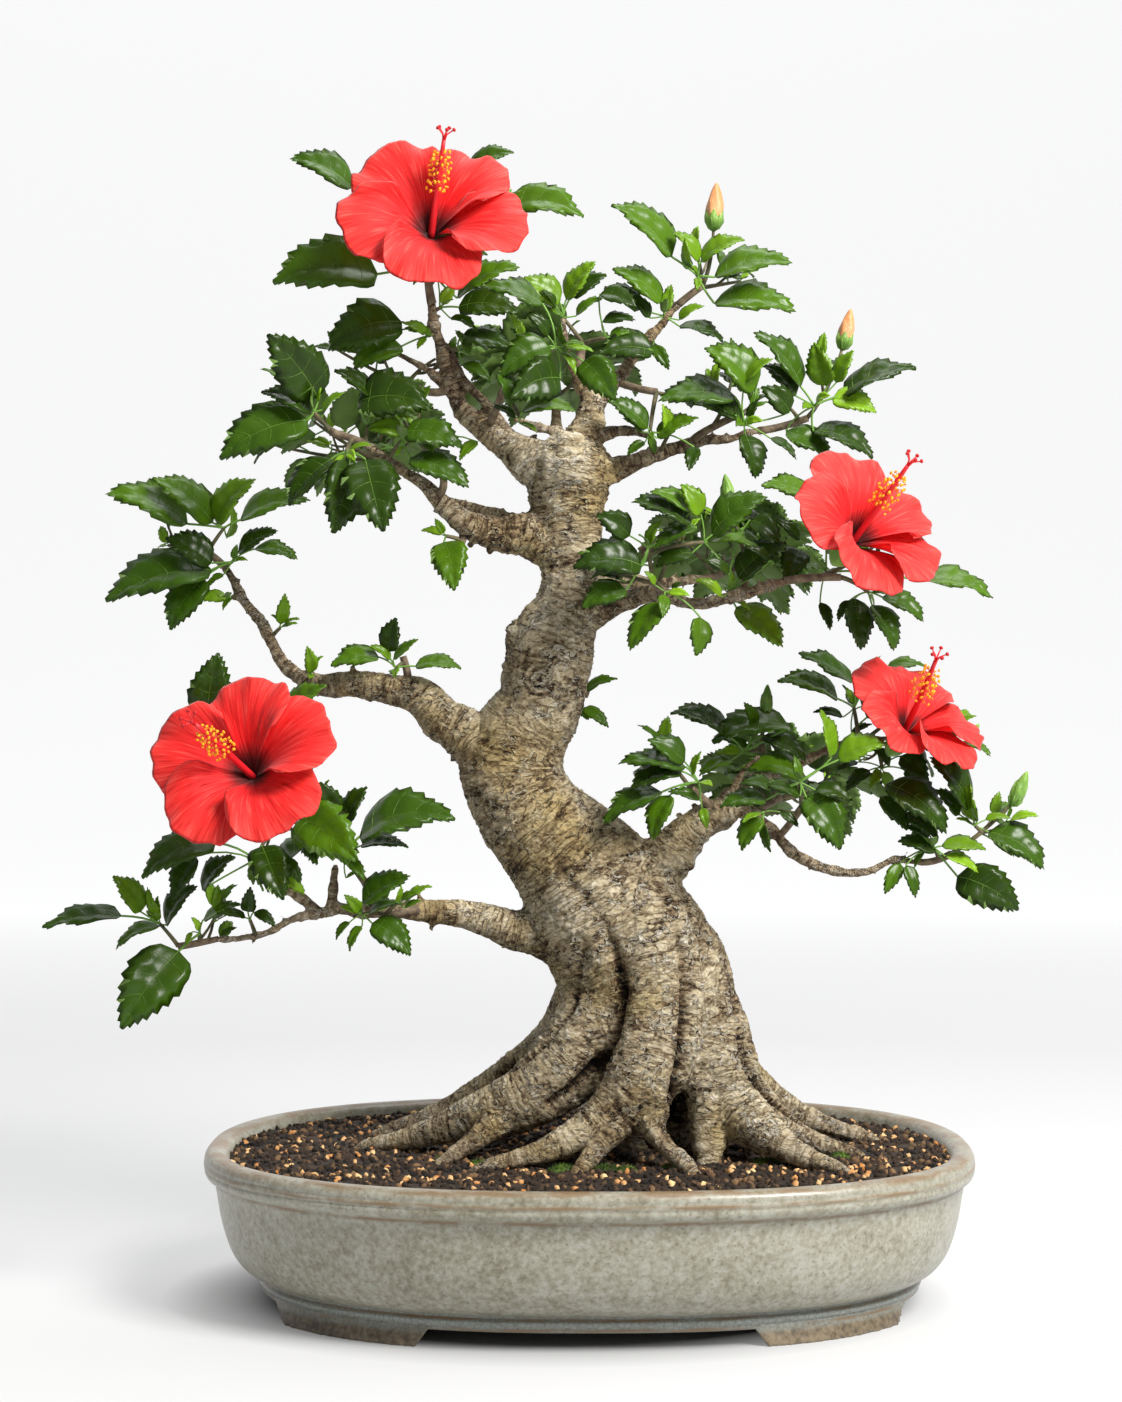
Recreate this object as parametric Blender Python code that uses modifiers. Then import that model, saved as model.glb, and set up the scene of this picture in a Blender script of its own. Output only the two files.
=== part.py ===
"""Hibiscus bonsai in an oval glazed pot, modelled at its real size in metres, +Z up.

The pot stands on four feet and holds the soil. The trunk, with its surface roots, is cut flat
where it meets the soil. The boughs leave the trunk, and each mass of foliage is one closed solid:
a stem, shoots and leaves that follow a seeded rule. Every place below is measured from the middle
of the pot, on the floor; the empty named plant_frame then moves the whole plant so that the origin
lies under the middle of its outer box. -Y faces the viewer.
"""

import math
import random

import bmesh
import bpy
from mathutils import Quaternion, Vector
from mathutils.bvhtree import BVHTree

# Where the middle of the pot stands, seen from the middle of the plant's outer box
POT_MIDDLE = Vector((0.0175, 0.0, 0.0))
# The clearance between two solids that touch on the real plant
GAP = 0.0003

# The pot: an oval (a superellipse) whose wall is drawn as (inset from the rim's edge, height)
POT_LENGTH = 0.415
POT_DEPTH = 0.334
OVAL_POWER = 2.4
OVAL_POINTS = 36
FLOOR_TOP = 0.019
UNDERSIDE = 0.008
WALL_OUTSIDE = [
    (0.034, UNDERSIDE),
    (0.0315, 0.0105),
    (0.0310, 0.0150),
    (0.0200, 0.0220),
    (0.0115, 0.0370),
    (0.0065, 0.0640),
    (0.0012, 0.0675),
    (0.0, 0.0740),
    (0.0015, 0.0812),
    (0.0050, 0.0830),
]
WALL_INSIDE = [(0.0110, 0.0825), (0.0130, 0.0790), (0.0180, 0.0400), (0.0340, FLOOR_TOP)]
FOOT_TOP_INSET = 0.0340
FOOT_TIP_INSET = 0.0440
FOOT_WIDTH = 0.026
FOOT_ROOT = 0.0120
FRONT_OPENING = (0.079, 0.090)
SIDE_OPENING = (0.046, 0.056)

# The flat level where the trunk and its roots are cut, just above the soil
GROUND = 0.078
SOIL_TOP = GROUND - GAP

# The trunk's S from the root flare to the fork: x, y, z, radius
TRUNK = [
    (0.0320, 0.004, 0.092, 0.0400),
    (0.0340, 0.004, 0.130, 0.0450),
    (0.0335, 0.003, 0.160, 0.0470),
    (0.0265, 0.000, 0.181, 0.0475),
    (0.0130, 0.000, 0.203, 0.0450),
    (0.0010, 0.000, 0.222, 0.0405),
    (-0.0140, 0.000, 0.240, 0.0340),
    (-0.0310, 0.001, 0.259, 0.0290),
    (-0.0415, 0.003, 0.279, 0.0280),
    (-0.0385, 0.004, 0.300, 0.0270),
    (-0.0315, 0.002, 0.318, 0.0250),
    (-0.0255, 0.000, 0.335, 0.0245),
    (-0.0210, -0.001, 0.354, 0.0250),
    (-0.0140, -0.001, 0.374, 0.0190),
    (-0.0105, -0.001, 0.395, 0.0172),
    (-0.0115, 0.000, 0.413, 0.0190),
    (-0.0115, 0.000, 0.436, 0.0220),
    (-0.0090, 0.000, 0.452, 0.0230),
    (-0.0060, 0.000, 0.466, 0.0130),
]

# The surface roots, each from inside the flare to where it goes into the soil
ROOTS = {
    "left": [
        (0.010, -0.006, 0.205, 0.026),
        (0.009, -0.014, 0.165, 0.023),
        (-0.008, -0.022, 0.130, 0.0215),
        (-0.040, -0.020, 0.106, 0.0175),
        (-0.070, -0.012, 0.094, 0.0105),
        (-0.100, 0.000, 0.083, 0.0065),
        (-0.122, 0.008, 0.078, 0.0040),
    ],
    "left_front": [
        (-0.044, -0.024, 0.102, 0.0120),
        (-0.060, -0.034, 0.089, 0.0065),
        (-0.077, -0.040, 0.078, 0.0040),
    ],
    "left_back": [
        (0.011, 0.020, 0.176, 0.024),
        (-0.012, 0.034, 0.132, 0.0190),
        (-0.052, 0.044, 0.104, 0.0125),
        (-0.086, 0.052, 0.088, 0.0070),
        (-0.116, 0.056, 0.078, 0.0040),
    ],
    "front": [
        (0.030, -0.012, 0.205, 0.030),
        (0.036, -0.026, 0.160, 0.027),
        (0.027, -0.040, 0.122, 0.0235),
        (0.006, -0.048, 0.100, 0.0135),
        (-0.024, -0.056, 0.086, 0.0070),
        (-0.055, -0.060, 0.078, 0.0040),
    ],
    "front_middle": [
        (0.024, -0.044, 0.112, 0.0150),
        (0.006, -0.060, 0.090, 0.0065),
        (-0.006, -0.070, 0.078, 0.0045),
    ],
    "front_right": [
        (0.030, -0.042, 0.112, 0.0160),
        (0.038, -0.058, 0.093, 0.0080),
        (0.052, -0.070, 0.078, 0.0045),
    ],
    "right": [
        (0.050, -0.004, 0.186, 0.026),
        (0.066, -0.014, 0.146, 0.0205),
        (0.074, -0.024, 0.112, 0.0200),
        (0.088, -0.040, 0.096, 0.0130),
        (0.108, -0.056, 0.085, 0.0070),
        (0.130, -0.068, 0.078, 0.0040),
    ],
    "right_middle": [
        (0.074, -0.012, 0.118, 0.0175),
        (0.098, -0.018, 0.098, 0.0110),
        (0.120, -0.018, 0.085, 0.0065),
        (0.142, -0.016, 0.078, 0.0040),
    ],
    "right_inner": [
        (0.064, -0.028, 0.118, 0.0160),
        (0.064, -0.034, 0.095, 0.0120),
        (0.062, -0.040, 0.078, 0.0075),
    ],
    "right_back": [
        (0.052, 0.016, 0.170, 0.024),
        (0.076, 0.026, 0.122, 0.0155),
        (0.104, 0.032, 0.098, 0.0100),
        (0.130, 0.036, 0.086, 0.0060),
        (0.156, 0.036, 0.078, 0.0040),
    ],
    "back": [
        (0.028, 0.020, 0.180, 0.028),
        (0.026, 0.044, 0.128, 0.0200),
        (0.016, 0.068, 0.098, 0.0120),
        (0.000, 0.092, 0.078, 0.0045),
    ],
    "back_right": [
        (0.036, 0.030, 0.140, 0.0200),
        (0.054, 0.060, 0.102, 0.0120),
        (0.076, 0.088, 0.078, 0.0045),
    ],
}

TRUNK_VOXEL = 0.0035
TRUNK_FACES = 1600
# The distance between two rings of a bough
BOUGH_STEP = 0.022

# The boughs: what each one grows from, then its knees as x, y, z, radius
BOUGHS = {
    "bough_lower_left": (
        "trunk",
        [
            (-0.010, 0.000, 0.198, 0.0150),
            (-0.036, -0.006, 0.201, 0.0105),
            (-0.060, -0.012, 0.207, 0.0080),
            (-0.088, -0.022, 0.211, 0.0072),
            (-0.117, -0.030, 0.209, 0.0052),
            (-0.136, -0.036, 0.213, 0.0042),
        ],
    ),
    "bough_lower_left_run": (
        "bough_lower_left",
        [
            (-0.132, -0.035, 0.212, 0.0036),
            (-0.154, -0.040, 0.207, 0.0032),
            (-0.177, -0.044, 0.198, 0.0025),
            (-0.200, -0.047, 0.196, 0.0020),
        ],
    ),
    "bough_left": (
        "trunk",
        [
            (-0.038, 0.002, 0.284, 0.0200),
            (-0.052, 0.001, 0.292, 0.0172),
            (-0.065, 0.001, 0.301, 0.0145),
            (-0.079, 0.003, 0.311, 0.0124),
            (-0.093, 0.005, 0.322, 0.0108),
            (-0.115, 0.008, 0.327, 0.0085),
            (-0.140, 0.010, 0.328, 0.0078),
            (-0.157, 0.012, 0.333, 0.0066),
        ],
    ),
    "bough_left_rise": (
        "bough_left",
        [
            (-0.153, 0.012, 0.332, 0.0058),
            (-0.166, 0.013, 0.341, 0.0053),
            (-0.177, 0.015, 0.360, 0.0044),
            (-0.190, 0.016, 0.378, 0.0041),
            (-0.203, 0.016, 0.399, 0.0028),
        ],
    ),
    "bough_upper_left": (
        "trunk",
        [
            (-0.018, 0.000, 0.409, 0.0160),
            (-0.036, -0.004, 0.412, 0.0122),
            (-0.052, -0.010, 0.414, 0.0098),
            (-0.067, -0.016, 0.419, 0.0085),
            (-0.079, -0.020, 0.428, 0.0066),
            (-0.087, -0.022, 0.437, 0.0052),
            (-0.102, -0.026, 0.447, 0.0038),
            (-0.120, -0.030, 0.460, 0.0027),
        ],
    ),
    "bough_top_left": (
        "trunk",
        [
            (-0.014, 0.000, 0.440, 0.0160),
            (-0.030, -0.001, 0.452, 0.0125),
            (-0.050, -0.003, 0.465, 0.0088),
            (-0.066, -0.005, 0.478, 0.0068),
            (-0.077, -0.006, 0.500, 0.0052),
            (-0.082, -0.008, 0.521, 0.0042),
            (-0.086, -0.010, 0.541, 0.0033),
        ],
    ),
    "bough_leader": (
        "trunk",
        [
            (-0.006, 0.000, 0.458, 0.0115),
            (0.000, 0.003, 0.474, 0.0092),
            (0.001, 0.005, 0.486, 0.0076),
            (-0.005, 0.006, 0.500, 0.0058),
        ],
    ),
    "bough_leader_right": (
        "bough_leader",
        [
            (0.000, 0.004, 0.474, 0.0060),
            (0.011, 0.009, 0.492, 0.0050),
            (0.027, 0.015, 0.515, 0.0042),
            (0.052, 0.022, 0.544, 0.0028),
        ],
    ),
    "bough_upper_right": (
        "trunk",
        [
            (-0.004, 0.000, 0.441, 0.0120),
            (0.016, 0.005, 0.448, 0.0088),
            (0.036, 0.010, 0.457, 0.0066),
            (0.056, 0.016, 0.464, 0.0054),
            (0.075, 0.022, 0.467, 0.0040),
            (0.098, 0.028, 0.473, 0.0028),
        ],
    ),
    "bough_right": (
        "trunk",
        [
            (-0.010, -0.004, 0.370, 0.0140),
            (0.010, -0.014, 0.376, 0.0092),
            (0.030, -0.026, 0.381, 0.0062),
            (0.055, -0.034, 0.377, 0.0046),
            (0.083, -0.038, 0.380, 0.0043),
            (0.107, -0.036, 0.387, 0.0030),
        ],
    ),
    "bough_lower_right": (
        "trunk",
        [
            (0.028, 0.000, 0.222, 0.0180),
            (0.044, -0.002, 0.238, 0.0140),
            (0.056, -0.005, 0.251, 0.0110),
            (0.068, -0.008, 0.262, 0.0086),
            (0.084, -0.010, 0.265, 0.0062),
        ],
    ),
    "bough_lower_right_run": (
        "bough_lower_right",
        [
            (0.080, -0.010, 0.264, 0.0050),
            (0.098, -0.014, 0.253, 0.0044),
            (0.113, -0.018, 0.238, 0.0042),
            (0.128, -0.020, 0.231, 0.0038),
            (0.148, -0.020, 0.230, 0.0033),
            (0.162, -0.018, 0.236, 0.0029),
            (0.181, -0.014, 0.235, 0.0023),
        ],
    ),
    "bough_lower_right_rise": (
        "bough_lower_right",
        [
            (0.066, -0.006, 0.262, 0.0058),
            (0.085, 0.003, 0.277, 0.0043),
            (0.110, 0.008, 0.285, 0.0036),
            (0.137, 0.012, 0.298, 0.0028),
        ],
    ),
    "bough_back_top": (
        "trunk",
        [
            (-0.010, 0.006, 0.440, 0.0115),
            (-0.012, 0.028, 0.452, 0.0080),
            (-0.016, 0.050, 0.470, 0.0055),
            (-0.018, 0.070, 0.490, 0.0032),
        ],
    ),
    "bough_back_right": (
        "trunk",
        [
            (-0.012, 0.004, 0.392, 0.0120),
            (0.008, 0.030, 0.392, 0.0085),
            (0.034, 0.055, 0.388, 0.0056),
            (0.064, 0.076, 0.392, 0.0032),
        ],
    ),
    "bough_back_low": (
        "trunk",
        [
            (0.018, 0.012, 0.212, 0.0150),
            (0.044, 0.044, 0.232, 0.0095),
            (0.072, 0.072, 0.250, 0.0060),
            (0.098, 0.094, 0.260, 0.0034),
        ],
    ),
    "bough_back_left": (
        "trunk",
        [
            (-0.006, 0.010, 0.422, 0.0110),
            (-0.028, 0.038, 0.430, 0.0078),
            (-0.070, 0.062, 0.442, 0.0054),
            (-0.108, 0.076, 0.456, 0.0030),
        ],
    ),
}

# The masses of foliage. limb and along say where the stem leaves (1 is the limb's tip), middle and
# half give the ellipsoid that the mass keeps to, tips are leaf ends that its outline must reach.
MASSES = {
    "foliage_top_bloom": dict(
        limb="bough_top_left", along=1.0, middle=(-0.088, -0.010, 0.570), half=(0.090, 0.070, 0.066),
        shoots=3, seed=3,
        tips=[(-0.161, 0.004, 0.614), (-0.170, -0.020, 0.548), (0.000, -0.004, 0.590),
              (-0.042, 0.018, 0.620)],
    ),
    "foliage_top_left": dict(
        limb="bough_top_left", along=0.62, middle=(-0.114, -0.006, 0.506), half=(0.056, 0.052, 0.040),
        shoots=4, seed=5, tips=[(-0.142, -0.014, 0.510)],
    ),
    "foliage_crown_front": dict(
        limb="bough_top_left", along=0.40, middle=(-0.040, -0.052, 0.512), half=(0.064, 0.054, 0.048),
        shoots=5, seed=11, tips=[],
    ),
    "foliage_crown_middle": dict(
        limb="bough_leader", along=1.0, middle=(-0.002, 0.012, 0.536), half=(0.054, 0.052, 0.044),
        shoots=4, seed=8, tips=[],
    ),
    "foliage_crown_right": dict(
        limb="bough_leader_right", along=1.0, middle=(0.068, 0.022, 0.562), half=(0.062, 0.052, 0.048),
        shoots=4, seed=21, tips=[(0.013, 0.010, 0.592), (0.104, 0.020, 0.563), (0.106, 0.004, 0.548)],
    ),
    "foliage_crown_inner": dict(
        limb="bough_leader_right", along=0.35, middle=(0.048, -0.010, 0.492), half=(0.046, 0.050, 0.034),
        shoots=3, seed=4, tips=[],
    ),
    "foliage_upper_right": dict(
        limb="bough_upper_right", along=0.62, middle=(0.092, 0.000, 0.490), half=(0.044, 0.060, 0.040),
        shoots=4, seed=13, tips=[(0.072, -0.010, 0.440)],
    ),
    "foliage_upper_right_end": dict(
        limb="bough_upper_right", along=1.0, middle=(0.136, 0.024, 0.490), half=(0.050, 0.052, 0.046),
        shoots=4, seed=17, tips=[(0.178, 0.026, 0.504), (0.152, 0.010, 0.452), (0.076, 0.020, 0.520)],
    ),
    "foliage_right_inner": dict(
        limb="bough_right", along=0.45, middle=(0.030, -0.056, 0.396), half=(0.052, 0.050, 0.046),
        shoots=4, seed=25, tips=[(-0.023, -0.066, 0.395), (0.017, -0.048, 0.352), (-0.018, -0.060, 0.374)],
    ),
    "foliage_right_middle": dict(
        limb="bough_right", along=0.80, middle=(0.086, -0.024, 0.405), half=(0.050, 0.054, 0.042),
        shoots=4, seed=27, tips=[(0.082, -0.046, 0.352)],
    ),
    "foliage_right_bloom": dict(
        limb="bough_right", along=1.0, middle=(0.150, -0.036, 0.398), half=(0.072, 0.066, 0.060),
        shoots=4, seed=31, tips=[(0.210, -0.010, 0.382), (0.138, -0.024, 0.346), (0.164, -0.020, 0.350)],
    ),
    "foliage_lower_right_inner": dict(
        limb="bough_lower_right", along=0.78, middle=(0.048, -0.032, 0.286), half=(0.044, 0.046, 0.034),
        shoots=3, seed=35, tips=[(0.006, -0.026, 0.259), (0.014, -0.024, 0.290)],
    ),
    "foliage_lower_right_middle": dict(
        limb="bough_lower_right_rise", along=0.48, middle=(0.094, 0.004, 0.306), half=(0.056, 0.054, 0.034),
        shoots=4, seed=37, tips=[(0.036, 0.010, 0.320)],
    ),
    "foliage_lower_right_front": dict(
        limb="bough_lower_right_run", along=0.24, middle=(0.118, -0.050, 0.280), half=(0.054, 0.044, 0.038),
        shoots=4, seed=41, tips=[(0.128, -0.050, 0.243)],
    ),
    "foliage_lower_right_bloom": dict(
        limb="bough_lower_right_rise", along=1.0, middle=(0.170, 0.012, 0.312), half=(0.064, 0.062, 0.052),
        shoots=4, seed=43, tips=[(0.092, 0.010, 0.336), (0.108, 0.020, 0.348)],
    ),
    "foliage_lower_right_end": dict(
        limb="bough_lower_right_run", along=1.0, middle=(0.204, -0.018, 0.250), half=(0.050, 0.050, 0.046),
        shoots=4, seed=47, tips=[(0.247, -0.014, 0.234), (0.232, -0.024, 0.208), (0.172, -0.022, 0.218)],
    ),
    "foliage_upper_left_end": dict(
        limb="bough_upper_left", along=1.0, middle=(-0.150, -0.032, 0.478), half=(0.054, 0.054, 0.056),
        shoots=4, seed=51, tips=[(-0.197, -0.030, 0.450), (-0.172, -0.030, 0.522), (-0.110, -0.050, 0.410)],
    ),
    "foliage_upper_left_inner": dict(
        limb="bough_upper_left", along=0.62, middle=(-0.084, -0.036, 0.466), half=(0.044, 0.050, 0.036),
        shoots=4, seed=53, tips=[(-0.064, -0.036, 0.446)],
    ),
    "foliage_upper_left_leaf": dict(
        limb="bough_upper_left", along=0.42, middle=(-0.076, -0.020, 0.398), half=(0.022, 0.022, 0.026),
        shoots=1, seed=2, tips=[(-0.076, -0.028, 0.378)],
    ),
    "foliage_left_end": dict(
        limb="bough_left_rise", along=1.0, middle=(-0.211, 0.014, 0.404), half=(0.060, 0.054, 0.044),
        shoots=3, seed=57, tips=[(-0.266, 0.010, 0.432), (-0.264, 0.006, 0.378), (-0.228, -0.006, 0.362),
                                 (-0.164, 0.020, 0.402), (-0.190, 0.026, 0.440)],
    ),
    "foliage_left_tuft": dict(
        limb="bough_left", along=0.58, middle=(-0.104, 0.004, 0.356), half=(0.038, 0.034, 0.024),
        shoots=2, seed=61, tips=[(-0.138, 0.004, 0.348), (-0.072, 0.004, 0.347)],
    ),
    "foliage_lower_left_bloom": dict(
        limb="bough_lower_left", along=0.84, middle=(-0.146, -0.056, 0.272), half=(0.080, 0.076, 0.062),
        shoots=4, seed=63, tips=[(-0.080, -0.060, 0.268), (-0.134, -0.024, 0.314), (-0.200, -0.014, 0.330),
                                 (-0.228, -0.060, 0.240), (-0.160, -0.070, 0.226)],
    ),
    "foliage_lower_left_end": dict(
        limb="bough_lower_left_run", along=1.0, middle=(-0.228, -0.046, 0.198), half=(0.062, 0.050, 0.050),
        shoots=3, seed=67, tips=[(-0.284, -0.046, 0.205), (-0.240, -0.056, 0.149), (-0.252, -0.050, 0.186)],
    ),
    "foliage_lower_left_inner": dict(
        limb="bough_lower_left", along=0.66, middle=(-0.114, -0.050, 0.212), half=(0.044, 0.044, 0.032),
        shoots=3, seed=71, tips=[(-0.096, -0.056, 0.188), (-0.072, -0.040, 0.224)],
    ),
    "foliage_trunk_sprig": dict(
        limb="trunk", along=0.65, side=(0.9, 0.4, 0.0),
        middle=(0.006, 0.010, 0.328), half=(0.030, 0.026, 0.030), shoots=0, seed=2,
        tips=[(0.017, 0.004, 0.336), (0.012, 0.004, 0.309)],
    ),
    "foliage_back_top": dict(
        limb="bough_back_top", along=1.0, middle=(-0.022, 0.088, 0.516), half=(0.076, 0.052, 0.046),
        shoots=5, seed=73, tips=[],
    ),
    "foliage_back_right": dict(
        limb="bough_back_right", along=1.0, middle=(0.092, 0.098, 0.408), half=(0.072, 0.052, 0.044),
        shoots=5, seed=77, tips=[],
    ),
    "foliage_back_low": dict(
        limb="bough_back_low", along=1.0, middle=(0.122, 0.106, 0.276), half=(0.068, 0.052, 0.040),
        shoots=5, seed=79, tips=[],
    ),
    "foliage_back_left": dict(
        limb="bough_back_left", along=1.0, middle=(-0.140, 0.090, 0.474), half=(0.070, 0.052, 0.044),
        shoots=5, seed=83, tips=[],
    ),
}

# The open blooms: the mass each belongs to, its throat, the ways that it and its column face, its
# radius, and the angle in degrees of the notch between two of its petals
BLOOMS = {
    "foliage_top_bloom": dict(
        throat=(-0.0845, -0.026, 0.5705), facing=(0.06, -0.74, 0.67), column=(0.15, -0.36, 0.92),
        radius=0.0530, notch=18,
    ),
    "foliage_right_bloom": dict(
        throat=(0.1370, -0.062, 0.4045), facing=(0.49, -0.68, 0.55), column=(0.50, -0.42, 0.74),
        radius=0.0460, notch=-25,
    ),
    "foliage_lower_right_bloom": dict(
        throat=(0.1745, -0.010, 0.3047), facing=(0.50, -0.42, 0.75), column=(0.23, -0.64, 0.72),
        radius=0.0435, notch=18,
    ),
    "foliage_lower_left_bloom": dict(
        throat=(-0.1730, -0.092, 0.2835), facing=(-0.25, -0.87, 0.42), column=(-0.48, -0.70, 0.52),
        radius=0.0500, notch=-25,
    ),
}
COLUMN_LENGTH = 0.060
COLUMN_RADII = (0.0030, 0.0036, 0.0030)
PETAL_OUTLINE = (0.70, 0.95, 1.02, 0.98)
# The closed buds: the mass, the bud's tip, its length
BUDS = [
    ("foliage_crown_right", (0.071, 0.024, 0.609), 0.026),
    ("foliage_crown_right", (0.052, 0.022, 0.574), 0.013),
    ("foliage_upper_right_end", (0.146, 0.030, 0.540), 0.023),
    ("foliage_right_middle", (0.073, -0.020, 0.444), 0.019),
    ("foliage_lower_right_middle", (0.098, 0.008, 0.331), 0.017),
    ("foliage_lower_right_end", (0.236, -0.018, 0.284), 0.020),
]

# The leaves and twigs
LEAF_LENGTH = 0.047
LEAF_SHAPE = 0.70
LEAF_THICKNESS = 0.0010
PETAL_THICKNESS = 0.0012
LEAF_DROOP = 0.16
STALK_LENGTH = 0.010
LEAVES_PER_SHOOT = 4
# The shares of a shoot between which its leaves stand, and how often a leaf is tried again
LEAVES_FROM, LEAVES_TO = 0.36, 0.96
LEAF_TRIES = 7
# A leaf that the outline must reach: its greatest length, and how far its twig is sought
TIP_LEAF_LENGTH = 0.052
TIP_REACH = 0.058
# Where along a twig such a leaf may sit, and the same place as a share of the twig's last piece
TIP_SEATS = {0.55: 0.05, 0.8: 0.5, 1.0: 0.95}
STEM_RADIUS = 0.0020
STEM_LENGTH = 0.014
SHOOT_RADIUS = 0.0012
SHOOT_TIP_RADIUS = 0.0008
GOLDEN_ANGLE = math.pi * (3 - math.sqrt(5))

BARK = ("bark_tan", (0.235, 0.175, 0.110), 0.85)
LEAF_GREEN = ("leaf_green", (0.045, 0.120, 0.018), 0.35)
GLAZE = ("celadon_glaze", (0.330, 0.330, 0.265), 0.30)
SOIL_BROWN = ("soil_brown", (0.045, 0.033, 0.022), 0.95)


def clear_scene():
    for old in list(bpy.data.objects):
        bpy.data.objects.remove(old)


def new_collection(name, hidden=False):
    made = bpy.data.collections.new(name)
    bpy.context.scene.collection.children.link(made)
    made.hide_render = hidden
    return made


def material(name, colour, roughness):
    made = bpy.data.materials.get(name)
    if made is None:
        made = bpy.data.materials.new(name)
        made.use_nodes = True
        shader = made.node_tree.nodes["Principled BSDF"]
        shader.inputs["Base Color"].default_value = (*colour, 1.0)
        shader.inputs["Roughness"].default_value = roughness
        shader.inputs["Metallic"].default_value = 0.0
    return made


def add_object(name, mesh, finish, collection):
    made = bpy.data.objects.new(name, mesh)
    collection.objects.link(made)
    mesh.materials.clear()
    mesh.materials.append(material(*finish))
    return made


def mesh_from(bm, name):
    """The bmesh as a mesh, with every face turned outwards."""
    bmesh.ops.recalc_face_normals(bm, faces=bm.faces)
    if bm.calc_volume(signed=True) < 0:
        bmesh.ops.reverse_faces(bm, faces=bm.faces)
    mesh = bpy.data.meshes.new(name)
    bm.to_mesh(mesh)
    bm.free()
    return mesh


def loft(bm, rings, closed_ends=True):
    """Faces between rings of points, each with as many points as the next, and the two end caps."""
    loops = [[bm.verts.new(point) for point in ring] for ring in rings]
    count = len(rings[0])
    for lower, upper in zip(loops, loops[1:]):
        for i in range(count):
            j = (i + 1) % count
            bm.faces.new((lower[i], lower[j], upper[j], upper[i]))
    if closed_ends:
        bm.faces.new(loops[0])
        bm.faces.new(loops[-1])
    return loops


def oval_ring(inset, height):
    """A ring of the pot's outline, drawn in from the rim's edge."""
    half_x = POT_LENGTH / 2 - inset
    half_y = POT_DEPTH / 2 - inset
    ring = []
    for i in range(OVAL_POINTS):
        turn = 2 * math.pi * (i + 0.5) / OVAL_POINTS
        across, deep = math.cos(turn), math.sin(turn)
        ring.append((
            half_x * math.copysign(abs(across) ** (2 / OVAL_POWER), across),
            half_y * math.copysign(abs(deep) ** (2 / OVAL_POWER), deep),
            height,
        ))
    return ring


def oval_loft(name, wall):
    bm = bmesh.new()
    loft(bm, [oval_ring(inset, height) for inset, height in wall])
    return mesh_from(bm, name)


def apply_modifiers(obj):
    """The object keeps its evaluated mesh, and its modifiers go."""
    graph = bpy.context.evaluated_depsgraph_get()
    finish = obj.data.materials[0]
    mesh = bpy.data.meshes.new_from_object(obj.evaluated_get(graph))
    obj.modifiers.clear()
    obj.data = mesh
    mesh.materials.clear()
    mesh.materials.append(finish)


def boolean(obj, other, operation, solver="EXACT"):
    cut = obj.modifiers.new(operation.lower(), "BOOLEAN")
    cut.operation = operation
    cut.solver = solver
    if isinstance(other, bpy.types.Collection):
        cut.operand_type = "COLLECTION"
        cut.collection = other
    else:
        cut.object = other
    bpy.context.view_layer.update()
    apply_modifiers(obj)


def keep_largest_shell(mesh):
    """Fills the hollows that fusing sealed, and drops loose scraps: only the largest shell stays."""
    bm = bmesh.new()
    bm.from_mesh(mesh)
    waiting = set(bm.faces)
    shells = []
    while waiting:
        shell = set()
        edge_of_shell = [waiting.pop()]
        while edge_of_shell:
            face = edge_of_shell.pop()
            shell.add(face)
            for edge in face.edges:
                for near in edge.link_faces:
                    if near in waiting:
                        waiting.remove(near)
                        edge_of_shell.append(near)
        shells.append(shell)
    shells.sort(key=len)
    for shell in shells[:-1]:
        bmesh.ops.delete(bm, geom=list(shell), context="FACES")
    bm.to_mesh(mesh)
    bm.free()


def wedge(name, half_top, half_bottom, length, along_x):
    """A cutter between two feet: a long bar, wider at the floor than under the pot."""
    bm = bmesh.new()
    bmesh.ops.create_cube(bm, size=1.0)
    for vert in bm.verts:
        half = half_top if vert.co.z > 0 else half_bottom
        side = math.copysign(half, vert.co.x if not along_x else vert.co.y)
        run = math.copysign(length / 2, vert.co.y if not along_x else vert.co.x)
        height = UNDERSIDE if vert.co.z > 0 else -UNDERSIDE
        vert.co = (run, side, height) if along_x else (side, run, height)
    return add_object(name, mesh_from(bm, name), GLAZE, cutters)


def make_pot():
    """The oval pot with its rolled lip, the band at its base and four feet, one fired piece."""
    pot = add_object("pot", oval_loft("pot", WALL_OUTSIDE + WALL_INSIDE), GLAZE, plant)
    foot_wall = [(FOOT_TIP_INSET, 0.0), (FOOT_TOP_INSET, UNDERSIDE), (FOOT_TOP_INSET, FOOT_ROOT)]
    feet = add_object("feet", oval_loft("feet", foot_wall), GLAZE, cutters)
    foot_back = FOOT_TIP_INSET + FOOT_WIDTH
    recess_wall = [(foot_back, -UNDERSIDE), (foot_back, UNDERSIDE)]
    recess = add_object("recess", oval_loft("recess", recess_wall), GLAZE, cutters)
    boolean(feet, recess, "DIFFERENCE")
    boolean(feet, wedge("front_opening", *FRONT_OPENING, 2 * POT_DEPTH, False), "DIFFERENCE")
    boolean(feet, wedge("side_opening", *SIDE_OPENING, 2 * POT_LENGTH, True), "DIFFERENCE")
    boolean(pot, feet, "UNION")
    return pot


def make_soil():
    inside = [(inset + GAP, height) for inset, height in reversed(WALL_INSIDE[2:])]
    inside[0] = (inside[0][0], FLOOR_TOP + GAP)
    wall = inside + [(WALL_INSIDE[1][0] + 3 * GAP, SOIL_TOP)]
    return add_object("soil", oval_loft("soil", wall), SOIL_BROWN, plant)


def through(a, b, c, d, t):
    """The Catmull-Rom value at t between b and c."""
    bend = (2 * a - 5 * b + 4 * c - d) * t * t + (3 * b - a - 3 * c + d) * t ** 3
    return 0.5 * (2 * b + (c - a) * t + bend)


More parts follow.
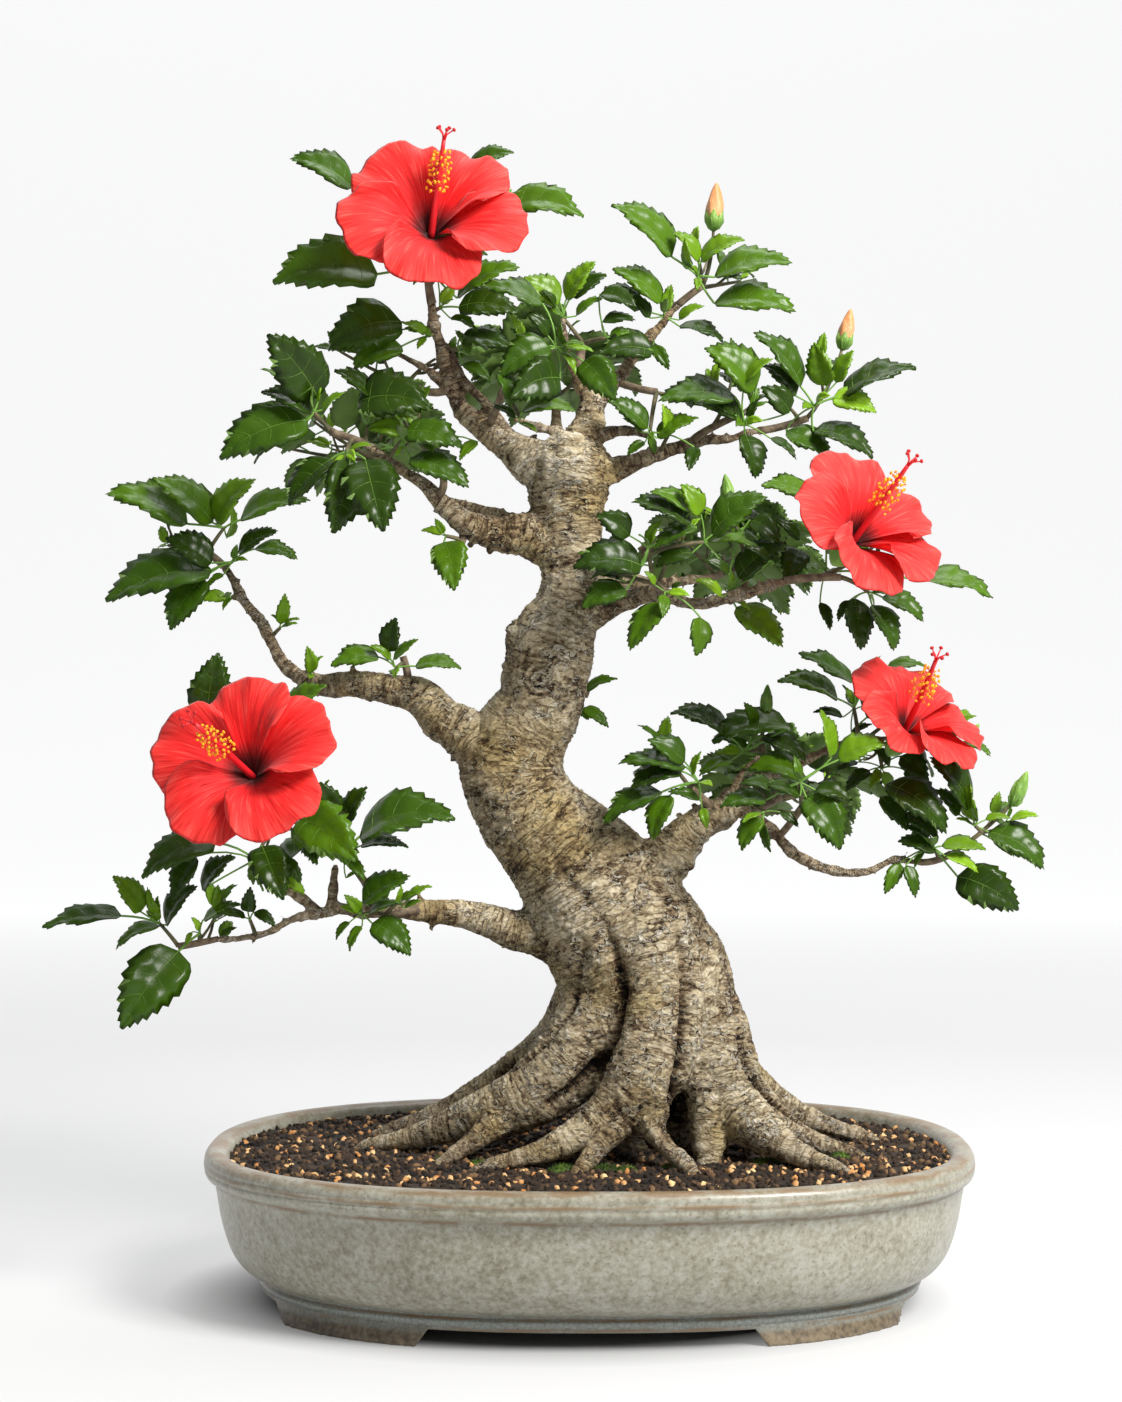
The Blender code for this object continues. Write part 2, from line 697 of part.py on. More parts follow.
def smooth_path(knees, spacing):
    """A Catmull-Rom curve through (x, y, z, radius) knees, as points about spacing apart."""
    rows = [tuple(2 * a - b for a, b in zip(knees[0], knees[1]))]
    rows += list(knees)
    rows += [tuple(2 * a - b for a, b in zip(knees[-1], knees[-2]))]
    path = []
    for before, start, end, after in zip(rows, rows[1:], rows[2:], rows[3:]):
        steps = max(1, round(math.dist(start[:3], end[:3]) / spacing))
        for step in range(steps):
            path.append(tuple(
                through(a, b, c, d, step / steps) for a, b, c, d in zip(before, start, end, after)
            ))
    path.append(tuple(knees[-1]))
    return path


def limb_mesh(name, path, roundness):
    """A tapering limb: a curve with a bevel and filled caps, made a mesh with its caps welded."""
    curve = bpy.data.curves.new(name, "CURVE")
    curve.dimensions = "3D"
    curve.bevel_depth = 1.0
    curve.bevel_resolution = roundness
    curve.use_fill_caps = True
    spline = curve.splines.new("POLY")
    spline.points.add(len(path) - 1)
    for point, (x, y, z, radius) in zip(spline.points, path):
        point.co = (x, y, z, 1.0)
        point.radius = radius
    holder = bpy.data.objects.new(name, curve)
    cutters.objects.link(holder)
    bpy.context.view_layer.update()
    mesh = bpy.data.meshes.new_from_object(holder.evaluated_get(bpy.context.evaluated_depsgraph_get()))
    bpy.data.objects.remove(holder)
    bm = bmesh.new()
    bm.from_mesh(mesh)
    bmesh.ops.remove_doubles(bm, verts=bm.verts, dist=1e-6)
    bmesh.ops.recalc_face_normals(bm, faces=bm.faces)
    bm.to_mesh(mesh)
    bm.free()
    return mesh


def grown(obj, distance):
    """A copy of a solid with every face moved out by distance."""
    bm = bmesh.new()
    bm.from_mesh(obj.data)
    bm.normal_update()
    moves = [vert.normal * distance * min(vert.calc_shell_factor(), 1.6) for vert in bm.verts]
    for vert, move in zip(bm.verts, moves):
        vert.co += move
    mesh = bpy.data.meshes.new(obj.name + "_grown")
    bm.to_mesh(mesh)
    bm.free()
    return add_object(obj.name + "_grown", mesh, BARK, cutters)


def make_trunk():
    """The trunk and its surface roots, fused, thinned to few faces and cut flat at the ground."""
    trunk = add_object("trunk", limb_mesh("trunk", smooth_path(TRUNK, 0.012), 4), BARK, plant)
    roots = new_collection("roots", hidden=True)
    for name, knees in ROOTS.items():
        add_object("root_" + name, limb_mesh(name, smooth_path(knees, 0.010), 3), BARK, roots)
    boolean(trunk, roots, "UNION", "MANIFOLD")
    for root in list(roots.objects):
        bpy.data.objects.remove(root)
    fuse = trunk.modifiers.new("fuse", "REMESH")
    fuse.mode = "VOXEL"
    fuse.voxel_size = TRUNK_VOXEL
    soften = trunk.modifiers.new("soften", "SMOOTH")
    soften.factor = 0.5
    soften.iterations = 3
    apply_modifiers(trunk)
    thin = trunk.modifiers.new("thin", "DECIMATE")
    thin.ratio = TRUNK_FACES / (2 * len(trunk.data.polygons))
    apply_modifiers(trunk)
    bm = bmesh.new()
    bmesh.ops.create_cube(bm, size=1.0)
    below = add_object("below_ground", mesh_from(bm, "below_ground"), BARK, cutters)
    below.location = (0.0, 0.0, GROUND - 0.5)
    boolean(trunk, below, "DIFFERENCE")
    return trunk


def make_boughs(limbs):
    for name, (parent, knees) in BOUGHS.items():
        roundness = 2 if knees[0][3] > 0.0100 else 1
        bough = add_object(name, limb_mesh(name, smooth_path(knees, BOUGH_STEP), roundness), BARK, plant)
        seat = grown(limbs[parent], 1.15 * GAP)
        boolean(bough, seat, "DIFFERENCE", "MANIFOLD")
        bpy.data.objects.remove(seat)
        limbs[name] = bough


def knees_of(limb):
    return TRUNK if limb == "trunk" else BOUGHS[limb][1]


def point_along(path, along):
    """The place, direction and radius at a share of a path."""
    index = max(1, round(along * (len(path) - 1)))
    here, back = Vector(path[index][:3]), Vector(path[index - 1][:3])
    return here, (here - back).normalized(), path[index][3]


def stem_start(mass, surface):
    """Where a mass's stem leaves its limb, GAP clear of it: at the tip, or out of its side."""
    knees = knees_of(mass["limb"])
    if mass["along"] >= 1.0:
        here, run, radius = point_along(smooth_path(knees, BOUGH_STEP), 1.0)
        return here + run * GAP, run, radius * 0.80
    here, run, radius = point_along(smooth_path(knees, 0.002), mass["along"])
    side = Vector(mass["side"]) if "side" in mass else Vector(mass["middle"]) - here
    side -= run * side.dot(run)
    side.normalize()
    far = here + side * (radius + 0.03)
    hit, normal, _, _ = surface.ray_cast(far, -side)
    return hit + normal * GAP * 1.2, normal, min(0.45 * radius, 0.0024)


def tube_rings(points, radii, sides=3, leave=None):
    """Rings of points round a path, each turned the least; leave is the way that the first faces."""
    rings = []
    normal = None
    for i, point in enumerate(points):
        ahead = points[min(i + 1, len(points) - 1)] - points[max(i - 1, 0)]
        if i == 0 and leave is not None:
            ahead = leave.copy()
        ahead.normalize()
        if normal is None:
            normal = ahead.orthogonal().normalized()
        normal = (normal - ahead * normal.dot(ahead)).normalized()
        other = ahead.cross(normal)
        turns = [2 * math.pi * k / sides for k in range(sides)]
        rings.append([
            point + radii[i] * (normal * math.cos(turn) + other * math.sin(turn)) for turn in turns
        ])
    return rings


def bezier(start, bend, end, t):
    return start * (1 - t) ** 2 + bend * 2 * t * (1 - t) + end * t * t


def shoot_path(start, leave, end, steps):
    """A twig that leaves its stem along leave and turns up towards its end."""
    reach = (end - start).length
    bend = start + leave.normalized() * reach * 0.45 + Vector((0, 0, -0.06 * reach))
    return [bezier(start, bend, end, i / steps) for i in range(steps + 1)]


def leaf_frame(heading, lift, roll):
    """A leaf's own axes: along the blade, across it, and out of its upper face."""
    along = heading.normalized()
    upper = (lift - along * lift.dot(along)).normalized()
    upper = Quaternion(along, roll) @ upper
    return along, along.cross(upper).normalized(), upper


def leaf_points(base, heading, lift, roll, length, stalk):
    """A leaf's corners: where it leaves the twig, four round its edge, its tip and its keel."""
    along, across, upper = leaf_frame(heading, lift, roll)

    def place(share, side, rise):
        run = along * (stalk + share * length)
        return base + run + across * side * length * LEAF_SHAPE / 2 + upper * rise * length

    return [
        base,
        place(0.22, -0.88, 0.010),
        place(0.22, 0.88, 0.010),
        place(0.62, -0.80, -0.030),
        place(0.62, 0.80, -0.030),
        place(0.99, 0.0, -LEAF_DROOP),
        place(0.34, 0.0, -0.010) - upper * LEAF_THICKNESS,
    ]


# The upper face in three pieces, then the underside round the keel
LEAF_FACES = [
    (0, 1, 2), (1, 3, 4, 2), (3, 5, 4),
    (0, 2, 6), (2, 4, 6), (4, 5, 6), (5, 3, 6), (3, 1, 6), (1, 0, 6),
]


def leaf_solid(points):
    bm = bmesh.new()
    corners = [bm.verts.new(point) for point in points]
    for face in LEAF_FACES:
        bm.faces.new([corners[i] for i in face])
    return bm


def turned(start, axis, profile, sides):
    """A solid of revolution along axis from (distance, radius) pairs, as rings."""
    return tube_rings([start + axis * d for d, _ in profile], [r for _, r in profile], sides)


def bloom_parts(throat, facing, column, radius, notch):
    """An open bloom: a thin funnel of five petals on its calyx, and the column out of its throat."""
    throat = Vector(throat)
    facing = Vector(facing).normalized()
    column = Vector(column).normalized()
    side = facing.cross(Vector((0, 0, 1))).normalized()
    up = side.cross(facing)
    steps = 5 * len(PETAL_OUTLINE)

    def ring(share, depth, lobed):
        points = []
        for i in range(steps):
            turn = 2 * math.pi * i / steps + math.radians(notch)
            reach = radius * share * (1 + lobed * (PETAL_OUTLINE[i % len(PETAL_OUTLINE)] - 1))
            points.append(throat + facing * depth + (side * math.cos(turn) + up * math.sin(turn)) * reach)
        return points

    profile = [(0.07, -0.16, 0.0), (0.45, 0.20, 0.2), (1.0, 0.32, 1.0)]
    outside = [ring(share, depth * radius - PETAL_THICKNESS, lobed) for share, depth, lobed in profile]
    inside = [ring(share * 0.98, depth * radius, lobed) for share, depth, lobed in reversed(profile[1:])]
    funnel = bmesh.new()
    loft(funnel, outside + inside)
    centre = bmesh.new()
    reach = column * COLUMN_LENGTH
    middle = [throat - facing * radius * 0.10, throat + reach * 0.5, throat + reach]
    loft(centre, tube_rings(middle, COLUMN_RADII, 4))
    calyx = bmesh.new()
    back = throat - facing * radius * 0.52
    loft(calyx, turned(back, facing, [(0.0, 0.0020), (0.10 * radius, 0.0060), (0.44 * radius, 0.0066)], 5))
    return [funnel, centre, calyx], back


def bud_parts(tip, rise, length):
    rise = rise.normalized()
    base = tip - rise * length
    belly = [(0.22 * length, 0.20 * length), (0.55 * length, 0.19 * length)]
    bm = bmesh.new()
    loft(bm, turned(base, rise, [(0.0, 0.0010)] + belly + [(length, 0.0006)], 5))
    return bm, base


class Room:
    """The space a mass keeps to: its ellipsoid, and its own side of the planes between masses."""

    def __init__(self, name):
        mass = MASSES[name]
        self.middle = Vector(mass["middle"])
        self.half = Vector(mass["half"])
        self.planes = []
        for other_name, other in MASSES.items():
            if other_name == name:
                continue
            way = Vector(other["middle"]) - self.middle
            span = way.length
            way.normalize()
            mine = self.reach(self.half, way)
            theirs = self.reach(Vector(other["half"]), way)
            if mine + theirs > span:
                self.planes.append((self.middle + way * span * mine / (mine + theirs), way))

    @staticmethod
    def reach(half, way):
        return math.sqrt(sum((h * w) ** 2 for h, w in zip(half, way)))

    def holds(self, points, share=1.0):
        for point in points:
            off = point - self.middle
            if sum((o / h) ** 2 for o, h in zip(off, self.half)) > share * share:
                return False
            if any((point - spot).dot(way) > -GAP for spot, way in self.planes):
                return False
        return True


def hub_of(start, leave, room):
    """Where a mass's stem ends, low in its space and not too near the limb."""
    way = (room.middle - start) * 0.62 + Vector((0, 0, -0.10 * room.half.z))
    return start + way + leave * max(0.0, STEM_LENGTH - way.length)


def tree_of(bm):
    return BVHTree.FromBMesh(bm)


def shoot_targets(mass, room, rng):
    """Ends of the shoots, spread evenly over the upper part of the mass's space."""
    count = mass["shoots"]
    first = rng.uniform(0, 2 * math.pi)
    targets = []
    for i in range(count):
        rise = -0.30 + 1.05 * (i + 0.5) / count
        turn = first + i * GOLDEN_ANGLE
        flat = math.sqrt(1 - rise * rise)
        way = Vector((math.cos(turn) * flat, math.sin(turn) * flat, rise))
        stretch = rng.uniform(0.42, 0.58)
        targets.append(room.middle + Vector(h * w * stretch for h, w in zip(room.half, way)))
    return targets


def off_reach(tip, points, share):
    """How far a place on a twig is from the distance at which a leaf would reach the tip."""
    place = bezier(points[0], points[len(points) // 2], points[-1], share)
    return abs((tip - place).length - TIP_REACH)


def grow_mass(name, surfaces, limbs_tree, others):
    """The bmesh solids of one mass: stem, shoots, bloom, buds and leaves, all rooted in one another."""
    mass = MASSES[name]
    rng = random.Random(mass["seed"])
    room = Room(name)
    start, leave, girth = stem_start(mass, surfaces[mass["limb"]])
    hub = hub_of(start, leave, room)
    stem_points = shoot_path(start, leave, hub, 2)
    stem_radii = [girth, 0.5 * (girth + STEM_RADIUS), STEM_RADIUS]
    stem = bmesh.new()
    loft(stem, tube_rings(stem_points, stem_radii, 4, leave))
    solids = []
    twigs = []
    wood = [tree_of(stem)]

    def add_twig(end, steps=2, root=None, end_radius=SHOOT_TIP_RADIUS):
        root_at = rng.uniform(0.10, 0.92) if root is None else root
        base = stem_points[1].lerp(stem_points[2], root_at)
        out = (end - base).normalized() + 0.35 * (stem_points[2] - stem_points[1]).normalized()
        points = shoot_path(base, out, end, steps)
        radii = [SHOOT_RADIUS + (end_radius - SHOOT_RADIUS) * i / steps for i in range(steps + 1)]
        bm = bmesh.new()
        loft(bm, tube_rings(points, radii, 3))
        tree = tree_of(bm)
        if tree.overlap(limbs_tree) or any(tree.overlap(other) for other in others):
            bm.free()
            return None
        solids.append(bm)
        twigs.append(points)
        wood.append(tree)
        return points

    blocked = []
    if name in BLOOMS:
        parts, back = bloom_parts(**BLOOMS[name])
        blocked += [tree_of(bm) for bm in parts]
        solids += parts
        add_twig(back + Vector(BLOOMS[name]["facing"]) * 0.004, steps=3, root=0.95, end_radius=SHOOT_RADIUS)
    for owner, tip, length in BUDS:
        if owner == name:
            rise = (Vector(tip) - hub).normalized() + Vector((0, 0, 0.8))
            bm, base = bud_parts(Vector(tip), rise, length)
            blocked.append(tree_of(bm))
            solids.append(bm)
            add_twig(base + rise.normalized() * 0.003, steps=3, root=0.95)
    for target in shoot_targets(mass, room, rng):
        add_twig(target)

    grown_leaves = [0]

    def try_leaf(base, heading, lift, roll, length, stalk, free=False):
        points = leaf_points(base, heading, lift, roll, length, stalk)
        if not free and not room.holds(points[1:]):
            return False
        bm = leaf_solid(points)
        blade = leaf_solid([points[6].lerp(points[0], 0.25)] + points[1:])
        tree = tree_of(blade)
        blade.free()
        whole = tree_of(bm)
        crossed = any(tree.overlap(twig) for twig in wood)
        if crossed or any(whole.overlap(other) for other in [limbs_tree] + blocked + others):
            bm.free()
            return False
        solids.append(bm)
        blocked.append(tree)
        grown_leaves[0] += 1
        return True

    if not twigs:
        twigs.append(stem_points)
    seats = [(points, share) for points in twigs for share in TIP_SEATS]
    for tip in mass["tips"]:
        tip = Vector(tip)
        points, share = min(seats, key=lambda seat: off_reach(tip, *seat))
        base = points[-2].lerp(points[-1], TIP_SEATS[share])
        way = tip - base
        length = min(TIP_LEAF_LENGTH, way.length * 0.80)
        aim = way + Vector((0, 0, 1)) * LEAF_DROOP * length
        stalk = way.length - length * 0.98
        for roll in (0.0, 0.4, -0.4):
            if try_leaf(base, aim, Vector((0, -0.8, 0.7)), roll, length, stalk, free=True):
                break
    turn = rng.uniform(0, 2 * math.pi)
    for points in twigs:
        for k in range(LEAVES_PER_SHOOT):
            t = LEAVES_FROM + (LEAVES_TO - LEAVES_FROM) * k / (LEAVES_PER_SHOOT - 1)
            where = t * (len(points) - 1)
            index = min(int(where), len(points) - 2)
            base = points[index].lerp(points[index + 1], where - index)
            run = (points[index + 1] - points[index]).normalized()
            outward = (base - room.middle).normalized()
            size = LEAF_LENGTH * rng.uniform(0.78, 1.12) * (1 - 0.15 * t)
            face_y = -0.85 if base.y < 0.04 else 0.85
            for attempt in range(LEAF_TRIES):
                turn += GOLDEN_ANGLE
                side = Quaternion(run, turn) @ run.orthogonal().normalized()
                stray = Vector(rng.uniform(-0.3, 0.3) for _ in range(3))
                facing = (Vector((4 * base.x, face_y, 0.75)) + stray).normalized()
                heading = run * 0.30 + side * 0.85 + outward * 0.35 + Vector((0, 0, -0.15))
                heading -= facing * heading.dot(facing) * 0.75
                if try_leaf(base, heading, facing, 0.0, size * (1 - 0.07 * attempt), STALK_LENGTH):
                    break
    return stem, solids, grown_leaves[0]


def fuse_mass(name, stem, solids):
    """One closed body: the stem, with everything else of the mass joined to it."""
    parts = new_collection(name + "_parts", hidden=True)
    for i, bm in enumerate(solids):
        add_object(f"{name}_{i}", mesh_from(bm, f"{name}_{i}"), LEAF_GREEN, parts)
    mass = add_object(name, mesh_from(stem, name), LEAF_GREEN, plant)
    boolean(mass, parts, "UNION", "MANIFOLD")
    for part in list(parts.objects):
        bpy.data.objects.remove(part)
    bpy.data.collections.remove(parts)
    keep_largest_shell(mass.data)


def stem_tree(name, surfaces):
    """The stem of a mass as an obstacle for the leaves of the others."""
    mass = MASSES[name]
    room = Room(name)
    start, leave, girth = stem_start(mass, surfaces[mass["limb"]])
    hub = hub_of(start, leave, room)
    bm = bmesh.new()
    loft(bm, tube_rings(shoot_path(start, leave, hub, 2), [girth + GAP] * 3, 4, leave))
    tree = tree_of(bm)
    bm.free()
    return tree


def bloom_tree(name):
    parts, _ = bloom_parts(**BLOOMS[name])
    trees = [tree_of(bm) for bm in parts]
    for bm in parts:
        bm.free()
    return trees


def make_foliage(limbs):
    surfaces = {}
    fat = bmesh.new()
    for name, limb in limbs.items():
        bm = bmesh.new()
        bm.from_mesh(limb.data)
        surfaces[name] = tree_of(bm)
        bm.free()
        copy = grown(limb, GAP)
        fat.from_mesh(copy.data)
        bpy.data.objects.remove(copy)
    limbs_tree = tree_of(fat)
    fat.free()
    stems = {name: stem_tree(name, surfaces) for name in MASSES}
    blooms = {name: bloom_tree(name) for name in BLOOMS}
    count = 0
    for name in MASSES:
        others = [tree for other, tree in stems.items() if other != name]
        others += [tree for other, trees in blooms.items() if other != name for tree in trees]
        stem, solids, leaves = grow_mass(name, surfaces, limbs_tree, others)
        fuse_mass(name, stem, solids)
        count += leaves
    print("leaves:", count)


def place_plant():
    """Hangs every solid on the empty that moves the plant from the pot's middle to the origin."""
    frame = bpy.data.objects.new("plant_frame", None)
    plant.objects.link(frame)
    frame.location = POT_MIDDLE
    for obj in plant.objects:
        if obj != frame:
            obj.parent = frame
            obj.data.shade_smooth()
            obj.data.set_sharp_from_angle(angle=math.radians(40))


clear_scene()
plant = new_collection("hibiscus_bonsai")
cutters = new_collection("cutters", hidden=True)
make_pot()
make_soil()
limbs = {"trunk": make_trunk()}
make_boughs(limbs)
make_foliage(limbs)
place_plant()
for obj in list(cutters.objects):
    obj.hide_render = True
    obj.display_type = "WIRE"
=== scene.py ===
"""The looks of the hibiscus bonsai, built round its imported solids: bark with real relief, leaves, twigs,
blooms, buds, the glazed pot and its soil.

The tables of limbs, masses, blooms and buds are the source's own, measured from the middle of the pot
on the floor, and the foliage grows again here by the source's seeded rule, carried to finer twigs and
smaller leaves. Finished meshes are moved by POT_MIDDLE into the world. -Y faces the viewer.
"""

import math
import random

import bmesh
import bpy
import numpy as np
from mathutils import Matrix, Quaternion, Vector, noise
from mathutils.bvhtree import BVHTree


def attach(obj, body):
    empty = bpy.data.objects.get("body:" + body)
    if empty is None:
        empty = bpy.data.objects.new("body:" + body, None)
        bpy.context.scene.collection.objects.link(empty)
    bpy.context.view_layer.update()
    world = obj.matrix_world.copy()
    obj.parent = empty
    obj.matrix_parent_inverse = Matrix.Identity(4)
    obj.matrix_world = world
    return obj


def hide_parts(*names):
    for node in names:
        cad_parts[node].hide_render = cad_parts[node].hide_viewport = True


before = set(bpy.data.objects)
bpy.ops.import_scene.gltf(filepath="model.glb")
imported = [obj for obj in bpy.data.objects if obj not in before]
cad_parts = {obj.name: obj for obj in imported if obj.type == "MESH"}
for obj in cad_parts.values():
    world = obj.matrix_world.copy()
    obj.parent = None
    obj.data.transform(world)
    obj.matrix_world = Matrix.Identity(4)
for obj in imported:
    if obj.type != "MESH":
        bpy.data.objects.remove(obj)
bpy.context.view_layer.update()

# Where the middle of the pot stands in the world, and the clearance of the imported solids
POT_MIDDLE = Vector((0.0175, 0.0, 0.0))
GAP = 0.0003
GOLDEN_ANGLE = math.pi * (3 - math.sqrt(5))

# The photo's camera: level, in front of the plant, with its lens for a sensor 36 mm high
CAMERA_PLACE = (0.0022, -1.494, 0.322)
CAMERA_LENS = 70.33
SENSOR_HEIGHT = 36
PHOTO_WIDTH, PHOTO_HEIGHT = 1122, 1402
PHOTO_FOCUS = PHOTO_HEIGHT * CAMERA_LENS / SENSOR_HEIGHT

# The pot: a superellipse whose wall is drawn as (inset from the rim's edge, height)
POT_LENGTH = 0.415
POT_DEPTH = 0.334
OVAL_POWER = 2.4
OVAL_POINTS = 300
SOIL_TOP = 0.0777
BODY_WALL = [
    (0.0303, 0.0163), (0.0262, 0.0180), (0.0200, 0.0220), (0.0150, 0.0285), (0.0115, 0.0370),
    (0.0086, 0.0480), (0.0068, 0.0600), (0.0062, 0.0652),
]

# The trunk's S from the root flare to the fork: x, y, z, radius
TRUNK = [
    (0.0300, 0.014, 0.092, 0.0300), (0.0335, 0.008, 0.130, 0.0410), (0.0335, 0.003, 0.160, 0.0470),
    (0.0255, 0.000, 0.181, 0.0450), (0.0115, 0.000, 0.203, 0.0430), (0.0005, 0.000, 0.222, 0.0392),
    (-0.0140, 0.000, 0.240, 0.0340), (-0.0310, 0.001, 0.259, 0.0290), (-0.0415, 0.003, 0.279, 0.0280),
    (-0.0385, 0.004, 0.300, 0.0270), (-0.0275, 0.002, 0.318, 0.0236), (-0.0240, 0.000, 0.335, 0.0236),
    (-0.0198, -0.001, 0.354, 0.0238), (-0.0118, -0.001, 0.374, 0.0180), (-0.0085, -0.001, 0.395, 0.0166),
    (-0.0115, 0.000, 0.413, 0.0190), (-0.0115, 0.000, 0.436, 0.0220), (-0.0090, 0.000, 0.452, 0.0230),
    (-0.0060, 0.000, 0.466, 0.0130),
]

# The surface roots, each from inside the flare to where it goes into the soil
ROOTS = {
    "left": [
        (0.010, -0.006, 0.205, 0.026), (0.009, -0.014, 0.165, 0.023), (-0.008, -0.022, 0.130, 0.0215),
        (-0.040, -0.020, 0.106, 0.0175), (-0.070, -0.012, 0.094, 0.0105), (-0.100, 0.000, 0.083, 0.0065),
        (-0.122, 0.008, 0.078, 0.0040),
    ],
    "left_front": [
        (-0.044, -0.024, 0.102, 0.0120), (-0.060, -0.034, 0.089, 0.0065), (-0.077, -0.040, 0.078, 0.0040),
    ],
    "left_back": [
        (0.011, 0.020, 0.176, 0.024), (-0.012, 0.034, 0.132, 0.0190), (-0.052, 0.044, 0.104, 0.0125),
        (-0.086, 0.052, 0.088, 0.0070), (-0.116, 0.056, 0.078, 0.0040),
    ],
    "front": [
        (0.030, -0.012, 0.205, 0.030), (0.036, -0.026, 0.160, 0.027), (0.027, -0.040, 0.122, 0.0235),
        (0.006, -0.048, 0.100, 0.0135), (-0.024, -0.056, 0.086, 0.0070), (-0.055, -0.060, 0.078, 0.0040),
    ],
    "front_middle": [
        (0.030, -0.030, 0.126, 0.0140), (0.020, -0.046, 0.108, 0.0125), (0.006, -0.060, 0.090, 0.0065),
        (-0.006, -0.070, 0.078, 0.0045),
    ],
    "front_right": [
        (0.030, -0.042, 0.112, 0.0160), (0.038, -0.058, 0.093, 0.0080), (0.052, -0.070, 0.078, 0.0045),
    ],
    "right": [
        (0.046, -0.004, 0.186, 0.0225), (0.066, -0.014, 0.146, 0.0205), (0.074, -0.024, 0.112, 0.0200),
        (0.088, -0.040, 0.096, 0.0130), (0.108, -0.056, 0.085, 0.0070), (0.130, -0.068, 0.078, 0.0040),
    ],
    "right_middle": [
        (0.074, -0.012, 0.118, 0.0175), (0.098, -0.018, 0.098, 0.0110), (0.120, -0.018, 0.085, 0.0065),
        (0.142, -0.016, 0.078, 0.0040),
    ],
    "right_inner": [
        (0.070, -0.010, 0.140, 0.0130), (0.065, -0.027, 0.116, 0.0150), (0.064, -0.034, 0.095, 0.0120),
        (0.062, -0.040, 0.078, 0.0075),
    ],
    "right_back": [
        (0.048, 0.016, 0.170, 0.0225), (0.076, 0.026, 0.122, 0.0155), (0.104, 0.032, 0.098, 0.0100),
        (0.130, 0.036, 0.086, 0.0060), (0.156, 0.036, 0.078, 0.0040),
    ],
    "back": [
        (0.028, 0.020, 0.180, 0.028), (0.026, 0.044, 0.128, 0.0200), (0.016, 0.068, 0.098, 0.0120),
        (0.000, 0.092, 0.078, 0.0045),
    ],
    "back_right": [
        (0.036, 0.030, 0.140, 0.0200), (0.054, 0.060, 0.102, 0.0120), (0.076, 0.088, 0.078, 0.0045),
    ],
}

# The distance between two rings of a bough
BOUGH_STEP = 0.022

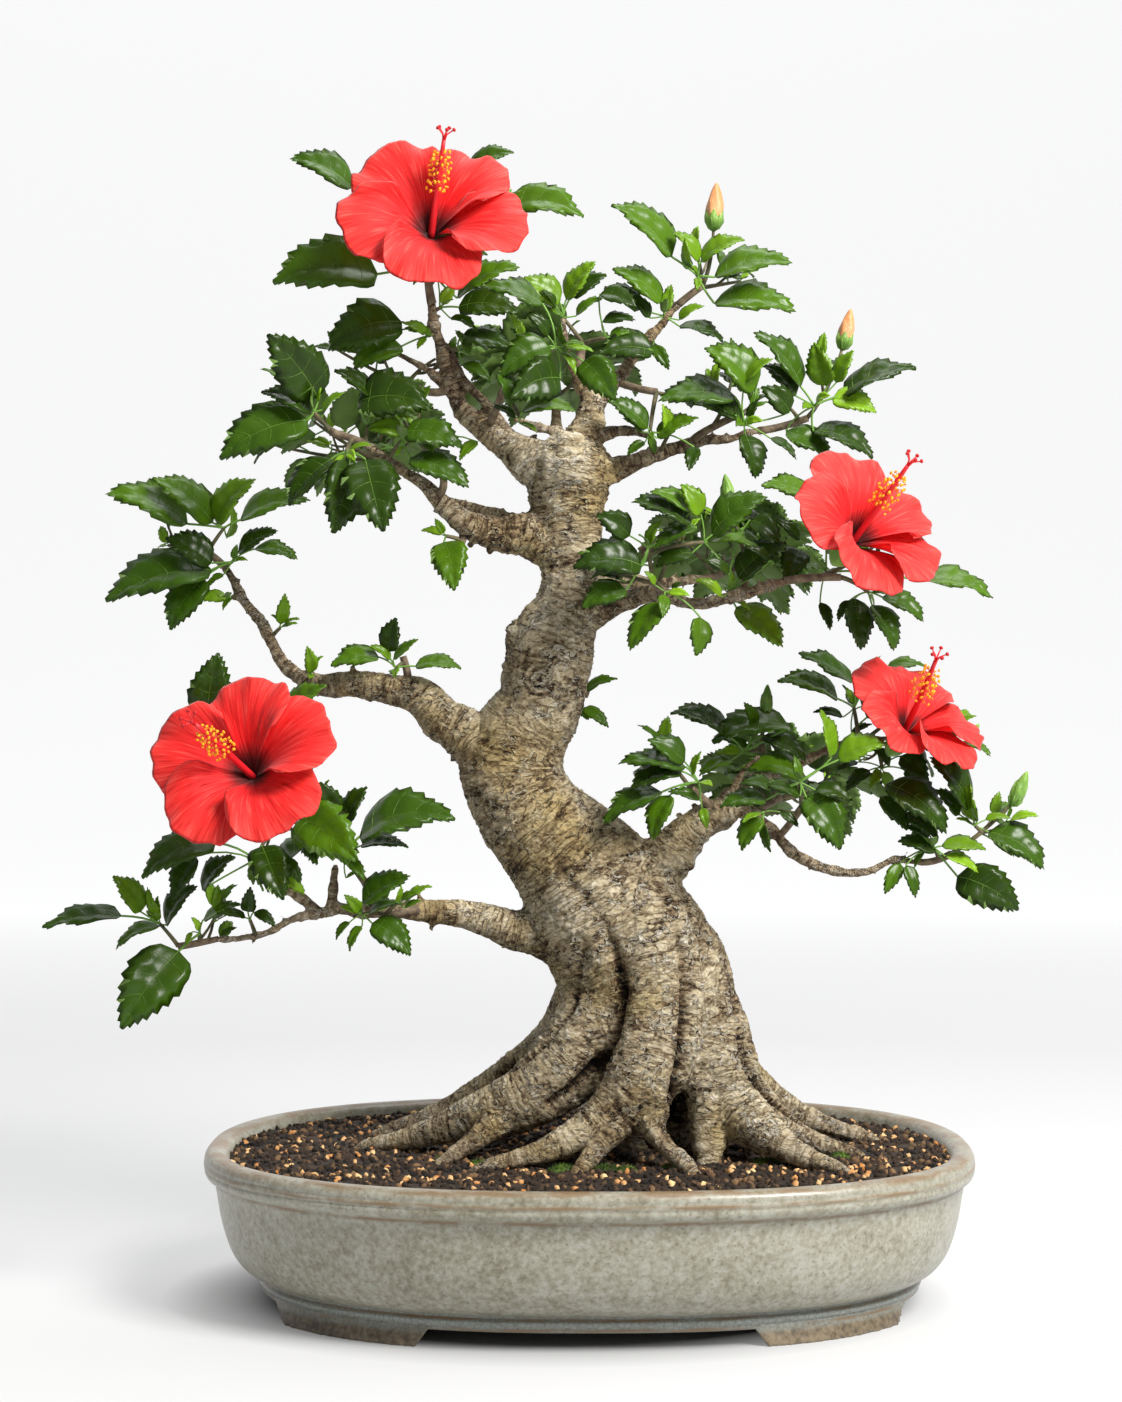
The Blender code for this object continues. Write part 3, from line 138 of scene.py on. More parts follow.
# The boughs: what each one grows from, then its knees as x, y, z, radius
BOUGHS = {
    "bough_lower_left": ("trunk", [
        (-0.010, 0.000, 0.193, 0.0160), (-0.036, -0.006, 0.197, 0.0122), (-0.060, -0.012, 0.204, 0.0094),
        (-0.088, -0.022, 0.210, 0.0076), (-0.117, -0.030, 0.209, 0.0052), (-0.136, -0.036, 0.213, 0.0042),
    ]),
    "bough_lower_left_run": ("bough_lower_left", [
        (-0.132, -0.035, 0.212, 0.0036), (-0.154, -0.040, 0.207, 0.0032), (-0.177, -0.044, 0.198, 0.0025),
        (-0.200, -0.047, 0.196, 0.0020),
    ]),
    "bough_left": ("trunk", [
        (-0.038, 0.002, 0.284, 0.0200), (-0.052, 0.001, 0.292, 0.0172), (-0.065, 0.001, 0.303, 0.0145),
        (-0.079, 0.003, 0.313, 0.0124), (-0.093, 0.005, 0.324, 0.0108), (-0.115, 0.008, 0.3295, 0.0090),
        (-0.140, 0.010, 0.3305, 0.0082), (-0.157, 0.012, 0.3345, 0.0066),
    ]),
    "bough_left_rise": ("bough_left", [
        (-0.153, 0.012, 0.332, 0.0058), (-0.166, 0.013, 0.341, 0.0053), (-0.177, 0.015, 0.360, 0.0044),
        (-0.190, 0.016, 0.378, 0.0041), (-0.203, 0.016, 0.399, 0.0028),
    ]),
    "bough_upper_left": ("trunk", [
        (-0.018, 0.000, 0.409, 0.0160), (-0.036, -0.004, 0.412, 0.0122), (-0.052, -0.010, 0.414, 0.0098),
        (-0.067, -0.016, 0.419, 0.0085), (-0.079, -0.020, 0.428, 0.0066), (-0.087, -0.022, 0.437, 0.0052),
        (-0.102, -0.026, 0.447, 0.0038), (-0.120, -0.030, 0.460, 0.0027),
    ]),
    "bough_top_left": ("trunk", [
        (-0.014, 0.000, 0.440, 0.0160), (-0.030, -0.001, 0.452, 0.0125), (-0.050, -0.003, 0.465, 0.0088),
        (-0.066, -0.005, 0.478, 0.0068), (-0.077, -0.006, 0.500, 0.0052), (-0.082, -0.008, 0.521, 0.0042),
        (-0.086, -0.010, 0.541, 0.0033),
    ]),
    "bough_leader": ("trunk", [
        (-0.006, 0.000, 0.458, 0.0115), (0.000, 0.003, 0.474, 0.0092), (0.001, 0.005, 0.486, 0.0076),
        (-0.005, 0.006, 0.500, 0.0058),
    ]),
    "bough_leader_right": ("bough_leader", [
        (0.000, 0.004, 0.474, 0.0060), (0.011, 0.009, 0.492, 0.0050), (0.027, 0.015, 0.515, 0.0042),
        (0.052, 0.022, 0.544, 0.0028),
    ]),
    "bough_upper_right": ("trunk", [
        (-0.004, 0.000, 0.441, 0.0120), (0.016, 0.005, 0.448, 0.0088), (0.036, 0.010, 0.457, 0.0066),
        (0.056, 0.016, 0.464, 0.0054), (0.075, 0.022, 0.467, 0.0040), (0.098, 0.028, 0.473, 0.0028),
    ]),
    "bough_right": ("trunk", [
        (-0.010, -0.004, 0.370, 0.0140), (0.010, -0.014, 0.373, 0.0092), (0.030, -0.026, 0.379, 0.0062),
        (0.055, -0.034, 0.3755, 0.0046), (0.083, -0.038, 0.379, 0.0043), (0.107, -0.036, 0.387, 0.0030),
    ]),
    "bough_lower_right": ("trunk", [
        (0.028, 0.000, 0.222, 0.0180), (0.044, -0.002, 0.238, 0.0140), (0.056, -0.005, 0.251, 0.0110),
        (0.068, -0.008, 0.262, 0.0086), (0.084, -0.010, 0.265, 0.0062),
    ]),
    "bough_lower_right_run": ("bough_lower_right", [
        (0.080, -0.010, 0.264, 0.0050), (0.098, -0.014, 0.253, 0.0044), (0.113, -0.018, 0.238, 0.0042),
        (0.128, -0.020, 0.231, 0.0038), (0.148, -0.020, 0.230, 0.0033), (0.162, -0.018, 0.236, 0.0029),
        (0.181, -0.014, 0.235, 0.0023),
    ]),
    "bough_lower_right_rise": ("bough_lower_right", [
        (0.066, -0.006, 0.262, 0.0058), (0.085, 0.003, 0.277, 0.0043), (0.110, 0.008, 0.285, 0.0036),
        (0.137, 0.012, 0.298, 0.0028),
    ]),
    "bough_back_top": ("trunk", [
        (-0.010, 0.006, 0.440, 0.0115), (-0.012, 0.028, 0.452, 0.0080), (-0.016, 0.050, 0.470, 0.0055),
        (-0.018, 0.070, 0.490, 0.0032),
    ]),
    "bough_back_right": ("trunk", [
        (-0.012, 0.004, 0.392, 0.0120), (0.008, 0.030, 0.392, 0.0085), (0.034, 0.055, 0.388, 0.0056),
        (0.064, 0.076, 0.392, 0.0032),
    ]),
    "bough_back_low": ("trunk", [
        (0.018, 0.012, 0.212, 0.0150), (0.044, 0.044, 0.232, 0.0095), (0.072, 0.072, 0.250, 0.0060),
        (0.098, 0.094, 0.260, 0.0034),
    ]),
    "bough_back_left": ("trunk", [
        (-0.006, 0.010, 0.422, 0.0110), (-0.028, 0.036, 0.421, 0.0078), (-0.070, 0.060, 0.432, 0.0054),
        (-0.108, 0.076, 0.456, 0.0030),
    ]),
}

# The masses of foliage: the limb that the stem leaves, and at which share of it (1 is the limb's tip), the
# middle and the half axes of the ellipsoid that the mass keeps to, its number of shoots, its seed
MASS_ROWS = [
    ("top_bloom", "bough_top_left", 1.0, (-0.088, -0.010, 0.570), (0.090, 0.070, 0.066), 3, 3),
    ("top_left", "bough_top_left", 0.62, (-0.114, -0.006, 0.506), (0.056, 0.052, 0.040), 4, 5),
    ("crown_front", "bough_top_left", 0.40, (-0.040, -0.052, 0.512), (0.064, 0.054, 0.048), 5, 11),
    ("crown_middle", "bough_leader", 1.0, (-0.002, 0.012, 0.536), (0.054, 0.052, 0.044), 4, 8),
    ("crown_right", "bough_leader_right", 1.0, (0.068, 0.022, 0.562), (0.062, 0.052, 0.048), 4, 21),
    ("crown_inner", "bough_leader_right", 0.35, (0.048, -0.010, 0.492), (0.046, 0.050, 0.034), 3, 4),
    ("upper_right", "bough_upper_right", 0.62, (0.092, 0.000, 0.490), (0.044, 0.060, 0.040), 4, 13),
    ("upper_right_end", "bough_upper_right", 1.0, (0.136, 0.024, 0.490), (0.050, 0.052, 0.046), 4, 17),
    ("right_inner", "bough_right", 0.45, (0.030, -0.056, 0.396), (0.052, 0.050, 0.046), 4, 25),
    ("right_middle", "bough_right", 0.80, (0.086, -0.024, 0.405), (0.050, 0.054, 0.042), 4, 27),
    ("right_bloom", "bough_right", 1.0, (0.150, -0.036, 0.398), (0.072, 0.066, 0.060), 4, 31),
    ("lower_right_inner", "bough_lower_right", 0.78, (0.048, -0.032, 0.286), (0.044, 0.046, 0.034), 3, 35),
    ("lower_right_middle", "bough_lower_right_rise", 0.48,
     (0.094, 0.004, 0.306), (0.056, 0.054, 0.034), 4, 37),
    ("lower_right_front", "bough_lower_right_run", 0.24,
     (0.118, -0.050, 0.280), (0.054, 0.044, 0.038), 4, 41),
    ("lower_right_bloom", "bough_lower_right_rise", 1.0,
     (0.170, 0.012, 0.312), (0.064, 0.062, 0.052), 4, 43),
    ("lower_right_end", "bough_lower_right_run", 1.0, (0.204, -0.018, 0.250), (0.050, 0.050, 0.046), 4, 47),
    ("upper_left_end", "bough_upper_left", 1.0, (-0.150, -0.032, 0.478), (0.054, 0.054, 0.056), 4, 51),
    ("upper_left_inner", "bough_upper_left", 0.62, (-0.084, -0.036, 0.466), (0.044, 0.050, 0.036), 4, 53),
    ("upper_left_leaf", "bough_upper_left", 0.42, (-0.076, -0.020, 0.398), (0.022, 0.022, 0.026), 1, 2),
    ("left_end", "bough_left_rise", 1.0, (-0.211, 0.014, 0.404), (0.060, 0.054, 0.044), 3, 57),
    ("left_tuft", "bough_left", 0.58, (-0.104, 0.004, 0.356), (0.038, 0.034, 0.024), 2, 61),
    ("lower_left_bloom", "bough_lower_left", 0.84, (-0.146, -0.056, 0.272), (0.080, 0.076, 0.062), 4, 63),
    ("lower_left_end", "bough_lower_left_run", 1.0, (-0.228, -0.046, 0.198), (0.062, 0.050, 0.050), 3, 67),
    ("lower_left_inner", "bough_lower_left", 0.66, (-0.114, -0.050, 0.212), (0.044, 0.044, 0.032), 3, 71),
    ("trunk_sprig", "trunk", 0.65, (0.006, 0.010, 0.328), (0.030, 0.026, 0.030), 0, 2),
    ("back_top", "bough_back_top", 1.0, (-0.022, 0.088, 0.516), (0.076, 0.052, 0.046), 5, 73),
    ("back_right", "bough_back_right", 1.0, (0.092, 0.098, 0.408), (0.072, 0.052, 0.044), 5, 77),
    ("back_low", "bough_back_low", 1.0, (0.122, 0.106, 0.276), (0.068, 0.052, 0.040), 5, 79),
    ("back_left", "bough_back_left", 1.0, (-0.140, 0.090, 0.474), (0.070, 0.052, 0.044), 5, 83),
]
MASSES = {
    "foliage_" + name: dict(limb=limb, along=along, middle=middle, half=half, shoots=shoots, seed=seed)
    for name, limb, along, middle, half, shoots, seed in MASS_ROWS
}
# The sprig leaves the trunk on this side
MASSES["foliage_trunk_sprig"]["side"] = (0.9, 0.4, 0.0)

# The open blooms: the mass each belongs to, its throat, the ways that it and its column face, its
# radius, and the angle in degrees of the notch between two of its petals
BLOOMS = {
    "foliage_top_bloom": dict(
        throat=(-0.0850, -0.026, 0.5715), facing=(0.06, -0.83, 0.55), column=(0.15, -0.36, 0.92),
        radius=0.0490, notch=18,
    ),
    "foliage_right_bloom": dict(
        throat=(0.1370, -0.062, 0.4045), facing=(0.49, -0.68, 0.55), column=(0.50, -0.42, 0.74),
        radius=0.0432, notch=-25,
    ),
    "foliage_lower_right_bloom": dict(
        throat=(0.1705, -0.012, 0.3048), facing=(0.45, -0.53, 0.71), column=(0.24, -0.62, 0.74),
        radius=0.0398, notch=18,
    ),
    "foliage_lower_left_bloom": dict(
        throat=(-0.1730, -0.092, 0.2835), facing=(-0.22, -0.85, 0.48), column=(-0.48, -0.70, 0.52),
        radius=0.0462, notch=-25,
    ),
}
COLUMN_LENGTH = 0.060
# The points round the plain shapes that stand for a bloom while the leaves grow
BLOOM_SIDES = 20

# The closed buds: the mass, the bud's tip, its length; the ripe ones already show their petals
RIPE_BUDS = (0, 2)
BUDS = [
    ("foliage_crown_right", (0.071, 0.024, 0.609), 0.026),
    ("foliage_crown_right", (0.052, 0.022, 0.574), 0.013),
    ("foliage_upper_right_end", (0.146, 0.030, 0.540), 0.023),
    ("foliage_right_middle", (0.073, -0.020, 0.444), 0.019),
    ("foliage_lower_right_middle", (0.098, 0.008, 0.331), 0.017),
    ("foliage_lower_right_end", (0.236, -0.018, 0.284), 0.020),
]


# The leaves that the photo shows, by mass. A rosette is the pixel of its twig's tip in the photo's
# 1122 x 1402 frame, its depth in mm behind the middle of the mass, and its leaves: the pixels of the
# blade's foot and tip, its width seen against its length, and its age where that is plain, 0 to 4.
ROSETTES = {
    "foliage_top_bloom": [
        (432, 270, 12, [
            (352, 188, 288, 163, .42), (378, 274, 274, 289, .56, 2), (470, 172, 514, 153, .40),
            (508, 207, 585, 213, .45), (457, 298, 521, 270, .36, 2),
        ]),
        (440, 308, 0, [
            (458, 307, 519, 314, .55), (450, 318, 478, 330, .50, 2), (432, 262, 412, 284, .5, 2),
        ]),
    ],
    "foliage_top_left": [
        (428, 336, -10, [(402, 322, 327, 349, .62), (402, 346, 354, 371, .58), (432, 335, 402, 329, .45)]),
        (458, 350, -4, [(463, 364, 491, 382, .60), (460, 338, 512, 349, .45), (470, 355, 455, 330, .5, 2)]),
    ],
    "foliage_upper_left_end": [
        (314, 412, -6, [
            (318, 398, 264, 337, .78), (308, 420, 222, 463, .58), (312, 411, 261, 392, .45, 0),
            (318, 402, 322, 380, .5, 4), (322, 410, 345, 392, .4, 3),
        ]),
        (346, 452, -8, [
            (331, 459, 289, 506, .42), (350, 459, 338, 535, .62, 0), (365, 459, 376, 533, .80, 0),
            (350, 450, 372, 446, .4, 3),
        ]),
        (368, 425, 4, [
            (371, 396, 333, 373, .45), (358, 402, 432, 406, .62, 0), (403, 433, 367, 427, .62, 3),
        ]),
    ],
    "foliage_upper_left_inner": [
        (402, 440, -4, [
            (404, 432, 462, 449, .55), (410, 458, 467, 490, .50), (478, 442, 458, 459, .60, 3),
            (396, 456, 404, 446, .6, 3),
        ]),
    ],
    "foliage_upper_left_leaf": [(446, 536, 0, [(444, 542, 460, 589, .85, 2)])],
    "foliage_left_end": [
        (224, 528, 0, [
            (188, 524, 104, 496, .42), (213, 523, 152, 478, .45, 2), (217, 524, 255, 478, .45, 3),
            (240, 520, 311, 500, .36, 2), (227, 538, 232, 506, .40, 3),
        ]),
        (232, 562, -4, [
            (238, 553, 279, 533, .42), (254, 549, 297, 561, .36, 2), (212, 563, 164, 541, .62, 0),
            (212, 570, 107, 605, .40, 1), (204, 578, 172, 631, .62, 1), (224, 574, 206, 588, .5, 2),
        ]),
        (231, 598, -2, [(232, 598, 222, 610, .5, 3)]),
        (280, 628, -2, [(282, 627, 298, 624, .4, 3), (280, 622, 271, 614, .5, 3)]),
    ],
    "foliage_left_tuft": [
        (396, 668, -6, [
            (379, 657, 331, 667, .45), (391, 660, 368, 646, .55, 3), (388, 652, 399, 619, .66),
            (393, 660, 419, 641, .45, 2), (415, 666, 462, 667, .36, 2),
        ]),
        (312, 676, 0, [(311, 672, 324, 657, .4, 3), (309, 672, 306, 662, .5, 3)]),
    ],
    "foliage_lower_left_bloom": [
        (250, 800, 6, [(207, 716, 212, 652, .72), (282, 716, 326, 683, .42), (240, 720, 262, 680, .5, 0)]),
        (255, 860, 0, [
            (216, 843, 140, 874, .48), (196, 856, 171, 899, .52), (202, 890, 236, 858, .42),
            (262, 846, 277, 902, .80, 0), (283, 858, 301, 884, .62),
        ]),
        (345, 858, -2, [
            (300, 818, 353, 867, .88, 2), (345, 822, 369, 789, .52), (334, 815, 318, 783, .75, 0),
            (359, 837, 456, 815, .42, 1), (360, 846, 409, 847, .28), (346, 878, 366, 871, .35, 3),
        ]),
    ],
    "foliage_lower_left_end": [
        (160, 924, 0, [
            (122, 916, 42, 927, .30, 1), (141, 912, 112, 877, .62, 3), (158, 915, 148, 887, .5, 3),
            (166, 925, 199, 888, .42), (160, 926, 115, 949, .28, 2),
        ]),
        (200, 934, -4, [
            (179, 951, 124, 1031, .76, 1), (203, 920, 240, 905, .34), (192, 932, 186, 946, .6, 3),
        ]),
        (250, 920, -6, [
            (246, 918, 217, 914, .52), (248, 912, 252, 887, .85, 0), (254, 912, 276, 926, .66, 0),
        ]),
    ],
    "foliage_lower_left_inner": [
        (362, 914, 0, [
            (362, 902, 411, 877, .52, 1), (368, 914, 402, 903, .32), (372, 923, 412, 954, .66, 1),
            (362, 926, 349, 951, .52), (350, 922, 335, 939, .5), (355, 912, 348, 896, .6),
        ]),
        (398, 902, -4, [
            (405, 904, 432, 886, .42, 3), (396, 902, 402, 885, .5, 3), (405, 908, 422, 902, .5, 2),
        ]),
    ],
    "foliage_trunk_sprig": [(580, 702, 0, [(586, 691, 617, 677, .45, 2), (583, 708, 609, 727, .62, 2)])],
    "foliage_crown_front": [
        (556, 348, 0, [
            (550, 346, 497, 374, .68), (548, 336, 526, 311, .62), (560, 378, 508, 393, .85, 0),
            (500, 373, 511, 407, .52), (543, 304, 480, 286, .32), (562, 350, 593, 353, .42, 3),
            (562, 352, 577, 375, .42, 3), (583, 361, 616, 400, .72, 1), (566, 345, 560, 322, .4, 2),
        ]),
        (520, 418, 6, [
            (522, 412, 577, 411, .34, 2), (516, 418, 491, 407, .48), (520, 424, 538, 432, .4, 3),
        ]),
    ],
    "foliage_crown_middle": [
        (563, 318, -6, [
            (560, 303, 521, 277, .58, 3), (566, 300, 598, 263, .45, 3), (571, 297, 607, 276, .48),
            (576, 316, 605, 300, .42, 2), (556, 306, 540, 290, .4, 0),
        ]),
        (606, 338, -10, [
            (600, 294, 638, 306, .50), (653, 351, 597, 351, .52, 0), (602, 322, 636, 318, .5, 0),
        ]),
    ],
    "foliage_crown_right": [
        (698, 276, -4, [
            (672, 257, 611, 205, .36), (699, 262, 672, 233, .42, 3), (701, 262, 745, 240, .36, 3),
            (714, 277, 793, 262, .34, 2), (714, 303, 795, 316, .42), (690, 262, 684, 238, .4, 4),
        ]),
        (664, 316, -4, [
            (662, 302, 611, 272, .46), (650, 318, 631, 295, .62, 0), (679, 320, 704, 305, .5, 3),
            (679, 326, 723, 343, .32), (653, 345, 666, 371, .70), (640, 310, 604, 288, .5, 0),
        ]),
    ],
    "foliage_crown_inner": [
        (650, 432, -6, [
            (648, 428, 606, 403, .50), (657, 438, 698, 416, .42), (642, 432, 622, 419, .5, 2),
            (645, 442, 627, 456, .62), (694, 447, 691, 471, .95),
        ]),
    ],
    "foliage_upper_right": [
        (744, 424, -8, [
            (735, 397, 656, 398, .38), (742, 419, 689, 394, .48), (756, 390, 703, 350, .55, 2),
            (790, 412, 762, 386, .66), (745, 434, 752, 479, .55), (770, 438, 797, 459, .42),
            (745, 382, 773, 358, .34, 3), (735, 415, 705, 400, .5, 0), (748, 420, 760, 400, .6, 0),
        ]),
        (668, 436, -10, [(664, 436, 684, 420, .5, 2)]),
    ],
    "foliage_upper_right_end": [
        (814, 406, -6, [
            (801, 387, 752, 334, .38), (796, 396, 762, 363, .42), (827, 386, 814, 342, .62, 3),
            (836, 383, 852, 350, .5, 3), (842, 395, 917, 370, .32), (832, 399, 877, 411, .55, 4),
            (813, 431, 871, 461, .38), (786, 431, 829, 459, .48),
        ]),
    ],
    "foliage_right_inner": [
        (648, 548, -4, [
            (630, 536, 597, 514, .68), (692, 523, 631, 503, .38), (690, 512, 650, 492, .4, 2),
            (642, 566, 573, 567, .58), (626, 590, 582, 608, .58), (697, 527, 652, 549, .38),
        ]),
        (665, 592, -2, [
            (663, 602, 630, 651, .48), (700, 617, 697, 656, .60), (672, 590, 682, 582, .6),
            (655, 585, 645, 570, .6, 3),
        ]),
        (704, 542, 0, [
            (701, 515, 679, 486, .62, 3), (712, 535, 769, 499, .52), (692, 553, 657, 568, .52),
            (729, 575, 703, 558, .55),
        ]),
    ],
    "foliage_right_middle": [
        (728, 592, -10, [
            (722, 597, 694, 580, .5, 4), (729, 597, 733, 571, .5, 4), (733, 600, 750, 609, .45, 4),
            (736, 607, 781, 649, .50, 3), (738, 578, 787, 544, .55), (762, 546, 721, 540, .38),
            (750, 520, 782, 541, .64, 0), (770, 560, 745, 548, .5, 0),
        ]),
    ],
    "foliage_right_bloom": [
        (826, 572, 14, [
            (812, 497, 761, 484, .42), (922, 581, 993, 598, .30, 2), (800, 550, 788, 582, .9, 0),
            (820, 602, 831, 630, .55, 0), (800, 540, 775, 520, .6, 0),
        ]),
        (868, 592, 6, [
            (855, 598, 857, 650, .60, 0), (872, 605, 891, 652, .48), (882, 597, 923, 623, .42),
            (850, 600, 840, 622, .6, 0),
        ]),
    ],
    "foliage_lower_right_inner": [
        (698, 782, -4, [
            (685, 762, 648, 739, .55), (686, 767, 619, 767, .34), (681, 771, 630, 791, .45),
            (662, 792, 605, 826, .40), (670, 795, 653, 841, .56), (700, 800, 668, 794, .48),
            (692, 775, 702, 752, .5, 3), (702, 808, 706, 829, .75, 3),
        ]),
    ],
    "foliage_lower_right_middle": [
        (744, 752, -4, [
            (729, 736, 670, 713, .34), (790, 727, 713, 744, .38), (762, 736, 805, 762, .40),
            (756, 722, 743, 703, .85, 2), (732, 760, 700, 777, .42, 2), (806, 777, 739, 765, .40),
            (772, 742, 792, 724, .5, 2),
        ]),
    ],
    "foliage_lower_right_front": [
        (800, 782, 4, [
            (806, 797, 843, 848, .66), (766, 800, 720, 808, .46), (800, 796, 764, 788, .45),
            (831, 758, 818, 711, .36, 3), (838, 760, 888, 744, .50, 3), (775, 790, 739, 783, .42),
            (815, 790, 850, 800, .5, 0),
        ]),
        (764, 812, 4, [(762, 818, 739, 849, .58), (763, 824, 771, 852, .52), (780, 812, 798, 828, .6, 0)]),
    ],
    "foliage_lower_right_bloom": [
        (854, 708, 10, [
            (838, 699, 777, 681, .32), (853, 682, 798, 656, .34), (865, 683, 880, 655, .45, 3),
            (886, 669, 924, 664, .34, 2), (843, 717, 813, 711, .42), (852, 735, 872, 724, .5, 0),
        ]),
        (882, 768, -6, [
            (900, 756, 927, 782, .66, 0), (870, 770, 846, 792, .60, 0), (890, 765, 870, 748, .6, 0),
            (858, 762, 838, 772, .5, 0), (905, 770, 915, 795, .6, 0),
        ]),
    ],
    "foliage_lower_right_end": [
        (975, 826, 0, [
            (969, 809, 927, 760, .46), (977, 822, 969, 783, .42, 3), (985, 820, 1011, 818, .42, 3),
            (988, 832, 1044, 870, .50), (960, 815, 935, 790, .5, 0),
        ]),
        (934, 848, -2, [
            (886, 784, 947, 834, .50, 0), (957, 876, 1017, 913, .70), (900, 863, 888, 895, .72),
            (906, 865, 914, 898, .60), (936, 850, 898, 844, .52), (941, 846, 986, 848, .38, 3),
            (945, 856, 979, 872, .34, 4), (930, 836, 904, 828, .62, 0), (880, 796, 906, 831, .55, 0),
            (906, 813, 938, 838, .55, 0), (925, 850, 915, 868, .5, 2),
        ]),
    ],
}


# The leaves and twigs of the looks: smaller than the solids' leaves, and more of them
LEAF_LENGTH = 0.0375
LEAF_SHAPE = 0.66
LEAF_DROOP = 0.16
LEAF_THICKNESS = 0.0004
STALK_LENGTH = 0.0095
STALK_RADIUS = 0.00060
YOUNG_LEAVES = 2
YOUNG_WIDTH = 0.70
YOUNG_LENGTH = 0.0135
# A twig's leaves: how many, the shares of it where they begin and end, their length and their ages
SHOOT_LEAVES = (6, 0.36, 0.96, LEAF_LENGTH, (0, 0, 1, 1, 2))
SIDE_TWIG_LEAVES = (3, 0.45, 0.98, 0.72 * LEAF_LENGTH, (0, 1, 2, 2, 3))
SIDE_TWIG_SHARES = (0.40, 0.72)
LEAF_TRIES = 12
# The part of its width that a leaf of the photo keeps beside its folds and teeth
SEEN_WIDTH = 0.88
# The steps in depth that a leaf of the photo tries until it touches nothing
LEAF_SHIFTS = (0.0, -0.005, 0.005, -0.010, 0.010, -0.016, 0.016, 0.024)
STEM_RADIUS = 0.0020
STEM_LENGTH = 0.014
SHOOT_RADIUS = 0.0014
SHOOT_TIP_RADIUS = 0.0008
ROSETTE_TIP_RADIUS = 0.0010
SIDE_TWIG_RADII = (0.0010, 0.0006)

# The grid of a leaf's blade: rows run out to a tooth or a notch of its edge, veins to every other tooth
BLADE_ROWS = 18
SMALL_BLADE_ROWS = 12
SMALL_BLADE = 0.024
VEIN_EVERY = 4
BLADE_ACROSS = np.array([-1.0, -0.66, -0.33, 0.0, 0.33, 0.66, 1.0])
UNDER_ACROSS = np.array([-1.0, -0.5, 0.0, 0.5, 1.0])

# The parts of the crown that make a piece of leaves each
REGIONS = ("crown", "left", "right", "back")


def srgb(text):
    """An sRGB hex colour as linear red, green, blue and one."""
    parts = [int(text[i:i + 2], 16) / 255 for i in (1, 3, 5)]
    return tuple(c / 12.92 if c <= 0.04045 else ((c + 0.055) / 1.055) ** 2.4 for c in parts) + (1.0,)


def add_node(tree, kind, settings=(), links=()):
    """A node with its settings and incoming links, both by the name or number of a socket or property."""
    made = tree.nodes.new(kind)
    for key, value in dict(settings).items():
        if key == "stops":
            while len(made.color_ramp.elements) < len(value):
                made.color_ramp.elements.new(0.5)
            for element, (place, colour) in zip(made.color_ramp.elements, value):
                element.position = place
                element.color = srgb(colour)
        elif isinstance(key, int) or key in made.inputs:
            made.inputs[key].default_value = value
        else:
            setattr(made, key, value)
    for key, source in dict(links).items():
        if isinstance(source, bpy.types.Node):
            source = source.outputs[0]
        tree.links.new(source, made.inputs[key])
    return made


def new_material(name, settings):
    """A material with plain settings on its shader; returned with its tree and its shader."""
    made = bpy.data.materials.new(name)
    made.use_nodes = True
    shader = made.node_tree.nodes["Principled BSDF"]
    for key, value in settings.items():
        shader.inputs[key].default_value = value
    return made, made.node_tree, shader


def plain_finish(name, rough, colour):
    """A finish of one colour."""
    return new_material(name, {"Roughness": rough, "Base Color": srgb(colour)})[0]


def add_object(name, data):
    """An object of its own in the scene."""
    made = bpy.data.objects.new(name, data)
    bpy.context.scene.collection.objects.link(made)
    return made


class Gathered:
    """Points, faces and material slots of many small shapes, joined into one mesh at the end."""

    def __init__(self):
        self.points = []
        self.faces = []
        self.slots = []
        self.marks = []
        self.count = 0

    def add(self, points, faces, slot=0, marks=None):
        """Adds a shape in one material slot; marks are two values for each of its points."""
        points = np.asarray(points, dtype=float).reshape(-1, 3)
        for face in faces:
            self.faces.append(tuple(i + self.count for i in face))
        self.slots += [slot] * len(faces)
        self.points.append(points)
        self.marks.append(np.zeros((len(points), 2)) if marks is None else np.asarray(marks))
        self.count += len(points)

    def piece(self, name, finishes, mark_names=()):
        """All the shapes as one object in the world, with its marks as named attributes."""
        mesh = bpy.data.meshes.new(name)
        places = np.concatenate(self.points) + np.array(POT_MIDDLE)
        mesh.from_pydata(places.tolist(), [], self.faces)
        mesh.polygons.foreach_set("material_index", self.slots)
        if mark_names:
            marks = np.concatenate(self.marks)
            for column, mark in enumerate(mark_names):
                layer = mesh.attributes.new(mark, "FLOAT", "POINT")
                layer.data.foreach_set("value", np.ascontiguousarray(marks[:, column], dtype=np.float32))
        for finish in finishes:
            mesh.materials.append(finish)
        mesh.validate()
        mesh.shade_smooth()
        return add_object(name, mesh)


def evaluated(obj, name):
    """The object's mesh with its modifiers worked out, as a new mesh."""
    graph = bpy.context.evaluated_depsgraph_get()
    mesh = bpy.data.meshes.new_from_object(obj.evaluated_get(graph))
    mesh.name = name
    return mesh


def fused(shapes, name, finish, voxel, smoothing):
    """Gathered shapes as one skin that flows together where they meet."""
    rough = shapes.piece(name + "_rough", [finish])
    fuse = rough.modifiers.new("fuse", "REMESH")
    fuse.mode = "VOXEL"
    fuse.voxel_size = voxel
    flow = rough.modifiers.new("flow", "SMOOTH")
    flow.factor = 0.5
    flow.iterations = smoothing
    mesh = evaluated(rough, name)
    bpy.data.objects.remove(rough)
    mesh.materials.clear()
    mesh.materials.append(finish)
    return mesh


def through(a, b, c, d, t):
    """The Catmull-Rom value at t between b and c."""
    bend = (2 * a - 5 * b + 4 * c - d) * t * t + (3 * b - a - 3 * c + d) * t ** 3
    return 0.5 * (2 * b + (c - a) * t + bend)


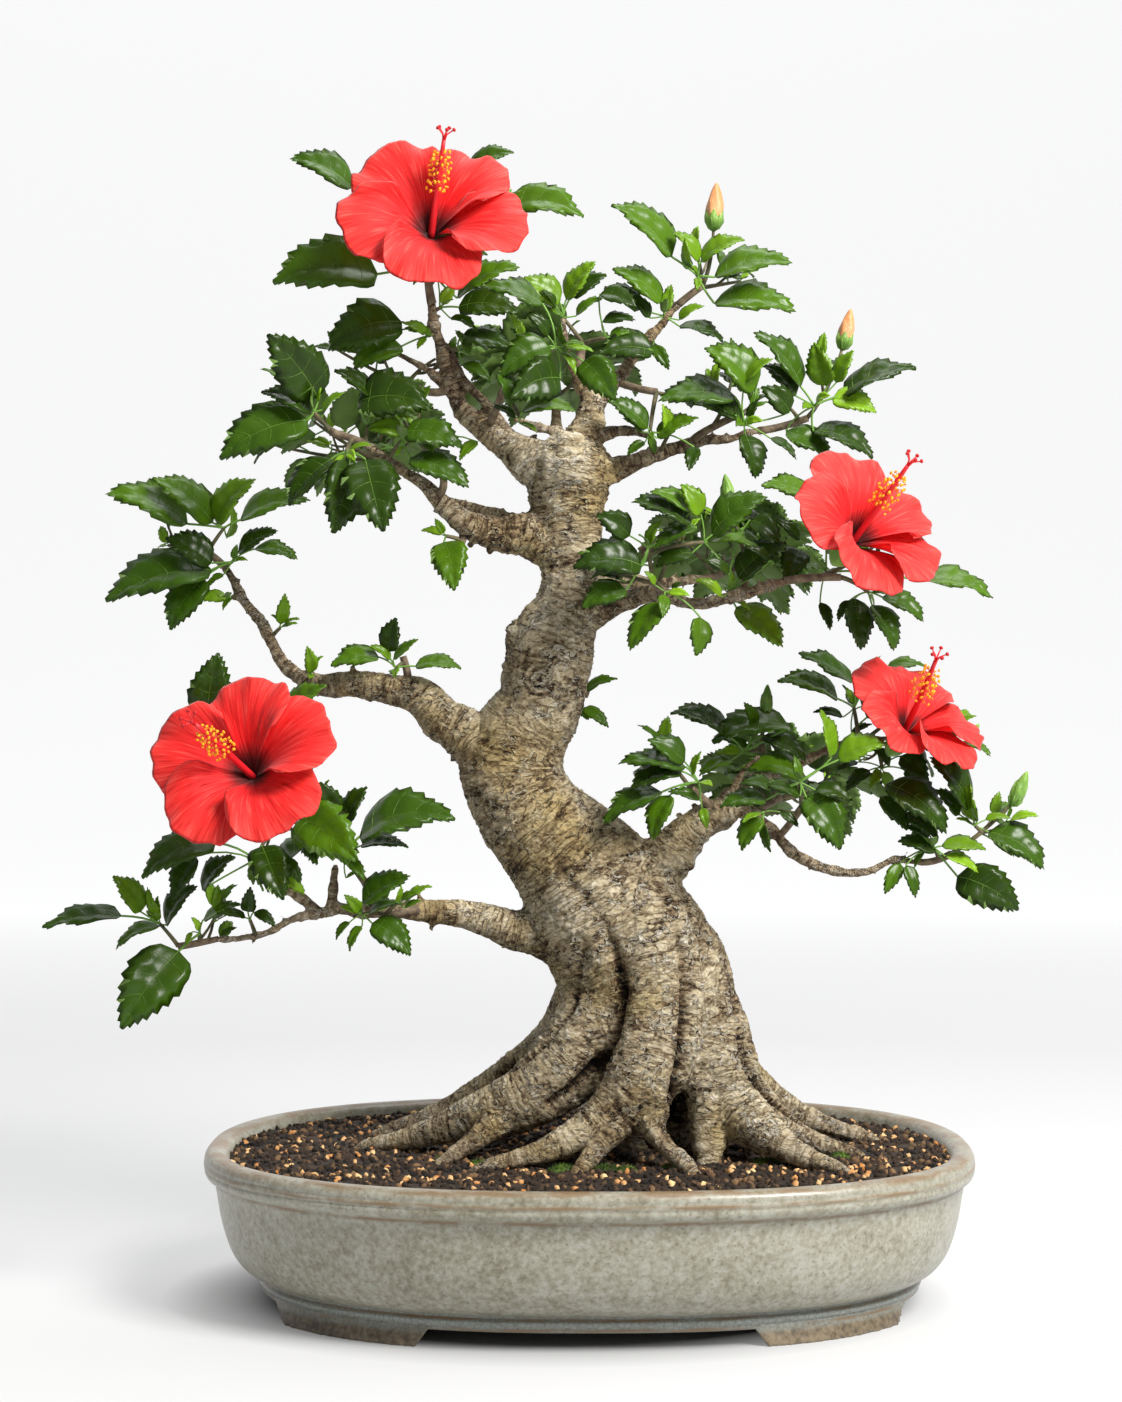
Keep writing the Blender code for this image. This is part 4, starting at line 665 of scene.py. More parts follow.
def smooth_path(knees, spacing):
    """A Catmull-Rom curve through knees of any width, as points about spacing apart."""
    rows = [tuple(2 * a - b for a, b in zip(knees[0], knees[1]))]
    rows += list(knees)
    rows += [tuple(2 * a - b for a, b in zip(knees[-1], knees[-2]))]
    path = []
    for before, start, end, after in zip(rows, rows[1:], rows[2:], rows[3:]):
        steps = max(1, round(math.dist(start[:3], end[:3]) / spacing))
        for step in range(steps):
            path.append(tuple(
                through(a, b, c, d, step / steps) for a, b, c, d in zip(before, start, end, after)
            ))
    path.append(tuple(knees[-1]))
    return path


def ring_faces(rings, sides, closed_ends=True):
    """The faces of a tube of rings, with its two caps."""
    faces = []
    for r in range(rings - 1):
        for k in range(sides):
            j = (k + 1) % sides
            faces.append((r * sides + k, r * sides + j, (r + 1) * sides + j, (r + 1) * sides + k))
    if closed_ends:
        faces.append(tuple(reversed(range(sides))))
        faces.append(tuple((rings - 1) * sides + k for k in range(sides)))
    return faces


def turns(count):
    """The angles of even steps round a full turn."""
    return [2 * math.pi * i / count for i in range(count)]


def sideways(run, turn):
    """The direction at right angles to run that lies a turn round it."""
    return Quaternion(run, turn) @ run.orthogonal().normalized()


def tapered(first, last, steps):
    """The radii of a path that narrows evenly."""
    return [first + (last - first) * i / steps for i in range(steps + 1)]


def tube_rings(points, radii, sides, leave):
    """Rings of points round a path, each turned the least; leave is the way that the first faces."""
    rings = []
    normal = None
    for i, point in enumerate(points):
        ahead = points[min(i + 1, len(points) - 1)] - points[max(i - 1, 0)]
        if i == 0 and leave is not None:
            ahead = leave.copy()
        ahead.normalize()
        if normal is None:
            normal = ahead.orthogonal().normalized()
        normal = (normal - ahead * normal.dot(ahead)).normalized()
        other = ahead.cross(normal)
        rings.append([
            point + radii[i] * (normal * math.cos(turn) + other * math.sin(turn)) for turn in turns(sides)
        ])
    return rings


def add_tube(gathered, points, radii, sides, slot=0, leave=None):
    """A closed tube round a path."""
    rings = tube_rings(points, radii, sides, leave)
    gathered.add([p for ring in rings for p in ring], ring_faces(len(rings), sides), slot)


def dome_faces(rings, sides):
    """The faces of rings of points that one last point closes."""
    last = (rings - 1) * sides
    fan = [(last + k, last + (k + 1) % sides, rings * sides) for k in range(sides)]
    return ring_faces(rings, sides)[:-1] + fan


def tube_tree(points, radii, sides, leave=None):
    """A tube as an obstacle."""
    rings = tube_rings(points, radii, sides, leave)
    return BVHTree.FromPolygons([p for ring in rings for p in ring], ring_faces(len(rings), sides))


def bezier(start, bend, end, t):
    """The point at t of a curve from start to end that bend draws towards itself."""
    return start * (1 - t) ** 2 + bend * 2 * t * (1 - t) + end * t * t


def shoot_path(start, leave, end, steps):
    """A twig that leaves its stem along leave and turns up towards its end."""
    reach = (end - start).length
    bend = start + leave.normalized() * reach * 0.45 + Vector((0, 0, -0.06 * reach))
    return [bezier(start, bend, end, i / steps) for i in range(steps + 1)]


def leaf_frame(heading, lift):
    """A leaf's own axes: along the blade, across it, and out of its upper face."""
    along = heading.normalized()
    upper = (lift - along * lift.dot(along)).normalized()
    return along, along.cross(upper).normalized(), upper


# The faces of the source's simple leaf: three above, six below
LEAF_FACES = [
    (0, 1, 2), (1, 3, 4, 2), (3, 5, 4),
    (0, 2, 6), (2, 4, 6), (4, 5, 6), (5, 3, 6), (3, 1, 6), (1, 0, 6),
]


def leaf_points(start, axes, length):
    """The source's simple leaf, which tests whether there is room for the detailed one."""
    along, across, upper = axes

    def place(share, side, rise):
        edge = start + along * share * length + across * side * length * LEAF_SHAPE / 2
        return edge + upper * rise * length

    return [
        place(0.06, 0.0, 0.0),
        place(0.22, -0.88, 0.010),
        place(0.22, 0.88, 0.010),
        place(0.62, -0.80, -0.030),
        place(0.62, 0.80, -0.030),
        place(0.99, 0.0, -LEAF_DROOP),
        place(0.34, 0.0, -0.010) - upper * LEAF_THICKNESS,
    ]


def from_photo(px, py, depth):
    """The place that a pixel of the photo shows at a depth, measured as the tables are."""
    eye_x, eye_y, eye_z = Vector(CAMERA_PLACE) - POT_MIDDLE
    step = (depth - eye_y) / PHOTO_FOCUS
    return Vector((eye_x + (px - PHOTO_WIDTH / 2) * step, depth, eye_z - (py - PHOTO_HEIGHT / 2) * step))


def outline(share):
    """Half the width of a leaf, against its greatest, at a share of its length: round, then pointed."""
    widest = 0.36
    shape = share ** 0.58 * (1 - share) ** 1.03
    return shape / (widest ** 0.58 * (1 - widest) ** 1.03)


class Blade:
    """One leaf's blade: arched along its midrib, folded on it, puckered between its veins and toothed."""

    def __init__(self, start, axes, length, rows, droop, rng):
        self.start = np.array(start)
        self.along, self.across, self.upper = (np.array(axis) for axis in axes)
        self.rows = rows
        self.bend = rng.uniform(0.45, 1.05)
        self.rise = self.bend / 2 - droop
        self.length = length * (self.bend / 2) / math.sin(self.bend / 2)
        self.width = length * LEAF_SHAPE * rng.uniform(0.90, 1.08)
        if length < 1.4 * YOUNG_LENGTH:
            self.width *= YOUNG_WIDTH
        self.fold = rng.uniform(0.20, 0.52)
        self.ripple = rng.uniform(0.012, 0.030) * length
        self.ripple_start = rng.uniform(0, 2 * math.pi)
        self.sway = rng.uniform(-0.10, 0.10)
        self.sag = 0.34 * self.across[2]

    def surface(self, rows, across):
        """Points and face directions of the upper face, at rows of the grid and ways across, -1 to 1."""
        rows = np.asarray(rows, dtype=float)[:, None]
        out = np.abs(across)[None, :]
        mid = rows / self.rows
        slant = 0.15 * np.sin(np.pi * mid)
        toothed = np.clip((mid - 0.16) / 0.12, 0, 1) * np.clip((0.97 - mid) / 0.05, 0, 1)
        tooth = (rows % 2) * toothed
        share = np.clip(mid + slant * out ** 1.3 + tooth * 0.75 / self.rows * out ** 4, 0, 1)
        half = self.width / 2 * outline(np.clip(mid + slant, 0, 1))
        side = half * out * (1 + (0.13 * tooth - 0.05 * toothed) * out ** 4) * np.sign(across)[None, :]
        turn = self.rise - self.bend * share
        run = self.length * (math.sin(self.rise) - np.sin(turn)) / self.bend
        lift = self.length * (np.cos(turn) - math.cos(self.rise)) / self.bend
        between = 0.5 - 0.5 * np.cos(2 * np.pi * (rows - 3) / VEIN_EVERY)
        pucker = 0.030 * self.length * between * np.sin(np.pi * out ** 0.85) * toothed
        wave = self.ripple * out ** 3 * np.sin(14 * mid + self.ripple_start + np.sign(across)[None, :])
        height = np.abs(side) * self.fold * (1 - 0.55 * out) + pucker + wave
        side = side + (self.sway * share ** 2 + self.sag * share * (1 - share)) * self.length
        normal = -np.sin(turn)[..., None] * self.along + np.cos(turn)[..., None] * self.upper
        points = (
            self.start + run[..., None] * self.along + lift[..., None] * self.upper
            + side[..., None] * self.across + height[..., None] * normal
        )
        return points, normal


# The faces of blades by their number of rows, each worked out once
BLADE_FACES = {}


def blade_faces(rows):
    """The faces of a blade's upper side and of its underside, which shares the edge's points."""
    if rows not in BLADE_FACES:
        wide = len(BLADE_ACROSS)
        under = len(UNDER_ACROSS) - 2
        tip = 1 + (rows - 1) * wide
        top = [[0] * wide]
        top += [[1 + r * wide + c for c in range(wide)] for r in range(rows - 1)]
        top.append([tip] * wide)
        low = [[0] * (under + 2)]
        for r in range(rows - 1):
            inner = [tip + 1 + r * under + c for c in range(under)]
            low.append([top[r + 1][0]] + inner + [top[r + 1][-1]])
        low.append([tip] * (under + 2))

        def quads(grid, flip):
            faces = []
            for near, far in zip(grid, grid[1:]):
                for c in range(len(near) - 1):
                    ring = [near[c], near[c + 1], far[c + 1], far[c]]
                    ring = list(dict.fromkeys(ring))
                    faces.append(tuple(reversed(ring)) if flip else tuple(ring))
            return faces

        BLADE_FACES[rows] = (quads(top, False), quads(low, True))
    return BLADE_FACES[rows]


def add_ridge(gathered, points, normals, widths, heights, slot):
    """A three-sided ridge that tapers along a line of the blade."""
    ahead = np.gradient(points, axis=0)
    ahead /= np.linalg.norm(ahead, axis=1)[:, None]
    side = np.cross(normals, ahead)
    low = points - normals * 0.00008
    rings = np.stack([
        low + side * widths[:, None], low + normals * heights[:, None], low - side * widths[:, None]
    ], axis=1)
    gathered.add(rings.reshape(-1, 3), ring_faces(len(points), 3), slot)


def add_leaf(leaves, stalks, leaf, tint, rng):
    """A leaf with its stalk: blade, underside, midrib and side veins."""
    base, start, axes, length, droop = leaf
    rows = BLADE_ROWS if length > SMALL_BLADE else SMALL_BLADE_ROWS
    blade = Blade(start, axes, length, rows, droop, rng)
    inner = np.arange(1, rows)
    upper, _ = blade.surface(inner, BLADE_ACROSS)
    under, under_normal = blade.surface(inner, UNDER_ACROSS[1:-1])
    tip, _ = blade.surface([rows], np.array([0.0]))
    thick = max(LEAF_THICKNESS, length * 0.012)
    points = np.concatenate([
        np.array(start)[None, :], upper.reshape(-1, 3), tip.reshape(-1, 3),
        (under - under_normal * thick).reshape(-1, 3),
    ])
    top_faces, under_faces = blade_faces(rows)
    first = leaves.count
    leaves.add(points, top_faces, tint)
    for face in under_faces:
        leaves.faces.append(tuple(i + first for i in face))
    leaves.slots += [UNDERSIDE_SLOT] * len(under_faces)
    fine = length / 0.04
    spine = np.concatenate([[0.02], np.arange(1, rows - 1)])
    ridge, out = blade.surface(spine, np.array([0.0]))
    taper = np.linspace(1.0, 0.15, len(spine))
    add_ridge(leaves, ridge[:, 0], out[:, 0], 0.00052 * fine * taper, 0.00042 * fine * taper, VEIN_SLOT)
    reach = np.array([0.0, 0.22, 0.45, 0.70, 0.93])
    taper = np.linspace(1.0, 0.2, len(reach))
    for row in range(3, rows - 2, VEIN_EVERY):
        for side in (-1, 1):
            ridge, out = blade.surface([row], reach * side)
            fade = 1 - 0.5 * row / rows
            widths = 0.00034 * fine * fade * taper
            add_ridge(leaves, ridge[0], out[0], widths, 0.8 * widths, VEIN_SLOT)
    girth = STALK_RADIUS * (0.55 + 0.5 * fine)
    sag = base.lerp(start, 0.55) - axes[0] * 0.30 * (start - base).length * (1 if droop else 0.5)
    sag += Vector((0, 0, 0.06)) * (start - base).length
    line = [bezier(base, sag, start, i / 4) for i in range(5)] + [start + axes[0] * 0.02 * length]
    add_tube(stalks, line, [girth * 1.25] + [girth] * 4 + [0.6 * girth], 5)


class Room:
    """The space a mass keeps to: its ellipsoid, and its own side of the planes between masses."""

    def __init__(self, name):
        mass = MASSES[name]
        self.middle = Vector(mass["middle"])
        self.half = Vector(mass["half"])
        self.planes = []
        for other_name, other in MASSES.items():
            if other_name == name:
                continue
            way = Vector(other["middle"]) - self.middle
            span = way.length
            way.normalize()
            mine = self.reach(self.half, way)
            theirs = self.reach(Vector(other["half"]), way)
            if mine + theirs > span:
                self.planes.append((self.middle + way * span * mine / (mine + theirs), way))

    @staticmethod
    def reach(half, way):
        """How far an ellipsoid reaches along a direction."""
        return math.sqrt(sum((h * w) ** 2 for h, w in zip(half, way)))

    def holds(self, points, share=1.0):
        """Whether all points lie in the space, or in a share of it."""
        for point in points:
            off = point - self.middle
            if sum((o / h) ** 2 for o, h in zip(off, self.half)) > share * share:
                return False
            if any((point - spot).dot(way) > -GAP for spot, way in self.planes):
                return False
        return True


def knees_of(limb):
    """The knees of the trunk or of a bough."""
    return TRUNK if limb == "trunk" else BOUGHS[limb][1]


def point_along(path, along):
    """The place, direction and radius at a share of a path."""
    index = max(1, round(along * (len(path) - 1)))
    here, back = Vector(path[index][:3]), Vector(path[index - 1][:3])
    return here, (here - back).normalized(), path[index][3]


def stem_start(mass, surface):
    """Where a mass's stem leaves its limb: at the tip, or out of its side."""
    knees = knees_of(mass["limb"])
    if mass["along"] >= 1.0:
        here, run, radius = point_along(smooth_path(knees, BOUGH_STEP), 1.0)
        return here + run * GAP, run, radius * 0.80
    here, run, radius = point_along(smooth_path(knees, 0.002), mass["along"])
    side = Vector(mass["side"]) if "side" in mass else Vector(mass["middle"]) - here
    side -= run * side.dot(run)
    side.normalize()
    far = here + side * (radius + 0.03)
    hit, normal, _, _ = surface.ray_cast(far, -side)
    return hit + normal * GAP * 1.2, normal, min(0.45 * radius, 0.0024)


def hub_of(start, leave, room):
    """Where a mass's stem ends, low in its space and not too near the limb."""
    way = (room.middle - start) * 0.62 + Vector((0, 0, -0.10 * room.half.z))
    return start + way + leave * max(0.0, STEM_LENGTH - way.length)


def shoot_targets(mass, room, rng):
    """Ends of the shoots, spread evenly over the upper part of the mass's space."""
    count = mass["shoots"]
    first = rng.uniform(0, 2 * math.pi)
    targets = []
    for i in range(count):
        rise = -0.30 + 1.05 * (i + 0.5) / count
        turn = first + i * GOLDEN_ANGLE
        flat = math.sqrt(1 - rise * rise)
        way = Vector((math.cos(turn) * flat, math.sin(turn) * flat, rise))
        stretch = rng.uniform(0.42, 0.58)
        targets.append(room.middle + Vector(h * w * stretch for h, w in zip(room.half, way)))
    return targets


def on_path(points, share):
    """The place and the direction at a share of a path."""
    where = share * (len(points) - 1)
    index = min(int(where), len(points) - 2)
    here = points[index].lerp(points[index + 1], where - index)
    return here, (points[index + 1] - points[index]).normalized()


def hidden(point, screen):
    """Whether what the photo shows lies between a place and the camera."""
    way = (Vector(CAMERA_PLACE) - POT_MIDDLE - point).normalized()
    return screen.ray_cast(point + way * 0.001, way)[0] is not None


class Growth:
    """One mass as it grows: stem, shoots, finer side twigs and leaves, each kept clear of the rest."""

    def __init__(self, name, surfaces, limbs_tree, others):
        self.name = name
        self.mass = MASSES[name]
        self.rng = random.Random(self.mass["seed"])
        self.fine = random.Random(self.mass["seed"] + 1000)
        self.room = Room(name)
        start, self.leave, girth = stem_start(self.mass, surfaces[self.mass["limb"]])
        self.hub = hub_of(start, self.leave, self.room)
        self.stem = shoot_path(start - self.leave * 0.004, self.leave, self.hub, 6)
        self.stem_radii = tapered(girth, STEM_RADIUS, 6)
        self.obstacles = [limbs_tree] + others
        self.wood = [tube_tree(self.stem[1:], self.stem_radii[1:], 4, self.leave)]
        self.twigs = []
        self.side_twigs = []
        self.leaves = []
        self.shown = []

    def meets(self, tree):
        """Whether a shape touches what its mass has to keep clear of."""
        return any(tree.overlap(other) for other in self.obstacles)

    def add_twig(self, end, root=None, end_radius=SHOOT_TIP_RADIUS):
        """A twig from the outer half of the stem to its end, unless something is in its way."""
        root_at = self.rng.uniform(0.10, 0.92) if root is None else root
        base, _ = on_path(self.stem, 0.5 + 0.5 * root_at)
        way = (self.stem[-1] - self.stem[3]).normalized()
        points = shoot_path(base, (end - base).normalized() + 0.35 * way, end, 6)
        radii = tapered(SHOOT_RADIUS, end_radius, 6)
        tree = tube_tree(points, radii, 3)
        if self.meets(tree):
            return
        self.twigs.append((points, radii))
        self.wood.append(tree)

    def covered(self, point):
        """Whether what the photo shows of the mass hides a place, where it shows any of it."""
        return self.name not in ROSETTES or hidden(point, self.screen)

    def add_side_twig(self, points, share):
        """A short twig out of another one, where the mass has room for it."""
        base, run = on_path(points, share)
        side = sideways(run, self.fine.uniform(0, 2 * math.pi))
        way = (run * 0.7 + side * 0.8 + Vector((0, -0.2, 0.35))).normalized()
        end = base + way * self.fine.uniform(0.012, 0.020)
        if not self.room.holds([end], 0.85) or not self.covered(end):
            return
        line = shoot_path(base, side + run, end, 4)
        radii = tapered(*SIDE_TWIG_RADII, 4)
        tree = tube_tree(line, radii, 3)
        if self.meets(tree):
            return
        self.side_twigs.append((line, radii))

    def try_leaf(self, base, heading, lift, length, stalk, tint):
        """A leaf of the rule's own, in its mass's space, clear of the rest, behind what the photo shows."""
        axes = leaf_frame(heading, lift)
        start = base + axes[0] * stalk
        points = leaf_points(start, axes, length)
        if not self.room.holds(points):
            return False
        if sum(hidden(point, self.screen) for point in points[:6]) < self.cover:
            return False
        blade = BVHTree.FromPolygons(points, LEAF_FACES)
        if any(blade.overlap(wood) for wood in self.wood) or self.meets(blade):
            return False
        self.obstacles.append(blade)
        self.leaves.append(((base, start, axes, length, LEAF_DROOP), tint))
        return True

    def add_shown_leaf(self, centre, leaf):
        """A leaf that the photo shows, from the pixels of its foot and tip and how wide it looks."""
        foot_x, foot_y, tip_x, tip_y, look = leaf[:5]
        look *= SEEN_WIDTH
        tint = leaf[5] if len(leaf) > 5 else self.fine.choice((0, 0, 1, 1, 2))
        flip = self.fine.choice((1, -1))
        best = None
        for shift in LEAF_SHIFTS:
            start = from_photo(foot_x, foot_y, centre.y + shift)
            tip = from_photo(tip_x, tip_y, centre.y + shift)
            span = (tip - start).length
            lean = span * math.sqrt(max(0.03, (look / 0.62) ** 2 - 1))
            tip = from_photo(tip_x, tip_y, centre.y + shift - min(lean, 0.030))
            way = tip - start
            towards = (Vector(CAMERA_PLACE) - POT_MIDDLE - start).normalized()
            turn = math.acos(max(0.34, min(1.0, look / 0.62)))
            side = way.cross(towards).normalized()
            if abs(side.z) > 0.35:
                side *= math.copysign(1, side.z)
            else:
                side *= flip
            lift = towards * math.cos(turn) + side * math.sin(turn)
            axes = leaf_frame(way, lift)
            points = leaf_points(start, axes, way.length)
            blade = BVHTree.FromPolygons(points, LEAF_FACES)
            clash = sum(bool(blade.overlap(other)) for other in self.obstacles)
            if best is None or clash < best[0]:
                best = (clash, start, axes, way.length, points, blade)
            if not clash:
                break
        _, start, axes, length, points, blade = best
        self.obstacles.append(blade)
        self.shown += [(points, LEAF_FACES[:3])]
        self.leaves.append(((centre, start, axes, length, 0.0), tint))

    def add_rosettes(self):
        """The twigs to the rosettes that the photo shows, and their leaves."""
        for px, py, behind, leaves in ROSETTES.get(self.name, ()):
            centre = from_photo(px, py, self.room.middle.y + behind / 1000)
            limb = [Vector(p[:3]) for p in smooth_path(knees_of(self.mass["limb"]), 0.004)]
            seats = self.stem[2:] + [p for points, _ in self.twigs for p in points[1:]] + limb
            root = min(seats, key=lambda seat: (seat - centre).length)
            way = (centre - root).normalized() * 0.7 + Vector((0, 0, 0.25))
            line = shoot_path(root, way, centre, 6)
            radii = tapered(SHOOT_RADIUS, ROSETTE_TIP_RADIUS, 6)
            self.twigs.append((line, radii))
            self.wood.append(tube_tree(line, radii, 3))
            for leaf in leaves:
                self.add_shown_leaf(centre, leaf)
            self.add_young(line)

    def add_leaf_row(self, points, count, first, last, length, ages):
        """Leaves along a twig, each turned by the golden angle until it finds room."""
        turn = self.fine.uniform(0, 2 * math.pi)
        for k in range(count):
            share = first + (last - first) * k / max(1, count - 1)
            base, run = on_path(points, share)
            outward = (base - self.room.middle).normalized()
            size = length * self.fine.uniform(0.72, 1.20) * (1 - 0.20 * share)
            face_y = -0.75 if base.y < 0.04 else 0.75
            for attempt in range(LEAF_TRIES):
                turn += GOLDEN_ANGLE
                side = sideways(run, turn)
                stray = Vector(self.fine.uniform(-0.40, 0.40) for _ in range(3))
                facing = (Vector((4 * base.x, face_y, 0.95)) + stray).normalized()
                heading = run * 0.30 + side * 0.85 + outward * 0.35 + Vector((0, 0, -0.18))
                heading -= facing * heading.dot(facing) * 0.70
                smaller = size * (1 - 0.05 * attempt)
                stalk = STALK_LENGTH * smaller / LEAF_LENGTH
                if self.try_leaf(base, heading, facing, smaller, stalk, self.fine.choice(ages)):
                    break

    def add_young(self, points):
        """The small bright leaves round the growing tip of a twig."""
        end, run = on_path(points, 1.0)
        turn = self.fine.uniform(0, 2 * math.pi)
        for _ in range(YOUNG_LEAVES):
            turn += GOLDEN_ANGLE
            side = sideways(run, turn)
            heading = run * 0.9 + side * 0.55 + Vector((0, 0, 0.35))
            lift = Vector((0, -0.7, 0.5)) - side * 0.5
            length = YOUNG_LENGTH * self.fine.uniform(0.6, 1.3)
            axes = leaf_frame(heading, lift)
            start = end + axes[0] * 0.002
            blade = BVHTree.FromPolygons(leaf_points(start, axes, length), LEAF_FACES)
            if not self.meets(blade):
                leaf = (end - run * 0.001, start, axes, length, LEAF_DROOP)
                self.leaves.append((leaf, self.fine.choice((2, 3, 4))))

    def show(self):
        """What the photo shows of the mass: the stalks of its bloom and buds, and its rosettes."""
        if self.name in BLOOMS:
            bloom = BLOOMS[self.name]
            facing = Vector(bloom["facing"])
            back = Vector(bloom["throat"]) - facing.normalized() * bloom["radius"] * 0.40
            self.obstacles += bloom_trees(bloom)
            self.add_twig(back + facing * 0.004, root=0.95, end_radius=SHOOT_RADIUS)
        for owner, tip, length in BUDS:
            if owner == self.name:
                rise, base = bud_axis(tip, length, self.hub)
                self.add_twig(base + rise * 0.003, root=0.95)
                self.obstacles.append(tube_tree([base, Vector(tip)], [0.2 * length, 0.1 * length], 5))
        self.add_rosettes()

    def fill(self, screen):
        """The rest of the mass by the rule, behind what the photo shows of it."""
        self.screen = screen
        self.cover = 6 if self.name in ROSETTES else 3
        grown = len(self.twigs)
        for target in shoot_targets(self.mass, self.room, self.rng):
            if self.covered(target):
                self.add_twig(target)
        for points, _ in list(self.twigs):
            self.add_leaf_row(points, *SHOOT_LEAVES)
        for points, _ in list(self.twigs):
            for share in SIDE_TWIG_SHARES:
                self.add_side_twig(points, share)
        for points, _ in self.side_twigs:
            self.add_leaf_row(points, *SIDE_TWIG_LEAVES)
        for points, _ in self.twigs[grown:] + self.side_twigs:
            if self.covered(points[-1]):
                self.add_young(points)


def bud_axis(tip, length, hub):
    """The way a bud points, and where it sits on its stalk."""
    rise = ((Vector(tip) - hub).normalized() + Vector((0, 0, 0.8))).normalized()
    return rise, Vector(tip) - rise * length


def stem_tree(name, surfaces):
    """The stem of a mass as an obstacle for the leaves of the others."""
    mass = MASSES[name]
    start, leave, girth = stem_start(mass, surfaces[mass["limb"]])
    hub = hub_of(start, leave, Room(name))
    return tube_tree(shoot_path(start, leave, hub, 2), [girth + GAP] * 3, 4, leave)


def bloom_axes(bloom):
    """A bloom's throat, the way it faces, and the two directions across it."""
    facing = Vector(bloom["facing"]).normalized()
    side = facing.cross(Vector((0, 0, 1))).normalized()
    return Vector(bloom["throat"]), facing, side, side.cross(facing)


def bloom_trees(bloom):
    """A plain funnel, column and calyx that keep leaves off a bloom."""
    throat, facing, side, up = bloom_axes(bloom)
    radius = bloom["radius"]
    rings = []
    for share, depth in ((0.07, -0.02), (0.45, 0.32), (1.0, 0.40)):
        middle = throat + facing * depth * radius
        rings += [
            middle + (side * math.cos(turn) + up * math.sin(turn)) * radius * share
            for turn in turns(BLOOM_SIDES)
        ]
    funnel = BVHTree.FromPolygons(rings, ring_faces(3, BLOOM_SIDES, closed_ends=False))
    column = Vector(bloom["column"]).normalized() * COLUMN_LENGTH
    centre = tube_tree([throat, throat + column], [0.003, 0.003], 4)
    calyx = tube_tree([throat - facing * radius * 0.4, throat], [0.005, 0.007], 5)
    return [funnel, centre, calyx]


# The bark: the voxels that fuse its limbs, and the rounds of smoothing after them
TRUNK_VOXEL = 0.00154
BOUGH_VOXEL = 0.00112
BARK_SMOOTHING = 4
# The limbs before they fuse: the step along them, the points round them, and the steps of a collar
LIMB_STEP = 0.003
LIMB_SIDES = 24
COLLAR_STEPS = 12
# The trunk's buried foot with its step, and the height at which the roots end below the soil's top
TRUNK_FOOT = (0.030, 0.018, 0.070, 0.022)
TRUNK_STEP = 0.004
ROOT_END = 0.069
# How thick a core is against its limb with bark and stubs: of a thin bough, and of a stout one
CORE_SHARE = 0.80
STOUT_SHARE = 1.02
# The same for boughs that the photo shows slimmer
SLIM_BOUGHS = {"bough_upper_right": 0.70, "bough_right": 0.78, "bough_back_left": 0.62}
# Older twigs that the photo shows bare: pixels, depth and radius in mm
BARE_TWIGS = [
    [(512, 440, -3, 4.2), (486, 404, -6, 3.2), (464, 380, -8, 2.6), (451, 350, -8, 2.0)],
    [(575, 446, 0, 4.0), (552, 431, -4, 3.4), (530, 425, -6, 2.8), (514, 418, -8, 1.8)],
    [(590, 446, -6, 4.0), (606, 433, -9, 3.6), (632, 431, -11, 3.0), (652, 438, -12, 1.8)],
    [(450, 394, -4, 3.0), (430, 372, -7, 2.6), (410, 360, -8, 2.2), (394, 352, -8, 1.4)],
    [(594, 398, 4, 4.0), (574, 372, 3, 2.8), (566, 345, 2, 2.2), (563, 318, 2, 1.5)],
    [(640, 552, -28, 3.4), (665, 540, -32, 2.6), (684, 520, -34, 2.0), (700, 498, -36, 1.4)],
    [(716, 812, -8, 3.6), (732, 792, -12, 2.8), (744, 770, -14, 2.0), (760, 756, -16, 1.4)],
    [(330, 912, -35, 3.4), (333, 894, -35, 3.0), (334, 878, -36, 2.6), (336, 864, -37, 1.8)],
    [(320, 914, -36, 3.4), (304, 900, -38, 3.0), (291, 893, -40, 2.4), (281, 886, -42, 1.4)],
]
# Knots and burls as place, radius, height and the number of rings round them
KNOTS = [
    ((-0.0270, -0.0235, 0.3345), 0.0185, 0.0022, 5),
    ((-0.0430, -0.004, 0.3590), 0.0110, 0.0040, 0),
    ((-0.0640, -0.004, 0.2830), 0.0110, 0.0040, 0),
    ((-0.0560, -0.010, 0.2660), 0.0090, 0.0028, 0),
    ((0.0080, -0.0330, 0.2120), 0.0160, 0.0016, 0),
    ((0.0700, -0.014, 0.2330), 0.0120, 0.0026, 0),
    ((-0.0050, -0.0210, 0.4480), 0.0120, 0.0020, 0),
    ((0.0135, -0.006, 0.4420), 0.0080, 0.0024, 0),
    ((-0.0290, -0.008, 0.4330), 0.0070, 0.0020, 0),
    ((-0.0240, -0.006, 0.3930), 0.0080, 0.0018, 0),
]


